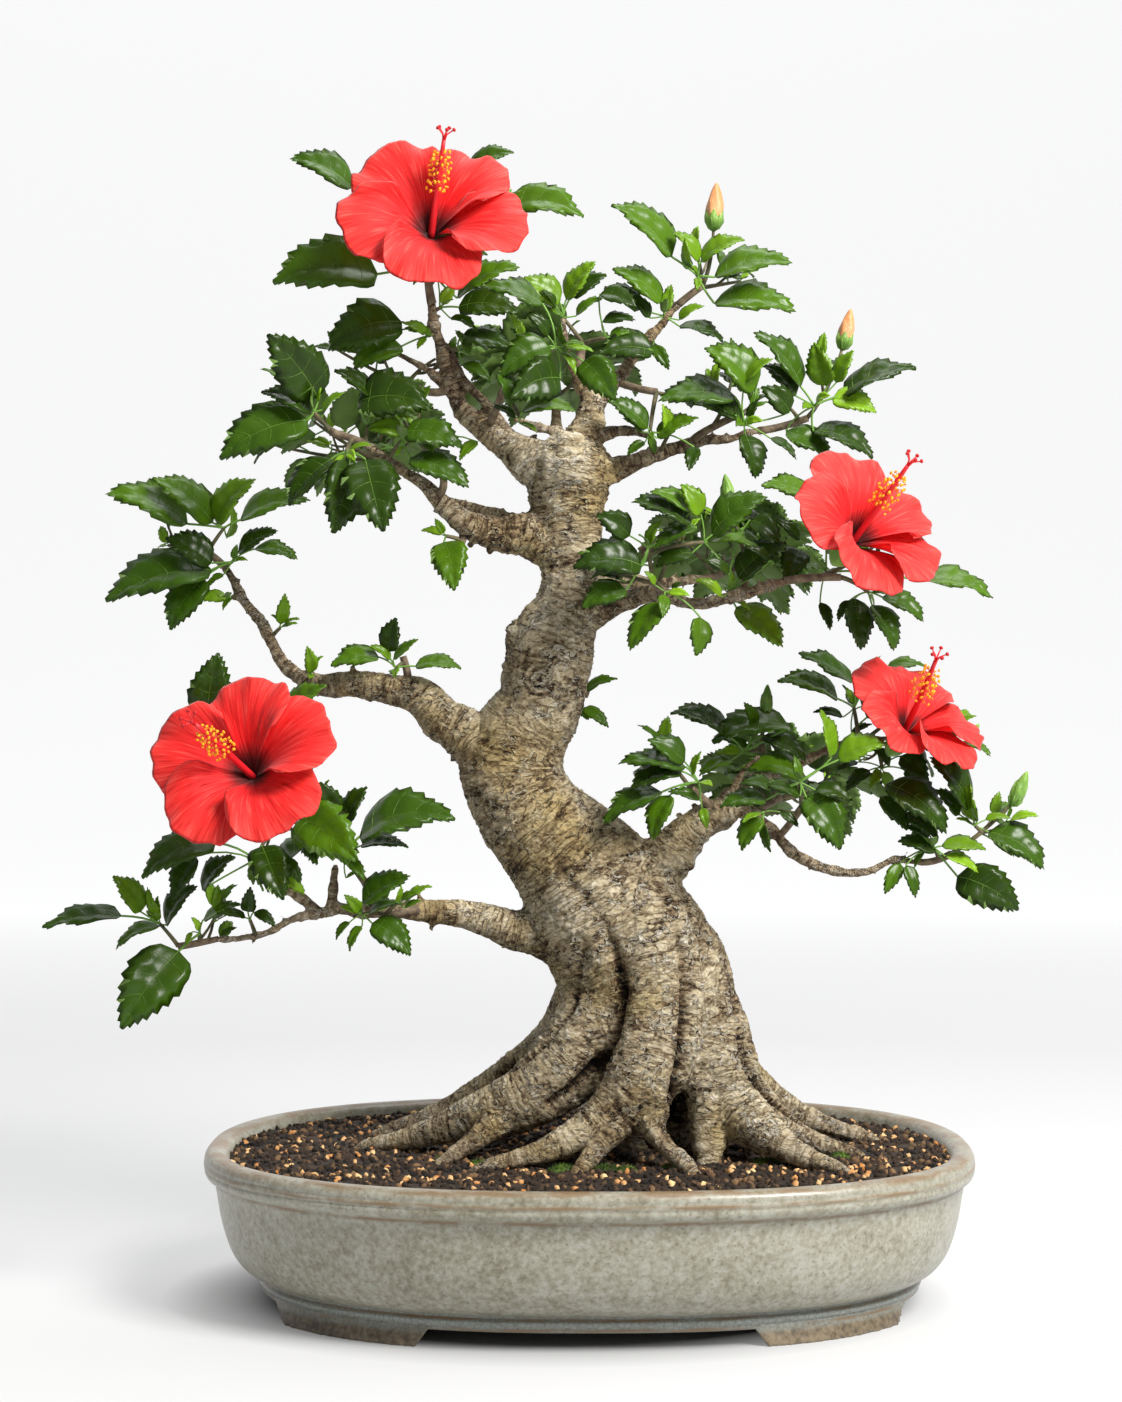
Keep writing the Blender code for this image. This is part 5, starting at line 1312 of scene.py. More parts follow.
class Limbs:
    """The middle lines of a group of limbs, to tell for any point of the bark how its limb runs."""

    def __init__(self, paths):
        rows = []
        for path in paths:
            points = [Vector(p[:3]) for p in path]
            normal = None
            gone = 0.0
            for i, point in enumerate(points):
                ahead = (points[min(i + 1, len(points) - 1)] - points[max(i - 1, 0)]).normalized()
                if normal is None:
                    normal = ahead.orthogonal().normalized()
                normal = (normal - ahead * normal.dot(ahead)).normalized()
                if i:
                    gone += (point - points[i - 1]).length
                rows.append((*point, path[i][3], *ahead, *normal, gone))
        self.rows = np.array(rows)

    def local(self, points):
        """For each point: its offset across its limb in two directions, its run along it, its girth."""
        found = []
        for chunk in np.array_split(points, max(1, len(points) // 2000)):
            way = chunk[:, None, :] - self.rows[None, :, :3]
            depth = np.linalg.norm(way, axis=2) - self.rows[None, :, 3]
            best = self.rows[np.argmin(depth, axis=1)]
            off = chunk - best[:, :3]
            ahead, normal = best[:, 4:7], best[:, 7:10]
            other = np.cross(ahead, normal)
            found.append(np.stack([
                (off * normal).sum(axis=1), (off * other).sum(axis=1),
                best[:, 10] + (off * ahead).sum(axis=1), best[:, 3],
            ], axis=1))
        return np.concatenate(found)


# Where limbs meet, the bark lies in deeper folds: middle and radius of each place
FOLDS = [
    ((-0.010, 0.000, 0.448), 0.036), ((-0.048, 0.000, 0.274), 0.030), ((-0.012, 0.000, 0.204), 0.030),
    ((0.050, 0.000, 0.236), 0.022), ((0.000, 0.000, 0.372), 0.018),
]


def bark_relief(place, local):
    """How far the bark stands out in metres at a place, and how light it is, 0 in a crack to 1, with shade
    painted into its cracks and creases and highlights painted on what stands out.
    """
    u, v, run, girth = local
    size = min(1.0, max(0.30, girth / 0.020))
    along = Vector((u, v, 1.5 * run))
    swell = noise.noise(place * 38) * 0.0009 + noise.noise(place * 90) * 0.0006
    crust = noise.noise(along * 250) + 0.6 * noise.noise(along * 520)
    lip = 1 - abs(noise.noise(Vector((u * 130, v * 130, run * 260)) + Vector((4, 4, 4)))) * 5
    raised = max(0.0, lip) * max(0.0, 0.25 + noise.noise(place * 75))
    girdle = 1 - abs(noise.noise(Vector((u * 22, v * 22, run * 120))))
    crease = max(0.0, girdle - 0.93) * 14 * (0.5 + 0.5 * noise.noise(place * 60))
    patch = noise.noise(place * 30 + Vector((3, 5, 7)))
    folded = max(max(0.0, 1 - (place - Vector(middle)).length / reach) for middle, reach in FOLDS)
    pressed = Vector((place.x * 75, place.y * 75, place.z * 170))
    fold = 1 - 4.2 * abs(noise.noise(pressed + Vector((2, 8, 1))))
    fold *= min(1.0, 2.2 * folded)
    ring = max(0.0, 1 - girth / 0.013)
    knuckle = ring * max(0.0, noise.noise(Vector((3, 1, run * 115))) - 0.05)
    height = (
        swell * size + 0.00055 * size * crust + 0.00190 * size * raised - 0.00130 * size * crease
        + 0.00120 * fold + 0.0026 * knuckle - 0.0004
    )
    # Paler towards the foot and darker higher up. Painted shade in the creases and painted highlights on
    # raised lips, swellings, folds and knuckles, besides the bark's own patches
    paler_below = min(0.07, max(-0.02, 0.5 * (0.31 - place.z)))
    light = 0.58 + paler_below + 0.03 * crust + 0.28 * raised - 0.55 * crease + 0.20 * patch + 0.04 * fold
    return height, min(1.0, max(0.0, light + 110 * swell * size + 0.4 * knuckle))


# The creases between the strands of the flare, as the photo shows them: pixels and depth in mm
CREVICES = [
    [
        (600, 912, 0.5), (607, 930, 2.5), (614, 950, 5.0), (619, 975, 7.0), (619, 1002, 8.0),
        (614, 1026, 8.0), (605, 1050, 8.5), (592, 1072, 9.0), (572, 1092, 9.0), (552, 1106, 8.0),
    ],
    [
        (645, 850, 0.8), (656, 878, 2.0), (668, 902, 2.2), (677, 930, 2.4), (683, 958, 3.0),
        (686, 988, 4.0), (686, 1014, 6.0), (686, 1042, 8.0), (684, 1064, 11.0), (680, 1088, 15.0),
        (676, 1110, 17.0), (674, 1132, 17.0),
    ],
    [
        (586, 930, 0.8), (581, 956, 2.5), (577, 980, 3.5), (572, 1002, 4.5), (560, 1020, 5.0),
        (544, 1040, 5.0), (524, 1058, 5.0), (500, 1072, 4.0),
    ],
    [
        (727, 960, 0.6), (735, 988, 2.2), (739, 1016, 3.2), (743, 1042, 4.0), (750, 1066, 5.0),
        (764, 1088, 5.5), (784, 1106, 5.5), (802, 1120, 4.0),
    ],
    [(676, 862, 0.5), (684, 890, 1.6), (694, 920, 1.8), (703, 948, 1.6), (710, 975, 0.8)],
    [(545, 845, 0.5), (565, 876, 1.8), (588, 902, 2.2), (604, 925, 2.0)],
]
# How wide such a crease is at its bottom
CREVICE_WIDTH = 0.0024


def crevice_relief(places, faces):
    """How deep each place lies in the flare's creases, which are cast onto the bark from the camera."""
    skin = BVHTree.FromPolygons([Vector(place) for place in places], faces)
    eye = Vector(CAMERA_PLACE) - POT_MIDDLE
    depth = np.zeros(len(places))
    for line in CREVICES:
        path = []
        for px, py, deep in smooth_path(line, 2.5):
            hit = skin.ray_cast(eye, (from_photo(px, py, 0) - eye).normalized())[0]
            if hit:
                path.append((*hit, deep / 1000))
        path = np.array(path)
        low, high = path[:, :3].min(axis=0) - 0.025, path[:, :3].max(axis=0) + 0.025
        near_by = np.flatnonzero(((places > low) & (places < high)).all(axis=1))
        away = np.linalg.norm(places[near_by][:, None, :] - path[None, :, :3], axis=2)
        nearest = np.argmin(away, axis=1)
        gap = away[np.arange(len(near_by)), nearest] / CREVICE_WIDTH
        deep = path[nearest, 3] * (0.72 * np.exp(-gap * gap) + 0.38 * np.exp(-(gap / 3.2) ** 2))
        depth[near_by] = np.maximum(depth[near_by], deep)
    return depth


def knot_relief(place):
    """The knots and burls at a place: a swelling, with rings where it is a healed wound, painted lighter on
    their ridges and darker between them as painted highlight and shade.
    """
    height, light = 0.0, 0.0
    for middle, radius, rise, rings in KNOTS:
        away = (place - Vector(middle)).length / radius
        away *= 1 + 0.30 * noise.noise(place * 70) + 0.14 * noise.noise(place * 210)
        if away < 1.0:
            swell = (1 - away * away) ** 2
            if rings:
                wave = math.cos(2 * math.pi * rings * away)
                # The rings are painted lighter where they rise and darker where they sink: painted
                # highlight and shade
                height += rise * (swell * 0.5 + 0.32 * wave * (1 - away))
                light += 0.35 * wave * (1 - away)
            else:
                height += rise * swell * (0.75 + 0.5 * noise.noise(place * 330))
                light += 0.2 * swell * noise.noise(place * 420)
    return height, light


def wood_piece(name, paths, voxel, finish):
    """Fuses limbs into one skin, lets it flow together, and raises the bark's relief on it."""
    body = Gathered()
    for path in paths:
        points = [Vector(p[:3]) for p in path]
        add_tube(body, points, [p[3] for p in path], LIMB_SIDES)
    mesh = fused(body, name, finish, voxel, BARK_SMOOTHING)
    count = len(mesh.vertices)
    places = np.empty(count * 3)
    mesh.vertices.foreach_get("co", places)
    places = places.reshape(-1, 3)
    normals = np.empty(count * 3)
    mesh.vertex_normals.foreach_get("vector", normals)
    normals = normals.reshape(-1, 3)
    limbs = Limbs(paths)
    local = limbs.local(places - np.array(POT_MIDDLE))
    heights = np.empty(count)
    lights = np.empty(count, dtype=np.float32)
    for i in range(count):
        place = Vector(places[i]) - POT_MIDDLE
        height, light = bark_relief(place, local[i])
        swell, shade = knot_relief(place)
        heights[i] = height + swell
        lights[i] = light + shade
    if name == "trunk_bark":
        faces = [tuple(face.vertices) for face in mesh.polygons]
        creases = crevice_relief(places - np.array(POT_MIDDLE), faces)
        heights -= creases
        # The deeper a crease, the darker it is painted: painted shade
        lights -= (creases * 70).astype(np.float32)
    places += normals * heights[:, None]
    mesh.vertices.foreach_set("co", places.ravel())
    # The bark's own tone with its painted shade and highlights goes to the mesh as a mark, with each
    # point's place on its limb and its girth
    for mark, kind, field, values in (
        ("bark_light", "FLOAT", "value", lights),
        ("limb_place", "FLOAT_VECTOR", "vector", local[:, :3]),
        ("girth", "FLOAT", "value", local[:, 3]),
    ):
        layer = mesh.attributes.new(mark, kind, "POINT")
        layer.data.foreach_set(field, values.astype(np.float32).ravel())
    mesh.update()
    mesh.shade_smooth()
    return add_object(name, mesh)


# The seed of the boughs' bends: without one, Blender draws the offsets of noise_vector from the clock
BEND_SEED = 17


def bough_path(name):
    """A bough's core: thinner than the limb with its bark, and a little crooked from node to node."""
    path = []
    for x, y, z, radius in smooth_path(BOUGHS[name][1], LIMB_STEP):
        bend = noise.noise_vector(Vector((x, y, z)) * 62) * min(0.0026, 0.5 * radius)
        stout = min(1.0, max(0.0, radius - 0.006) / 0.006)
        share = SLIM_BOUGHS.get(name, CORE_SHARE + (STOUT_SHARE - CORE_SHARE) * stout)
        path.append((x + bend.x, y + bend.y, z + bend.z, radius * share))
    return path


def spurs_of(path, rng):
    """Short stubs of shed twigs along a bough, about every 9 mm."""
    spurs = []
    for i in range(4, len(path) - 2, 3):
        here = Vector(path[i][:3])
        run = (Vector(path[i + 1][:3]) - here).normalized()
        out = sideways(run, rng.uniform(0, 2 * math.pi))
        out = (out + 0.5 * run).normalized()
        reach = path[i][3] + rng.uniform(0.0010, 0.0042)
        girth = min(0.0020, 0.42 * path[i][3])
        spurs.append([(*here, girth), (*(here + out * reach), 0.8 * girth)])
    return spurs


def make_wood(finish):
    """The trunk with its roots and the collars of its boughs, and the boughs as a piece of their own."""
    noise.seed_set(BEND_SEED)
    trunk = [smooth_path([TRUNK_FOOT] + TRUNK, TRUNK_STEP)]
    for knees in ROOTS.values():
        x, y, z, radius = knees[-1]
        back = knees[-2]
        buried = (x + 0.5 * (x - back[0]), y + 0.5 * (y - back[1]), ROOT_END, 0.8 * radius)
        trunk.append(smooth_path(knees + [buried], LIMB_STEP))
    boughs = []
    rng = random.Random(17)
    for name, (parent, _) in BOUGHS.items():
        path = bough_path(name)
        boughs += [path] + spurs_of(path, rng)
        if parent == "trunk":
            limb = smooth_path(BOUGHS[name][1], LIMB_STEP)
            trunk.append([
                (x, y, z, min(radius * (1.30 - 0.30 * i / (COLLAR_STEPS - 1)), STOUT_SHARE * limb[i][3]))
                for i, (x, y, z, radius) in enumerate(path[:COLLAR_STEPS])
            ])
    for line in BARE_TWIGS:
        knees = [(*from_photo(px, py, depth / 1000), girth / 1000) for px, py, depth, girth in line]
        boughs.append(smooth_path(knees, LIMB_STEP))
    return (
        wood_piece("trunk_bark", trunk, TRUNK_VOXEL, finish),
        wood_piece("bough_bark", boughs, BOUGH_VOXEL, finish),
    )


# The blooms: the grid of a petal, the parts of the column, and the green below a bloom or bud
PETALS = 5
PETAL_ROWS = 26
PETAL_ACROSS = 30
PETAL_THICKNESS = 0.00035
ANTHERS = 64
STIGMAS = 5
COLUMN_STEPS = 12
COLUMN_SIDES = 10
COLUMN_RADIUS, COLUMN_TAPER = 0.0020, 0.0009
THREAD_RADII = [0.00022, 0.00018, 0.00016]
STYLE_RADII = [0.00055, 0.00045, 0.00038]
CUP_LOBES = 5
BRACTS = 7
BRACT_RADII = [0.0007, 0.0008, 0.0006, 0.0001]


def petal_depth(share):
    """How far a petal stands out of the throat at a share of its reach: a funnel that flares open."""
    flare = -0.06 + 0.50 * (1 - (1 - share) ** 2.4)
    return flare - 0.07 * max(0.0, (share - 0.45) / 0.55) ** 2


def add_petals(petals, bloom):
    """Five overlapping petals, each ruffled at its edge, with one side over its neighbour."""
    throat, facing, side, up = bloom_axes(bloom)
    rng = random.Random(round(1000 * bloom["radius"]) + bloom["notch"])
    radius = bloom["radius"]
    for k in range(PETALS):
        centre = math.radians(bloom["notch"] + 36 + 72 * k)
        phases = [rng.uniform(0, 2 * math.pi) for _ in range(5)]
        size = rng.uniform(0.96, 1.05)
        tilt = rng.uniform(-0.04, 0.05)
        grid = []
        marks = []
        for i in range(PETAL_ROWS + 1):
            share = 0.03 + 0.97 * (i / PETAL_ROWS) ** 0.9
            open_ = min(1.0, share / 0.62)
            spread = 0.76 + 0.12 * open_ * open_ * (3 - 2 * open_)
            for j in range(PETAL_ACROSS + 1):
                a = -1 + 2 * j / PETAL_ACROSS
                lobe = 1.05 - 0.16 * a ** 2 - 0.34 * a ** 4
                lobe += 0.022 * math.sin(7.5 * a + phases[0]) + 0.012 * math.sin(21 * a + phases[1])
                reach = radius * size * (1 + (lobe - 1) * min(1.0, share * 1.15))
                turn = centre + a * spread
                edge = max(0.0, (share - 0.50) / 0.50)
                ruffle = 0.038 * edge ** 1.5 * math.sin(8 * a + phases[2])
                ruffle += 0.028 * edge ** 2 * math.sin(15 * a + phases[3])
                furrow = 0.006 * math.sin(34 * a + 2 * math.sin(3 * a + phases[4])) * min(1.0, share * 2)
                side_lift = (0.095 * a + 0.05 * a * a) * min(1.0, share * 1.6)
                depth = petal_depth(share) + tilt * share + ruffle + furrow + side_lift
                flat = side * math.cos(turn) + up * math.sin(turn)
                grid.append(throat + flat * reach * share + facing * depth * radius)
                marks.append((share, a + 2.5 * k))
        wide = PETAL_ACROSS + 1
        back = [p - facing * PETAL_THICKNESS for p in grid]
        inner = [r * wide + c for r in range(1, PETAL_ROWS) for c in range(1, wide - 1)]
        under = {old: wide * (PETAL_ROWS + 1) + n for n, old in enumerate(inner)}
        points = grid + [back[i] for i in inner]
        faces = []
        for r in range(PETAL_ROWS):
            for c in range(PETAL_ACROSS):
                ring = (r * wide + c, (r + 1) * wide + c, (r + 1) * wide + c + 1, r * wide + c + 1)
                faces.append(ring)
                faces.append(tuple(reversed([under.get(i, i) for i in ring])))
        petals.add(points, faces, 0, marks + [marks[i] for i in inner])


def add_ball(gathered, middle, axis, length, width, slot, sides, rings):
    """A small closed ellipsoid along an axis."""
    axis = axis.normalized()
    points, radii = [], []
    for i in range(rings + 1):
        turn = math.pi * (0.06 + 0.88 * i / rings)
        points.append(middle - axis * math.cos(turn) * length / 2)
        radii.append(width / 2 * math.sin(turn))
    add_tube(gathered, points, radii, sides, slot)


def add_column(centre, bloom):
    """The column out of the throat, its anthers on fine threads, and five stigma pads at its end."""
    throat, facing, _, _ = bloom_axes(bloom)
    rng = random.Random(round(1e5 * bloom["radius"]))
    way = Vector(bloom["column"]).normalized()
    start = throat - facing * bloom["radius"] * 0.06
    reach = COLUMN_LENGTH * 0.86
    bend = start + (way * 0.85 + facing * 0.25).normalized() * reach * 0.5
    shares = [i / COLUMN_STEPS for i in range(COLUMN_STEPS + 1)]
    line = [bezier(start, bend, throat + way * reach, share) for share in shares]
    radii = [COLUMN_RADIUS - COLUMN_TAPER * share for share in shares]
    add_tube(centre, line, radii, COLUMN_SIDES, COLUMN_SLOT)
    for i in range(ANTHERS):
        share = 0.48 + 0.40 * (i + 0.5) / ANTHERS
        base, run = on_path(line, share)
        out = sideways(run, i * GOLDEN_ANGLE)
        swell = math.sin(math.pi * (0.20 + 0.74 * (i + 0.5) / ANTHERS))
        length = (0.0032 + 0.0032 * swell) * rng.uniform(0.75, 1.15)
        aim = (out + run * rng.uniform(0.05, 0.55)).normalized()
        end = base + aim * length
        middle = base + (out * 0.6 + run * 0.1) * length * 0.5
        add_tube(centre, [base, middle, end], THREAD_RADII, 3, THREAD_SLOT)
        tilt = aim.orthogonal().normalized() * rng.uniform(-1, 1) + run * 0.4
        size = rng.uniform(0.8, 1.2)
        add_ball(centre, end, tilt, 0.0022 * size, 0.0016 * size, ANTHER_SLOT, 5, 3)
    tip, run = on_path(line, 1.0)
    for k in range(STIGMAS):
        out = sideways(run, 2 * math.pi * (k + 0.3) / STIGMAS)
        pad = tip + run * 0.0060 + out * 0.0046
        style = [tip - run * 0.002, tip + run * 0.0030 + out * 0.0012, pad]
        add_tube(centre, style, STYLE_RADII, 5, COLUMN_SLOT)
        add_ball(centre, pad, run + out, 0.0018, 0.0023, STIGMA_SLOT, 8, 5)


def add_cup(green, base, axis, length, width, closed=0.0):
    """A calyx: a cup on its stalk, open into pointed lobes; closed draws the lobes' tips inwards."""
    axis = axis.normalized()
    side = axis.orthogonal().normalized()
    other = axis.cross(side)
    outside = [
        (0.0, 0.30), (0.12, 0.62), (0.30, 0.92), (0.52, 1.0), (0.76, 1.0 - 0.12 * closed),
        (1.0, 1.06 - 0.85 * closed),
    ]
    inside = [(share, max(0.05, girth - 0.10)) for share, girth in reversed(outside[2:])]
    points = []
    for ring, (share, girth) in enumerate(outside + inside):
        for turn in turns(4 * CUP_LOBES):
            lobe = math.cos(CUP_LOBES * turn)
            rise = share * (1 if share < 0.5 else 0.62 + 0.38 * (1 + lobe) / 2)
            swell = 1 + 0.04 * lobe if ring < len(outside) else 1
            flat = side * math.cos(turn) + other * math.sin(turn)
            points.append(base + axis * rise * length + flat * width / 2 * girth * swell)
    green.add(points, ring_faces(len(outside + inside), 4 * CUP_LOBES))


def add_bracts(green, base, axis, length):
    """The thin green bracts below a calyx."""
    axis = axis.normalized()
    for turn in turns(BRACTS):
        out = sideways(axis, turn)
        line = [
            base,
            base + out * 0.35 * length + axis * 0.12 * length,
            base + out * 0.62 * length + axis * 0.55 * length,
            base + out * 0.60 * length + axis * length,
        ]
        add_tube(green, line, BRACT_RADII, 4)


def add_bloom_green(green, bloom):
    """The calyx and the bracts behind a bloom."""
    throat, facing, _, _ = bloom_axes(bloom)
    radius = bloom["radius"]
    base = throat - facing * radius * 0.42
    add_cup(green, base, facing, 0.46 * radius, 0.30 * radius)
    add_bracts(green, base + facing * 0.002, facing, 0.24 * radius)


def add_bud(green, tip, length, hub, ripe):
    """A closed bud: furled petals with a twist, held by its calyx and bracts."""
    rise, base = bud_axis(tip, length, hub)
    side = rise.orthogonal().normalized()
    other = rise.cross(side)
    around, rings = 20, 12
    points = []
    for i in range(rings + 1):
        share = i / rings
        girth = 0.185 * length * math.sin(math.pi * (0.10 + 0.87 * share ** 0.85)) ** 0.8
        for turn in turns(around):
            twist = 1 + 0.10 * math.sin(5 * (turn + 1.6 * share)) * math.sin(math.pi * share)
            flat = side * math.cos(turn) + other * math.sin(turn)
            points.append(base + rise * share * length + flat * max(0.0003, girth * twist))
    green.add(points, ring_faces(rings + 1, around), RIPE_SLOT if ripe else 0)
    cup_length, closed = (0.55, 0.6) if ripe else (0.86, 0.95)
    foot = base - rise * 0.02 * length
    add_cup(green, foot, rise, cup_length * length, 0.42 * length, closed)
    add_bracts(green, base, rise, 0.32 * length)


# The finishes. Leaf tints come first, in the order that the blades' slots give
LEAF_TINTS = ("#263d06", "#345209", "#46680c", "#5f8414", "#7ba322")
UNDERSIDE_SLOT = len(LEAF_TINTS)
VEIN_SLOT = UNDERSIDE_SLOT + 1
COLUMN_SLOT, THREAD_SLOT, ANTHER_SLOT, STIGMA_SLOT = range(4)
RIPE_SLOT = 1


def leaf_finishes():
    """Living leaf, five ages: a thin wax that gives broken, cool highlights over fine pores."""
    made = []
    for i, colour in enumerate(LEAF_TINTS):
        finish, tree, shader = new_material("leaf_%d" % i, {
            "Roughness": 0.50, "Coat Weight": 0.42, "Coat Roughness": 0.27, "Specular IOR Level": 0.06,
            "Subsurface Weight": 0.04, "Subsurface Radius": (0.0008, 0.0016, 0.0002), "IOR": 1.42,
        })
        place = add_node(tree, "ShaderNodeTexCoord").outputs["Object"]
        cloud = add_node(tree, "ShaderNodeTexNoise", {"Scale": 55.0, "Detail": 2.0}, {"Vector": place})
        deep = tuple(c * 0.78 for c in srgb(colour)[:3]) + (1.0,)
        light = tuple(min(1.0, c * 1.22) for c in srgb(colour)[:3]) + (1.0,)
        tone = add_node(tree, "ShaderNodeMix", {"data_type": "RGBA", 6: deep, 7: light}, {0: cloud})
        tree.links.new(tone.outputs[2], shader.inputs["Base Color"])
        # Net veins about 2 mm apart break up the gloss; they are too fine for the mesh
        net = add_node(
            tree, "ShaderNodeTexVoronoi", {"Scale": 480.0, "feature": "DISTANCE_TO_EDGE"}, {"Vector": place}
        )
        relief = add_node(tree, "ShaderNodeBump", {"Strength": 0.45, "Distance": 0.0004}, {"Height": net})
        tree.links.new(relief.outputs["Normal"], shader.inputs["Normal"])
        made.append(finish)
    made.append(plain_finish("leaf_underside", 0.62, "#5f7d36"))
    made.append(plain_finish("leaf_vein", 0.45, "#51731e"))
    return made


def wood_finish():
    """Old hibiscus bark: corky, with thin curled flakes, a highlight painted on their lips and a shadow
    painted below them.
    """
    finish, tree, shader = new_material("corky_bark", {"Roughness": 0.75, "Specular IOR Level": 0.25})
    place = add_node(tree, "ShaderNodeTexCoord").outputs["Object"]
    # The mesh's mark gives the bark's own patches together with its painted shade and highlights
    light = add_node(tree, "ShaderNodeAttribute", {"attribute_name": "bark_light"}).outputs["Fac"]
    girth = add_node(tree, "ShaderNodeAttribute", {"attribute_name": "girth"}).outputs["Fac"]
    # Flakes are wider than high, so the pattern is pressed together upwards
    flat = add_node(tree, "ShaderNodeMapping", {"Scale": (1.0, 1.0, 1.6)}, {"Vector": place})
    # Grain of 3 mm, and flakes about 6 mm across whose lips are the line where this noise crosses a half.
    # The lip ramp paints a highlight along each lip and a shadow just below it
    grain = add_node(tree, "ShaderNodeTexNoise", {"Scale": 380.0, "Detail": 5.0, "Roughness": 0.66},
                     {"Vector": flat})
    curl = add_node(tree, "ShaderNodeTexNoise", {"Scale": 165.0, "Detail": 5.0, "Distortion": 0.6},
                    {"Vector": flat})
    lip = add_node(tree, "ShaderNodeValToRGB", {"stops": [
        (0.440, "#8a8a8a"), (0.492, "#000000"), (0.505, "#ffffff"), (0.535, "#c6c6c6"), (0.60, "#9a9a9a"),
    ]}, {"Fac": curl})
    shade = add_node(tree, "ShaderNodeMath", {"operation": "MULTIPLY_ADD", 1: 0.95, 2: -0.475}, {0: grain})
    shade = add_node(tree, "ShaderNodeMath", {"operation": "ADD"}, {0: light, 1: shade})
    # The flakes stand in groups, with smoother bark between them
    group = add_node(tree, "ShaderNodeTexNoise", {"Scale": 105.0, "Detail": 2.0}, {"Vector": place})
    group = add_node(tree, "ShaderNodeMapRange", {"From Min": 0.47, "From Max": 0.60, "To Min": 0.12},
                     {"Value": group})
    # The painted lip highlights and shadows, kept to where the flakes group
    edge = add_node(tree, "ShaderNodeMath", {"operation": "MULTIPLY_ADD", 1: 1.30, 2: -0.39}, {0: lip})
    edge = add_node(tree, "ShaderNodeMath", {"operation": "MULTIPLY"}, {0: edge, 1: group})
    shade = add_node(tree, "ShaderNodeMath", {"operation": "ADD"}, {0: edge, 1: shade})
    # Wrinkles run across the limbs, about 4 mm apart, as bump and as dark lines of painted shade in their
    # creases with painted highlights beside them
    limb_place = add_node(tree, "ShaderNodeAttribute", {"attribute_name": "limb_place"}).outputs["Vector"]
    across = add_node(tree, "ShaderNodeMapping", {"Scale": (0.34, 0.34, 1.5)}, {"Vector": limb_place})
    wrinkle = add_node(tree, "ShaderNodeTexNoise", {"Scale": 170.0, "Detail": 4.0, "Distortion": 0.5},
                       {"Vector": across})
    wrinkle = add_node(tree, "ShaderNodeValToRGB", {"stops": [
        (0.455, "#ffffff"), (0.490, "#3c3c3c"), (0.502, "#000000"), (0.520, "#8c8c8c"), (0.56, "#e0e0e0"),
    ]}, {"Fac": wrinkle})
    shade = add_node(tree, "ShaderNodeMath", {"operation": "MULTIPLY_ADD", 1: 0.22}, {0: wrinkle, 2: shade})
    shade = add_node(tree, "ShaderNodeMath", {"operation": "ADD", 1: -0.19}, {0: shade})
    tone = add_node(tree, "ShaderNodeValToRGB", {"stops": [
        (0.05, "#150e07"), (0.22, "#403120"), (0.38, "#75624a"), (0.54, "#a8987a"), (0.74, "#cabd9f"),
        (1.0, "#f2ead8"),
    ]}, {"Fac": shade})
    # Patches of olive about 50 mm across, where algae stain the bark
    stain = add_node(tree, "ShaderNodeTexNoise", {"Scale": 20.0, "Detail": 3.0}, {"Vector": place})
    stain = add_node(tree, "ShaderNodeMapRange", {"From Min": 0.48, "From Max": 0.66, "To Max": 0.70},
                     {"Value": stain})
    stained = add_node(tree, "ShaderNodeMix",
                       {"data_type": "RGBA", "blend_type": "MULTIPLY", 7: srgb("#e2d3a0")},
                       {0: stain, 6: tone})
    # From a radius of 10 mm down to 3 mm, a limb goes over to younger and redder bark
    thin = add_node(tree, "ShaderNodeMapRange", {"From Min": 0.010, "From Max": 0.003, "To Max": 0.45},
                    {"Value": girth})
    young = add_node(tree, "ShaderNodeMix", {"data_type": "RGBA", 7: srgb("#7a6350")},
                     {0: thin, 6: stained.outputs[2]})
    tree.links.new(young.outputs[2], shader.inputs["Base Color"])
    relief = add_node(tree, "ShaderNodeBump", {"Strength": 1.0, "Distance": 0.0018}, {"Height": grain})
    relief = add_node(tree, "ShaderNodeBump", {"Strength": 1.0, "Distance": 0.0012},
                      {"Height": wrinkle, "Normal": relief})
    relief = add_node(tree, "ShaderNodeBump", {"Strength": 1.0, "Distance": 0.0040},
                      {"Height": edge, "Normal": relief})
    tree.links.new(relief.outputs["Normal"], shader.inputs["Normal"])
    return finish


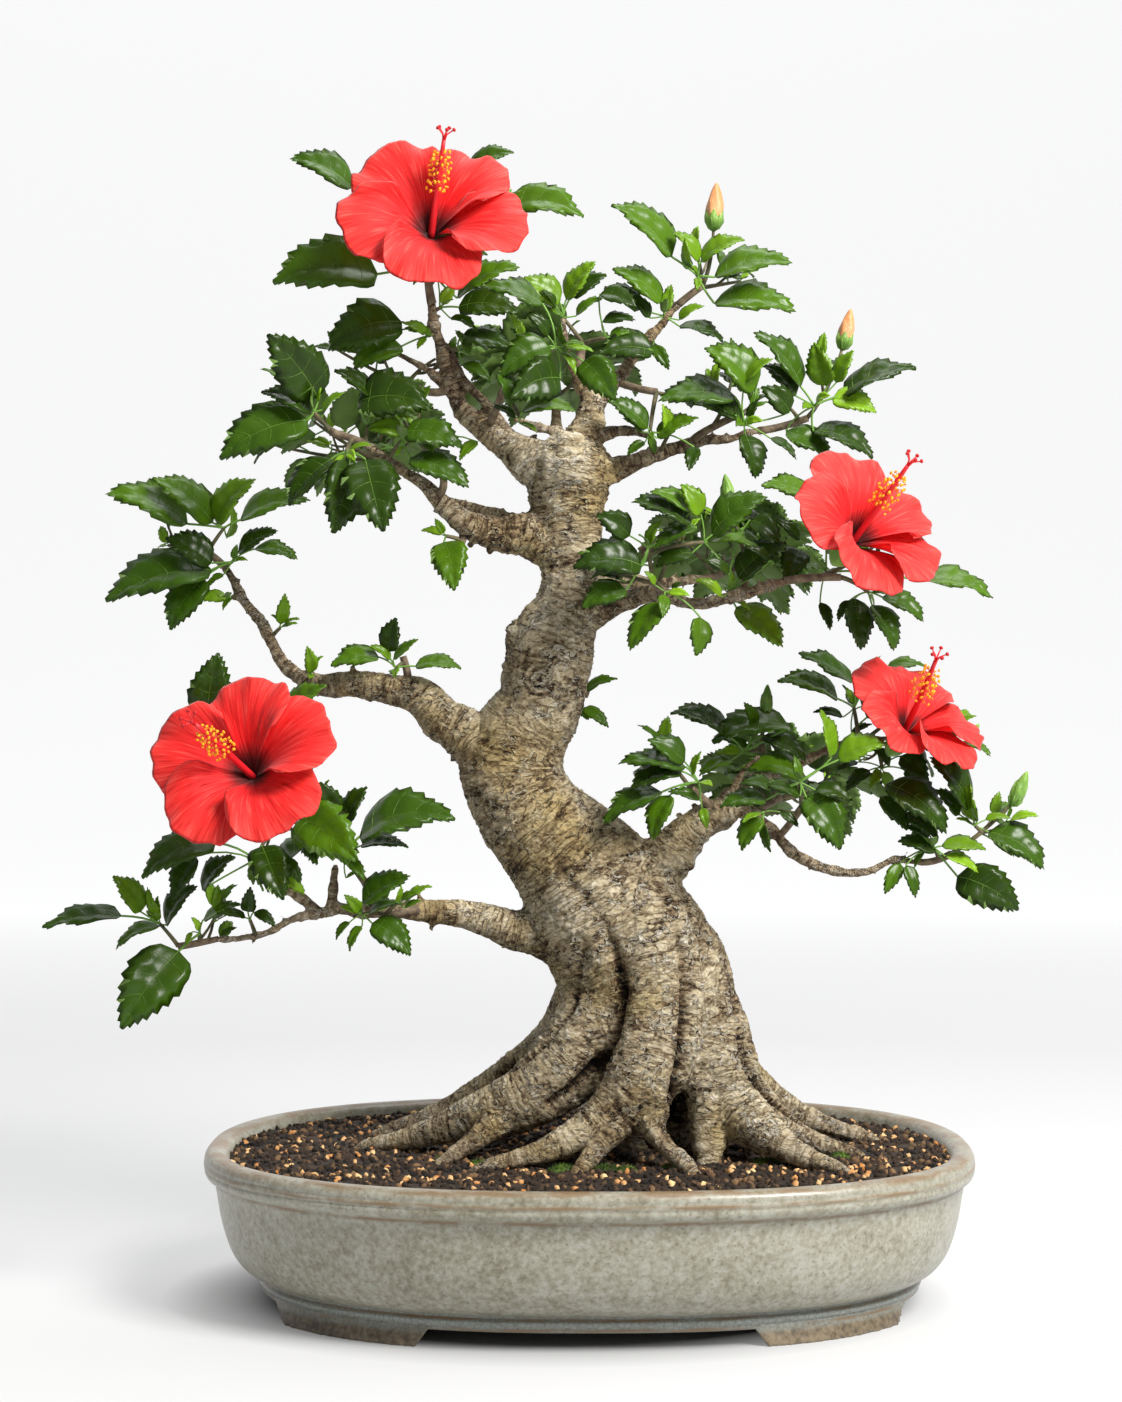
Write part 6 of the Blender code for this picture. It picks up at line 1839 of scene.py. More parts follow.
def glaze_finish():
    """Grey-green stoneware glaze, fired satin: cloudy, speckled with iron, thin and tan on its edges."""
    finish, tree, shader = new_material("stoneware_glaze", {
        "IOR": 1.5, "Coat Weight": 0.25, "Coat Roughness": 0.20,
    })
    place = add_node(tree, "ShaderNodeTexCoord").outputs["Object"]
    height = add_node(tree, "ShaderNodeSeparateXYZ", links={"Vector": place}).outputs["Z"]
    # Clouds of 100 mm, mottles of 12 mm and a grain of 3 mm
    cloud = add_node(tree, "ShaderNodeTexNoise", {"Scale": 10.0, "Detail": 3.0}, {"Vector": place})
    mottle = add_node(tree, "ShaderNodeTexNoise", {"Scale": 85.0, "Detail": 6.0, "Roughness": 0.70},
                      {"Vector": place})
    grit = add_node(tree, "ShaderNodeTexNoise", {"Scale": 340.0, "Detail": 3.0, "Roughness": 0.6},
                    {"Vector": place})
    blend = add_node(tree, "ShaderNodeMath", {"operation": "MULTIPLY", 1: 0.25}, {0: cloud})
    blend = add_node(tree, "ShaderNodeMath", {"operation": "MULTIPLY_ADD", 1: 0.37}, {0: mottle, 2: blend})
    blend = add_node(tree, "ShaderNodeMath", {"operation": "MULTIPLY_ADD", 1: 0.38}, {0: grit, 2: blend})
    body = add_node(tree, "ShaderNodeValToRGB", {"stops": [
        (0.38, "#777360"), (0.46, "#8d8a78"), (0.53, "#9b998a"), (0.62, "#a9a89c"),
    ]}, {"Fac": blend})
    # The band above the feet takes a thicker, bluish glaze
    low = add_node(tree, "ShaderNodeMapRange", {"From Min": 0.0185, "From Max": 0.0160, "To Max": 0.70},
                   {"Value": height})
    pooled = add_node(tree, "ShaderNodeMix", {"data_type": "RGBA", 7: srgb("#87918f")}, {0: low, 6: body})
    # Cracks of the crazed glaze, cells of about 3 mm, only in the low band
    cell = add_node(tree, "ShaderNodeTexVoronoi", {"Scale": 330.0, "feature": "DISTANCE_TO_EDGE"},
                    {"Vector": place})
    crack = add_node(tree, "ShaderNodeMapRange", {"From Min": 0.12, "From Max": 0.0, "To Max": 0.8},
                     {"Value": cell})
    crack = add_node(tree, "ShaderNodeMath", {"operation": "MULTIPLY"}, {0: crack, 1: low})
    crazed = add_node(tree, "ShaderNodeMix", {"data_type": "RGBA", 7: srgb("#5f5b4d")},
                      {0: crack, 6: pooled.outputs[2]})
    # Iron specks about 1 mm wide, one to every 4 mm
    speck = add_node(tree, "ShaderNodeTexVoronoi", {"Scale": 260.0, "Randomness": 1.0}, {"Vector": place})
    speck = add_node(tree, "ShaderNodeMapRange", {"From Min": 0.22, "From Max": 0.12, "To Max": 0.45},
                     {"Value": speck})
    specked = add_node(tree, "ShaderNodeMix", {"data_type": "RGBA", 7: srgb("#5d5440")},
                       {0: speck, 6: crazed.outputs[2]})
    # The lip's upper edge, the groove below it and the band's edges burn tan and brown
    edges = None
    for middle, reach in ((0.0826, 0.0034), (0.0758, 0.0018), (0.0672, 0.0014), (0.0150, 0.0012),
                          (0.0096, 0.0016)):
        off = add_node(tree, "ShaderNodeMath", {"operation": "SUBTRACT", 1: middle}, {0: height})
        off = add_node(tree, "ShaderNodeMath", {"operation": "ABSOLUTE"}, {0: off})
        edge = add_node(tree, "ShaderNodeMapRange", {"From Min": reach, "From Max": 0.2 * reach},
                        {"Value": off})
        if edges is not None:
            edge = add_node(tree, "ShaderNodeMath", {"operation": "MAXIMUM"}, {0: edges, 1: edge})
        edges = edge
    long = add_node(tree, "ShaderNodeMapping", {"Scale": (0.3, 0.3, 2.5)}, {"Vector": place})
    streak = add_node(tree, "ShaderNodeTexNoise", {"Scale": 150.0, "Detail": 4.0}, {"Vector": long})
    worn = add_node(tree, "ShaderNodeMapRange", {"From Min": 0.40, "From Max": 0.60, "To Min": 0.15},
                    {"Value": streak})
    worn = add_node(tree, "ShaderNodeMath", {"operation": "MULTIPLY"}, {0: edges, 1: worn})
    worn = add_node(tree, "ShaderNodeMath", {"operation": "MULTIPLY", 1: 0.85}, {0: worn})
    edged = add_node(tree, "ShaderNodeMix", {"data_type": "RGBA", 7: srgb("#7d6242")},
                     {0: worn, 6: specked.outputs[2]})
    # Little glaze reaches the feet, so the brown clay shows through
    foot = add_node(tree, "ShaderNodeMapRange", {"From Min": 0.0094, "From Max": 0.0060, "To Max": 0.95},
                    {"Value": height})
    clay = add_node(tree, "ShaderNodeValToRGB", {"stops": [(0.40, "#463a2a"), (0.60, "#81725a")]},
                    {"Fac": blend})
    footed = add_node(tree, "ShaderNodeMix", {"data_type": "RGBA"}, {0: foot, 6: edged.outputs[2], 7: clay})
    tree.links.new(footed.outputs[2], shader.inputs["Base Color"])
    matt = add_node(tree, "ShaderNodeMapRange", {"To Min": 0.28, "To Max": 0.55}, {"Value": mottle})
    tree.links.new(matt.outputs[0], shader.inputs["Roughness"])
    relief = add_node(tree, "ShaderNodeBump", {"Strength": 0.5, "Distance": 0.0007}, {"Height": blend})
    tree.links.new(relief.outputs["Normal"], shader.inputs["Normal"])
    return finish


def earthy_finish(name, dark, light, grain, rough):
    """Something from the ground, dull and uneven: two colours broken up by a grain."""
    finish, tree, shader = new_material(name, {"Roughness": rough})
    place = add_node(tree, "ShaderNodeTexCoord").outputs["Object"]
    cloud = add_node(tree, "ShaderNodeTexNoise", {"Scale": 0.5 / grain, "Detail": 4.0}, {"Vector": place})
    tone = add_node(tree, "ShaderNodeValToRGB", {"stops": [(0.35, dark), (0.65, light)]}, {"Fac": cloud})
    tree.links.new(tone.outputs["Color"], shader.inputs["Base Color"])
    relief = add_node(tree, "ShaderNodeBump", {"Strength": 0.7, "Distance": grain * 0.5}, {"Height": cloud})
    tree.links.new(relief.outputs["Normal"], shader.inputs["Normal"])
    return finish


def petal_finish():
    """Hibiscus petal: matt velvet red, maroon in the throat, streaked outwards, paler at the edge."""
    finish, tree, shader = new_material("petal", {
        "Roughness": 0.62, "Sheen Weight": 0.12, "Sheen Roughness": 0.4, "Specular IOR Level": 0.25,
        "Subsurface Weight": 0.10, "Subsurface Radius": (0.003, 0.0008, 0.0006),
    })
    along = add_node(tree, "ShaderNodeAttribute", {"attribute_name": "petal_along"}).outputs["Fac"]
    across = add_node(tree, "ShaderNodeAttribute", {"attribute_name": "petal_across"}).outputs["Fac"]
    tone = add_node(tree, "ShaderNodeValToRGB", {"stops": [
        (0.05, "#2a0004"), (0.16, "#56040a"), (0.23, "#a40a12"), (0.32, "#de161b"), (0.78, "#e82a27"),
        (1.0, "#ea3c36"),
    ]}, {"Fac": along})
    # Veins fan out from the throat: noise that is long along the petal and narrow across it
    fan = add_node(tree, "ShaderNodeCombineXYZ", links={"X": across})
    long = add_node(tree, "ShaderNodeMath", {"operation": "MULTIPLY", 1: 0.10}, {0: along})
    tree.links.new(long.outputs[0], fan.inputs["Y"])
    vein = add_node(tree, "ShaderNodeTexNoise", {"Scale": 26.0, "Detail": 4.0}, {"Vector": fan})
    dark = add_node(tree, "ShaderNodeMapRange", {"From Min": 0.50, "From Max": 0.32, "To Max": 0.70},
                    {"Value": vein})
    veined = add_node(tree, "ShaderNodeMix",
                      {"data_type": "RGBA", "blend_type": "MULTIPLY", 7: srgb("#c0141c")},
                      {0: dark, 6: tone})
    pale = add_node(tree, "ShaderNodeMapRange", {"From Min": 0.56, "From Max": 0.74, "To Max": 0.42},
                    {"Value": vein})
    lit = add_node(tree, "ShaderNodeMix", {"data_type": "RGBA", 7: srgb("#ff8273")},
                   {0: pale, 6: veined.outputs[2]})
    tree.links.new(lit.outputs[2], shader.inputs["Base Color"])
    relief = add_node(tree, "ShaderNodeBump", {"Strength": 0.5, "Distance": 0.0006}, {"Height": vein})
    tree.links.new(relief.outputs["Normal"], shader.inputs["Normal"])
    return finish


def oval(inset, height, points=OVAL_POINTS, grow=1.0):
    """A ring of the pot's superellipse."""
    half_x = (POT_LENGTH / 2 - inset) * grow
    half_y = (POT_DEPTH / 2 - inset) * grow
    ring = []
    for turn in turns(points):
        wide, deep = math.cos(turn), math.sin(turn)
        ring.append((
            half_x * math.copysign(abs(wide) ** (2 / OVAL_POWER), wide),
            half_y * math.copysign(abs(deep) ** (2 / OVAL_POWER), deep),
            height,
        ))
    return ring


# The pot's lip with its groove, the band round its base, and its inside, as (inset, height)
LIP = [
    (0.0058, 0.0650), (0.0052, 0.0663), (0.0054, 0.0674), (0.0042, 0.0683), (0.0018, 0.0694),
    (0.0004, 0.0718), (0.0002, 0.0733), (0.0007, 0.0740), (0.0000, 0.0748), (0.0000, 0.0768),
    (0.0006, 0.0776), (0.0002, 0.0784), (0.0006, 0.0800), (0.0022, 0.0820), (0.0046, 0.0829),
]
BASE_BAND = [
    (0.0330, 0.0080), (0.0306, 0.0085), (0.0296, 0.0094), (0.0300, 0.0102), (0.0298, 0.0112),
    (0.0286, 0.0120), (0.0282, 0.0132), (0.0286, 0.0144), (0.0300, 0.0152),
]
INSIDE_WALL = [(0.0085, 0.0828), (0.0112, 0.0815), (0.0130, 0.0790), (0.0180, 0.0400), (0.0340, 0.0190)]
# The feet: their section as (inset, height), half the openings between them at the floor and at their
# root, and their mesh
FOOT_ROOT = 0.0120
FOOT_SECTION = [(0.0268, 0.0), (0.0300, FOOT_ROOT), (0.0700, FOOT_ROOT), (0.0700, 0.0)]
FRONT_OPENING = (0.0880, 0.0790)
SIDE_OPENING = (0.0800, 0.0600)
FOOT_STEPS = 24
FOOT_VOXEL = 0.0012
FOOT_SMOOTHING = 3


def make_pot(finish):
    """The pot's body: rolled lip, groove, swelling wall and the beaded band round its base."""
    profile = smooth_path(BASE_BAND + BODY_WALL[:-1] + LIP, 0.0011) + INSIDE_WALL
    body = Gathered()
    points = []
    for inset, height in profile:
        for x, y, z in oval(inset, height):
            wobble = 1 + noise.noise(Vector((x, y, 3 * z)) * 14) * 0.0022
            points.append((x * wobble, y * wobble, z))
    body.add(points, ring_faces(len(profile), OVAL_POINTS))
    return body.piece("pot_body", [finish])


def make_feet(finish):
    """Four low feet that follow the oval, fused softly as one skin of glaze would leave them."""
    blocks = Gathered()
    for flip_x in (1, -1):
        for flip_y in (1, -1):
            rings = []
            for i in range(FOOT_STEPS + 1):
                share = i / FOOT_STEPS
                ring = []
                for inset, height in FOOT_SECTION:
                    half_x, half_y = POT_LENGTH / 2 - inset, POT_DEPTH / 2 - inset
                    up = height / FOOT_ROOT
                    front = FRONT_OPENING[0] + (FRONT_OPENING[1] - FRONT_OPENING[0]) * up
                    side = SIDE_OPENING[0] + (SIDE_OPENING[1] - SIDE_OPENING[0]) * up
                    first = math.asin(min(1.0, side / half_y) ** (OVAL_POWER / 2))
                    last = math.acos(min(1.0, front / half_x) ** (OVAL_POWER / 2))
                    turn = first + (last - first) * share
                    ring.append(Vector((
                        flip_x * half_x * math.cos(turn) ** (2 / OVAL_POWER),
                        flip_y * half_y * math.sin(turn) ** (2 / OVAL_POWER),
                        height,
                    )))
                rings.append(ring if flip_x * flip_y > 0 else list(reversed(ring)))
            blocks.add([p for ring in rings for p in ring], ring_faces(len(rings), len(FOOT_SECTION)))
    mesh = fused(blocks, "pot_feet", finish, FOOT_VOXEL, FOOT_SMOOTHING)
    mesh.shade_smooth()
    return add_object("pot_feet", mesh)


# The soil: the plain block in the pot as (inset, height), then the inset and the rings of its top
SOIL_BLOCK = [(0.0345, 0.0200), (0.0182, 0.0410), (0.0137, 0.0720)]
SOIL_EDGE = 0.0134
SOIL_RINGS = 34
SOIL_SIDES = 160


def make_soil(finish):
    """The soil's bed: a lumpy top, a little higher round the trunk, over a plain block in the pot."""
    bed = Gathered()
    points = [point for inset, height in SOIL_BLOCK for point in oval(inset, height, SOIL_SIDES)]
    for i in range(SOIL_RINGS):
        share = 1 - i / SOIL_RINGS
        for x, y, _ in oval(SOIL_EDGE, 0, SOIL_SIDES, share):
            lumps = noise.noise(Vector((x, y, 0)) * 60) * 0.0011
            lumps += noise.noise(Vector((x, y, 5)) * 190) * 0.0007
            mound = 0.0012 * math.exp(-((x - 0.02) ** 2 + y * y) / 0.006)
            points.append((x, y, SOIL_TOP - 0.0012 + lumps + mound))
    points.append((0.0, 0.0, SOIL_TOP - 0.0002))
    bed.add(points, dome_faces(len(SOIL_BLOCK) + SOIL_RINGS, SOIL_SIDES))
    return bed.piece("soil_bed", [finish])


def scatter_tree():
    """A Geometry Nodes tree that strews grains over the upward faces of a mesh and drops the mesh."""
    tree = bpy.data.node_groups.new("strewn_grains", "GeometryNodeTree")
    tree.interface.new_socket("Geometry", in_out="INPUT", socket_type="NodeSocketGeometry")
    for name, kind in (
        ("Density", "NodeSocketFloat"), ("Smallest", "NodeSocketFloat"), ("Largest", "NodeSocketFloat"),
        ("Seed", "NodeSocketInt"), ("Lean", "NodeSocketFloat"), ("Grain", "NodeSocketObject"),
        ("Finish", "NodeSocketMaterial"),
    ):
        tree.interface.new_socket(name, in_out="INPUT", socket_type=kind)
    tree.interface.new_socket("Geometry", in_out="OUTPUT", socket_type="NodeSocketGeometry")
    given = add_node(tree, "NodeGroupInput")
    normal = add_node(tree, "GeometryNodeInputNormal")
    rise = add_node(tree, "ShaderNodeSeparateXYZ", links={0: normal}).outputs["Z"]
    top = add_node(tree, "FunctionNodeCompare",
                   {"data_type": "FLOAT", "operation": "GREATER_THAN", 1: 0.5}, {0: rise})
    strewn = add_node(tree, "GeometryNodeDistributePointsOnFaces", {"distribute_method": "RANDOM"}, {
        "Mesh": given.outputs["Geometry"], "Selection": top, "Density": given.outputs["Density"],
        "Seed": given.outputs["Seed"],
    })
    turn = add_node(tree, "FunctionNodeRandomValue",
                    {"data_type": "FLOAT_VECTOR", 0: (-1.0, -1.0, 0.0), 1: (1.0, 1.0, 1.0)},
                    {"Seed": given.outputs["Seed"]})
    lean = add_node(tree, "ShaderNodeCombineXYZ", {"Z": 6.2832}, {
        "X": given.outputs["Lean"], "Y": given.outputs["Lean"],
    })
    turned = add_node(tree, "ShaderNodeVectorMath", {"operation": "MULTIPLY"},
                      {0: turn.outputs[0], 1: lean})
    limits = [
        add_node(tree, "ShaderNodeCombineXYZ", links={axis: given.outputs[name] for axis in "XYZ"})
        for name in ("Smallest", "Largest")
    ]
    size = add_node(tree, "FunctionNodeRandomValue", {"data_type": "FLOAT_VECTOR"},
                    {0: limits[0], 1: limits[1], "Seed": given.outputs["Seed"]})
    grain = add_node(tree, "GeometryNodeObjectInfo", links={"Object": given.outputs["Grain"]})
    placed = add_node(tree, "GeometryNodeInstanceOnPoints", {}, {
        "Points": strewn.outputs["Points"], "Instance": grain.outputs["Geometry"],
        "Rotation": turned, "Scale": size.outputs[0],
    })
    real = add_node(tree, "GeometryNodeRealizeInstances", links={0: placed})
    done = add_node(tree, "GeometryNodeSetMaterial", links={
        "Geometry": real, "Material": given.outputs["Finish"],
    })
    add_node(tree, "NodeGroupOutput", links={0: done})
    return tree


def strew(tree, name, ground, grain, finish, density, smallest, largest, seed, lean=3.1416, smooth=True):
    """Strews one kind of grain over a ground mesh, as a plain joined piece."""
    holder = add_object(name, ground.data.copy())
    grow = holder.modifiers.new("strewn", "NODES")
    grow.node_group = tree
    values = {
        "Density": density, "Smallest": smallest, "Largest": largest, "Seed": seed, "Lean": lean,
        "Grain": grain, "Finish": finish,
    }
    for item in tree.interface.items_tree:
        if item.in_out == "INPUT" and item.name in values:
            grow[item.identifier] = values[item.name]
    mesh = evaluated(holder, name)
    holder.modifiers.clear()
    holder.data = mesh
    if smooth:
        mesh.shade_smooth()
    return holder


def seed_shape(name, points, faces):
    """A small shape to strew; it is taken out again once the strewn pieces are made."""
    mesh = bpy.data.meshes.new(name)
    mesh.from_pydata(points, [], faces)
    return add_object(name, mesh)


def crumb_shape():
    """A crumb of 20 faces, one unit across and uneven."""
    bm = bmesh.new()
    bmesh.ops.create_icosphere(bm, subdivisions=1, radius=0.5)
    rng = random.Random(31)
    for vert in bm.verts:
        vert.co *= rng.uniform(0.72, 1.15)
        vert.co.z *= 0.8
    mesh = bpy.data.meshes.new("crumb")
    bm.to_mesh(mesh)
    bm.free()
    return add_object("crumb", mesh)


# The mesh of a patch of moss, and its fur: leaves to a square metre, their smallest and largest length,
# the seed, and how far they lean
MOSS_RINGS = 4
MOSS_SIDES = 14
FUR = (1600000.0, 0.0012, 0.0028, 5)
FUR_LEAN = 0.9
# Patches of moss between the feet of the roots: middle, radius
MOSS = [
    (-0.074, -0.034, 0.007), (-0.058, -0.052, 0.006), (-0.014, -0.066, 0.007), (0.008, -0.066, 0.007),
    (0.018, -0.070, 0.005), (0.046, -0.066, 0.006), (0.044, -0.058, 0.006), (0.094, -0.044, 0.006),
    (0.116, -0.040, 0.006), (0.134, -0.026, 0.005), (0.010, 0.075, 0.009), (0.066, 0.062, 0.008),
]


def make_moss(tree, finish):
    """Thin pads of moss, each a low dome under a fur of small pointed leaves."""
    domes = Gathered()
    for x, y, radius in MOSS:
        points = []
        for i in range(MOSS_RINGS):
            turn_up = math.pi / 2 * i / MOSS_RINGS
            height = SOIL_TOP - 0.0006 + 0.0024 * math.sin(turn_up)
            for turn in turns(MOSS_SIDES):
                out = Vector((math.cos(turn), math.sin(turn), 0))
                wave = 1 + 0.9 * noise.noise(Vector((x, y, 0)) * 90 + out * 0.9)
                flat = out * radius * math.cos(turn_up) * wave
                points.append((x + flat.x, y + 0.7 * flat.y, height))
        points.append((x, y, SOIL_TOP + 0.0019))
        domes.add(points, dome_faces(MOSS_RINGS, MOSS_SIDES))
    bed = domes.piece("moss_bed", [finish])
    blade = seed_shape("moss_leaf", [(-0.12, -0.07, 0), (0.12, -0.07, 0), (0, 0.14, 0), (0, 0, 1)],
                       [(0, 2, 1), (0, 1, 3), (1, 2, 3), (2, 0, 3)])
    fur = strew(tree, "moss_fur", bed, blade, finish, *FUR, lean=FUR_LEAN, smooth=False)
    bpy.data.objects.remove(blade)
    return bed, fur


def region_of(name):
    """The piece of leaves that a mass belongs to."""
    if "back" in name:
        return "back"
    if "left" in name and "top_left" not in name:
        return "left"
    if "right" in name and "crown_right" not in name:
        return "right"
    return "crown"


def bloom_screen(bloom):
    """The disc that a bloom covers."""
    throat, facing, side, up = bloom_axes(bloom)
    radius = bloom["radius"]
    middle = throat + facing * radius * 0.3
    rim = [
        middle + (side * math.cos(turn) + up * math.sin(turn)) * radius * 0.92
        for turn in turns(BLOOM_SIDES)
    ]
    return rim, [tuple(range(BLOOM_SIDES))]


def solid_of(name):
    """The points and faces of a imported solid, measured from the middle of the pot."""
    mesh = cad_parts[name].data
    return [vert.co - POT_MIDDLE for vert in mesh.vertices], [tuple(f.vertices) for f in mesh.polygons]


def limb_surfaces():
    """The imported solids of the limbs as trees: each by its name, and all of them as one."""
    surfaces = {}
    all_points, all_faces = [], []
    for name in ["trunk"] + list(BOUGHS):
        points, faces = solid_of(name)
        surfaces[name] = BVHTree.FromPolygons(points, faces)
        all_faces += [tuple(i + len(all_points) for i in face) for face in faces]
        all_points += points
    return surfaces, BVHTree.FromPolygons(all_points, all_faces)


def make_foliage():
    """Grows every mass, then joins what is of one kind: leaves by region, stalks and twigs."""
    surfaces, limbs_tree = limb_surfaces()
    stems = {name: stem_tree(name, surfaces) for name in MASSES}
    blooms = {name: bloom_trees(bloom) for name, bloom in BLOOMS.items()}
    growths = []
    for name in MASSES:
        others = [tree for other, tree in stems.items() if other != name]
        others += [tree for other, trees in blooms.items() if other != name for tree in trees]
        growths.append(Growth(name, surfaces, limbs_tree, others))
        growths[-1].show()
    shown = Gathered()
    for growth in growths:
        for points, faces in growth.shown:
            shown.add(points, faces)
    for bloom in BLOOMS.values():
        shown.add(*bloom_screen(bloom))
    for name in ["trunk"] + list(BOUGHS):
        if "back" not in name:
            shown.add(*solid_of(name))
    screen = BVHTree.FromPolygons([Vector(p) for p in np.concatenate(shown.points)], shown.faces)
    leaves = {region: Gathered() for region in REGIONS}
    stalks, twigs = Gathered(), Gathered()
    for growth in growths:
        growth.fill(screen)
        reach = 7 if growth.mass["shoots"] else 4
        add_tube(twigs, growth.stem[:reach], growth.stem_radii[:reach], 8, leave=growth.leave)
        for points, radii in growth.twigs + growth.side_twigs:
            add_tube(twigs, points, radii, 6, 1)
        for leaf, tint in growth.leaves:
            add_leaf(leaves[region_of(growth.name)], stalks, leaf, tint, growth.fine)
    return leaves, stalks, twigs


def finish_piece(piece, replaced=()):
    """Sets a finished piece on the plant's one body and hides the solids that it stands for."""
    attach(piece, "root")
    if replaced:
        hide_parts(*replaced)


# The lamps: name, place, size in metres, power in watts and colour; both face the plant's middle
LAMP_AIM = (0, 0, 0.30)
LAMPS = [
    ("key", (1.10, -1.10, 1.60), 0.80, 72, "#fffcf8"),
    ("top", (0.25, 0.55, 2.00), 1.00, 14, "#ffffff"),
]
# The paper lies flat up to its bend, and goes up a quarter of a circle into a wall
PAPER_SIDE = 8.0
PAPER_FRONT, PAPER_BEND = -2.2, 2.6
PAPER_RADIUS, PAPER_TOP = 2.0, 7.0
BEND_STEPS = 16
# Its glow by the distance from the pot's middle: where a ramp begins, where it ends and how much it adds.
# The first keeps the pot's shadow faint beyond its foot, and the second makes up on the wall for the lamps.
PAPER_GLOWS = [(0.155, 0.215, 0.46), (1.4, 3.4, 0.30)]
POT_STRETCH = 1.24


def add_lamp(name, place, size, power, colour):
    """A square of soft light."""
    light = bpy.data.lights.new(name, "AREA")
    light.shape = "SQUARE"
    light.size = size
    light.energy = power
    light.color = srgb(colour)[:3]
    holder = add_object(name, light)
    holder.location = place
    holder.rotation_euler = (Vector(LAMP_AIM) - Vector(place)).to_track_quat("-Z", "Y").to_euler()


def make_studio():
    """A sweep of lit white paper, soft light from the right and front, and the photo's camera."""
    paper, tree, shader = new_material("studio_paper", {
        "Roughness": 0.9, "Base Color": srgb("#a0a1a2"), "Emission Color": srgb("#fbfbfb"),
    })
    place = add_node(tree, "ShaderNodeTexCoord").outputs["Object"]
    round_pot = add_node(tree, "ShaderNodeMapping", {"Scale": (1.0, POT_STRETCH, 1.0)}, {"Vector": place})
    away = add_node(tree, "ShaderNodeVectorMath", {"operation": "LENGTH"}, {"Vector": round_pot})
    near, far = (
        add_node(tree, "ShaderNodeMapRange", {"From Min": begin, "From Max": end, "To Max": glow},
                 {"Value": away.outputs["Value"]})
        for begin, end, glow in PAPER_GLOWS
    )
    glow = add_node(tree, "ShaderNodeMath", {"operation": "ADD"}, {0: near, 1: far})
    tree.links.new(glow.outputs[0], shader.inputs["Emission Strength"])
    profile = [(PAPER_FRONT, 0.0), (PAPER_BEND, 0.0)]
    for i in range(1, BEND_STEPS + 1):
        turn = i * math.pi / 2 / BEND_STEPS
        profile.append((
            PAPER_BEND + PAPER_RADIUS * math.sin(turn), PAPER_RADIUS - PAPER_RADIUS * math.cos(turn),
        ))
    profile.append((PAPER_BEND + PAPER_RADIUS, PAPER_TOP))
    sweep = bpy.data.meshes.new("paper_sweep")
    sweep.from_pydata(
        [(x, y, z) for y, z in profile for x in (-PAPER_SIDE, PAPER_SIDE)], [],
        [(2 * i, 2 * i + 1, 2 * i + 3, 2 * i + 2) for i in range(len(profile) - 1)],
    )
    sweep.materials.append(paper)
    sweep.shade_smooth()
    holder = add_object("paper_sweep", sweep)
    world = bpy.data.worlds.new("studio")
    world.use_nodes = True
    back = world.node_tree.nodes["Background"]
    back.inputs["Color"].default_value = srgb("#f6f7f8")
    back.inputs["Strength"].default_value = 0.28
    bpy.context.scene.world = world
    bpy.context.scene.view_settings.view_transform = "Standard"
    for lamp in LAMPS:
        add_lamp(*lamp)
    view = bpy.data.cameras.new("camera")
    view.sensor_fit = "VERTICAL"
    view.sensor_height = SENSOR_HEIGHT
    view.lens = CAMERA_LENS
    eye = add_object("camera", view)
    eye.location = CAMERA_PLACE
    eye.rotation_euler = (math.pi / 2, 0, 0)
    bpy.context.scene.camera = eye


make_studio()
glaze = glaze_finish()
pot = make_pot(glaze)
finish_piece(pot, ["pot"])
finish_piece(make_feet(glaze), ["pot"])

loam = earthy_finish("damp_loam", "#120c07", "#3a2a1c", 0.0060, 0.92)
brown_crumb = earthy_finish("brown_crumb", "#3a2a1b", "#7d6040", 0.0060, 0.9)
pumice = earthy_finish("tan_pumice", "#b8732f", "#ecc890", 0.0070, 0.8)
moss_green = earthy_finish("moss", "#2c3d10", "#5c7a22", 0.0040, 0.8)
bed = make_soil(loam)
grains = scatter_tree()
crumb = crumb_shape()
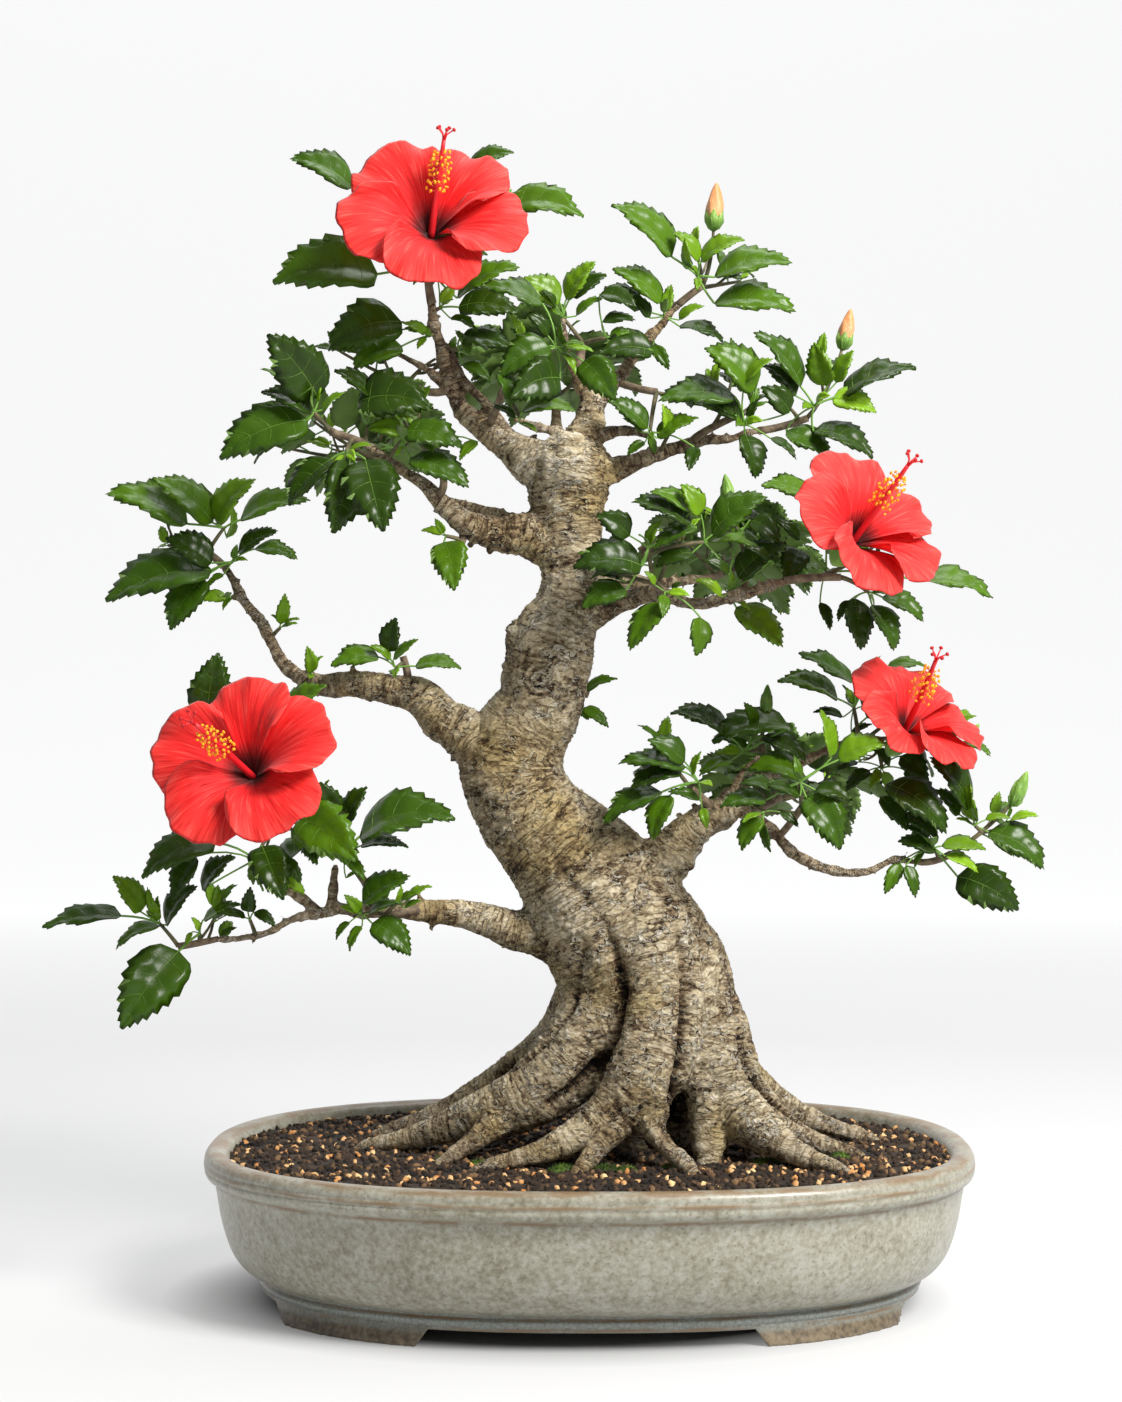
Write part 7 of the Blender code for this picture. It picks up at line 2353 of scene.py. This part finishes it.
# Each kind of grain: how many to a square metre, its smallest and largest size, its seed
for name, finish, density, smallest, largest, seed in (
    ("soil_crumbs", loam, 36000.0, 0.0026, 0.0062, 11),
    ("brown_crumbs", brown_crumb, 11000.0, 0.0026, 0.0064, 23),
    ("pumice_grains", pumice, 4400.0, 0.0030, 0.0066, 47),
):
    finish_piece(strew(grains, name, bed, crumb, finish, density, smallest, largest, seed))
finish_piece(bed, ["soil"])
bpy.data.objects.remove(crumb)
for part in make_moss(grains, moss_green):
    finish_piece(part)

bark = wood_finish()
trunk_bark, bough_bark = make_wood(bark)
finish_piece(trunk_bark, ["trunk"])
finish_piece(bough_bark, list(BOUGHS))

leaves, stalks, twigs = make_foliage()
leaf_set = leaf_finishes()
for region in REGIONS:
    names = [name for name in MASSES if region_of(name) == region]
    finish_piece(leaves[region].piece("leaves_" + region, leaf_set), names)
stalk_green = plain_finish("leaf_stalk", 0.5, "#6d9a3a")
young_wood = earthy_finish("young_wood", "#44452a", "#6d6344", 0.0030, 0.7)
old_wood = earthy_finish("twig_bark", "#58483a", "#84745c", 0.0020, 0.8)
finish_piece(stalks.piece("leaf_stalks", [stalk_green]))
finish_piece(twigs.piece("twigs", [old_wood, young_wood]))

petals, centres, cups = Gathered(), Gathered(), Gathered()
for name, bloom in BLOOMS.items():
    add_petals(petals, bloom)
    add_column(centres, bloom)
    add_bloom_green(cups, bloom)
surfaces, _ = limb_surfaces()
for number, (owner, tip, length) in enumerate(BUDS):
    mass = MASSES[owner]
    hub = hub_of(*stem_start(mass, surfaces[mass["limb"]])[:2], Room(owner))
    add_bud(cups, tip, length, hub, number in RIPE_BUDS)
red_tube = plain_finish("column_red", 0.45, "#dc1c26")
thread = plain_finish("anther_thread", 0.5, "#e8604a")
pollen = plain_finish("pollen", 0.85, "#f6a91d")
stigma = plain_finish("stigma_velvet", 0.8, "#b8141c")
cup_green = earthy_finish("calyx_green", "#4f7a2a", "#7fa545", 0.0060, 0.5)
ripe = earthy_finish("ripe_bud", "#cf8a55", "#e3a876", 0.0060, 0.5)
petal_piece = petals.piece("petals", [petal_finish()], mark_names=("petal_along", "petal_across"))
finish_piece(petal_piece)
finish_piece(centres.piece("bloom_centres", [red_tube, thread, pollen, stigma]))
finish_piece(cups.piece("calyces_and_buds", [cup_green, ripe]))
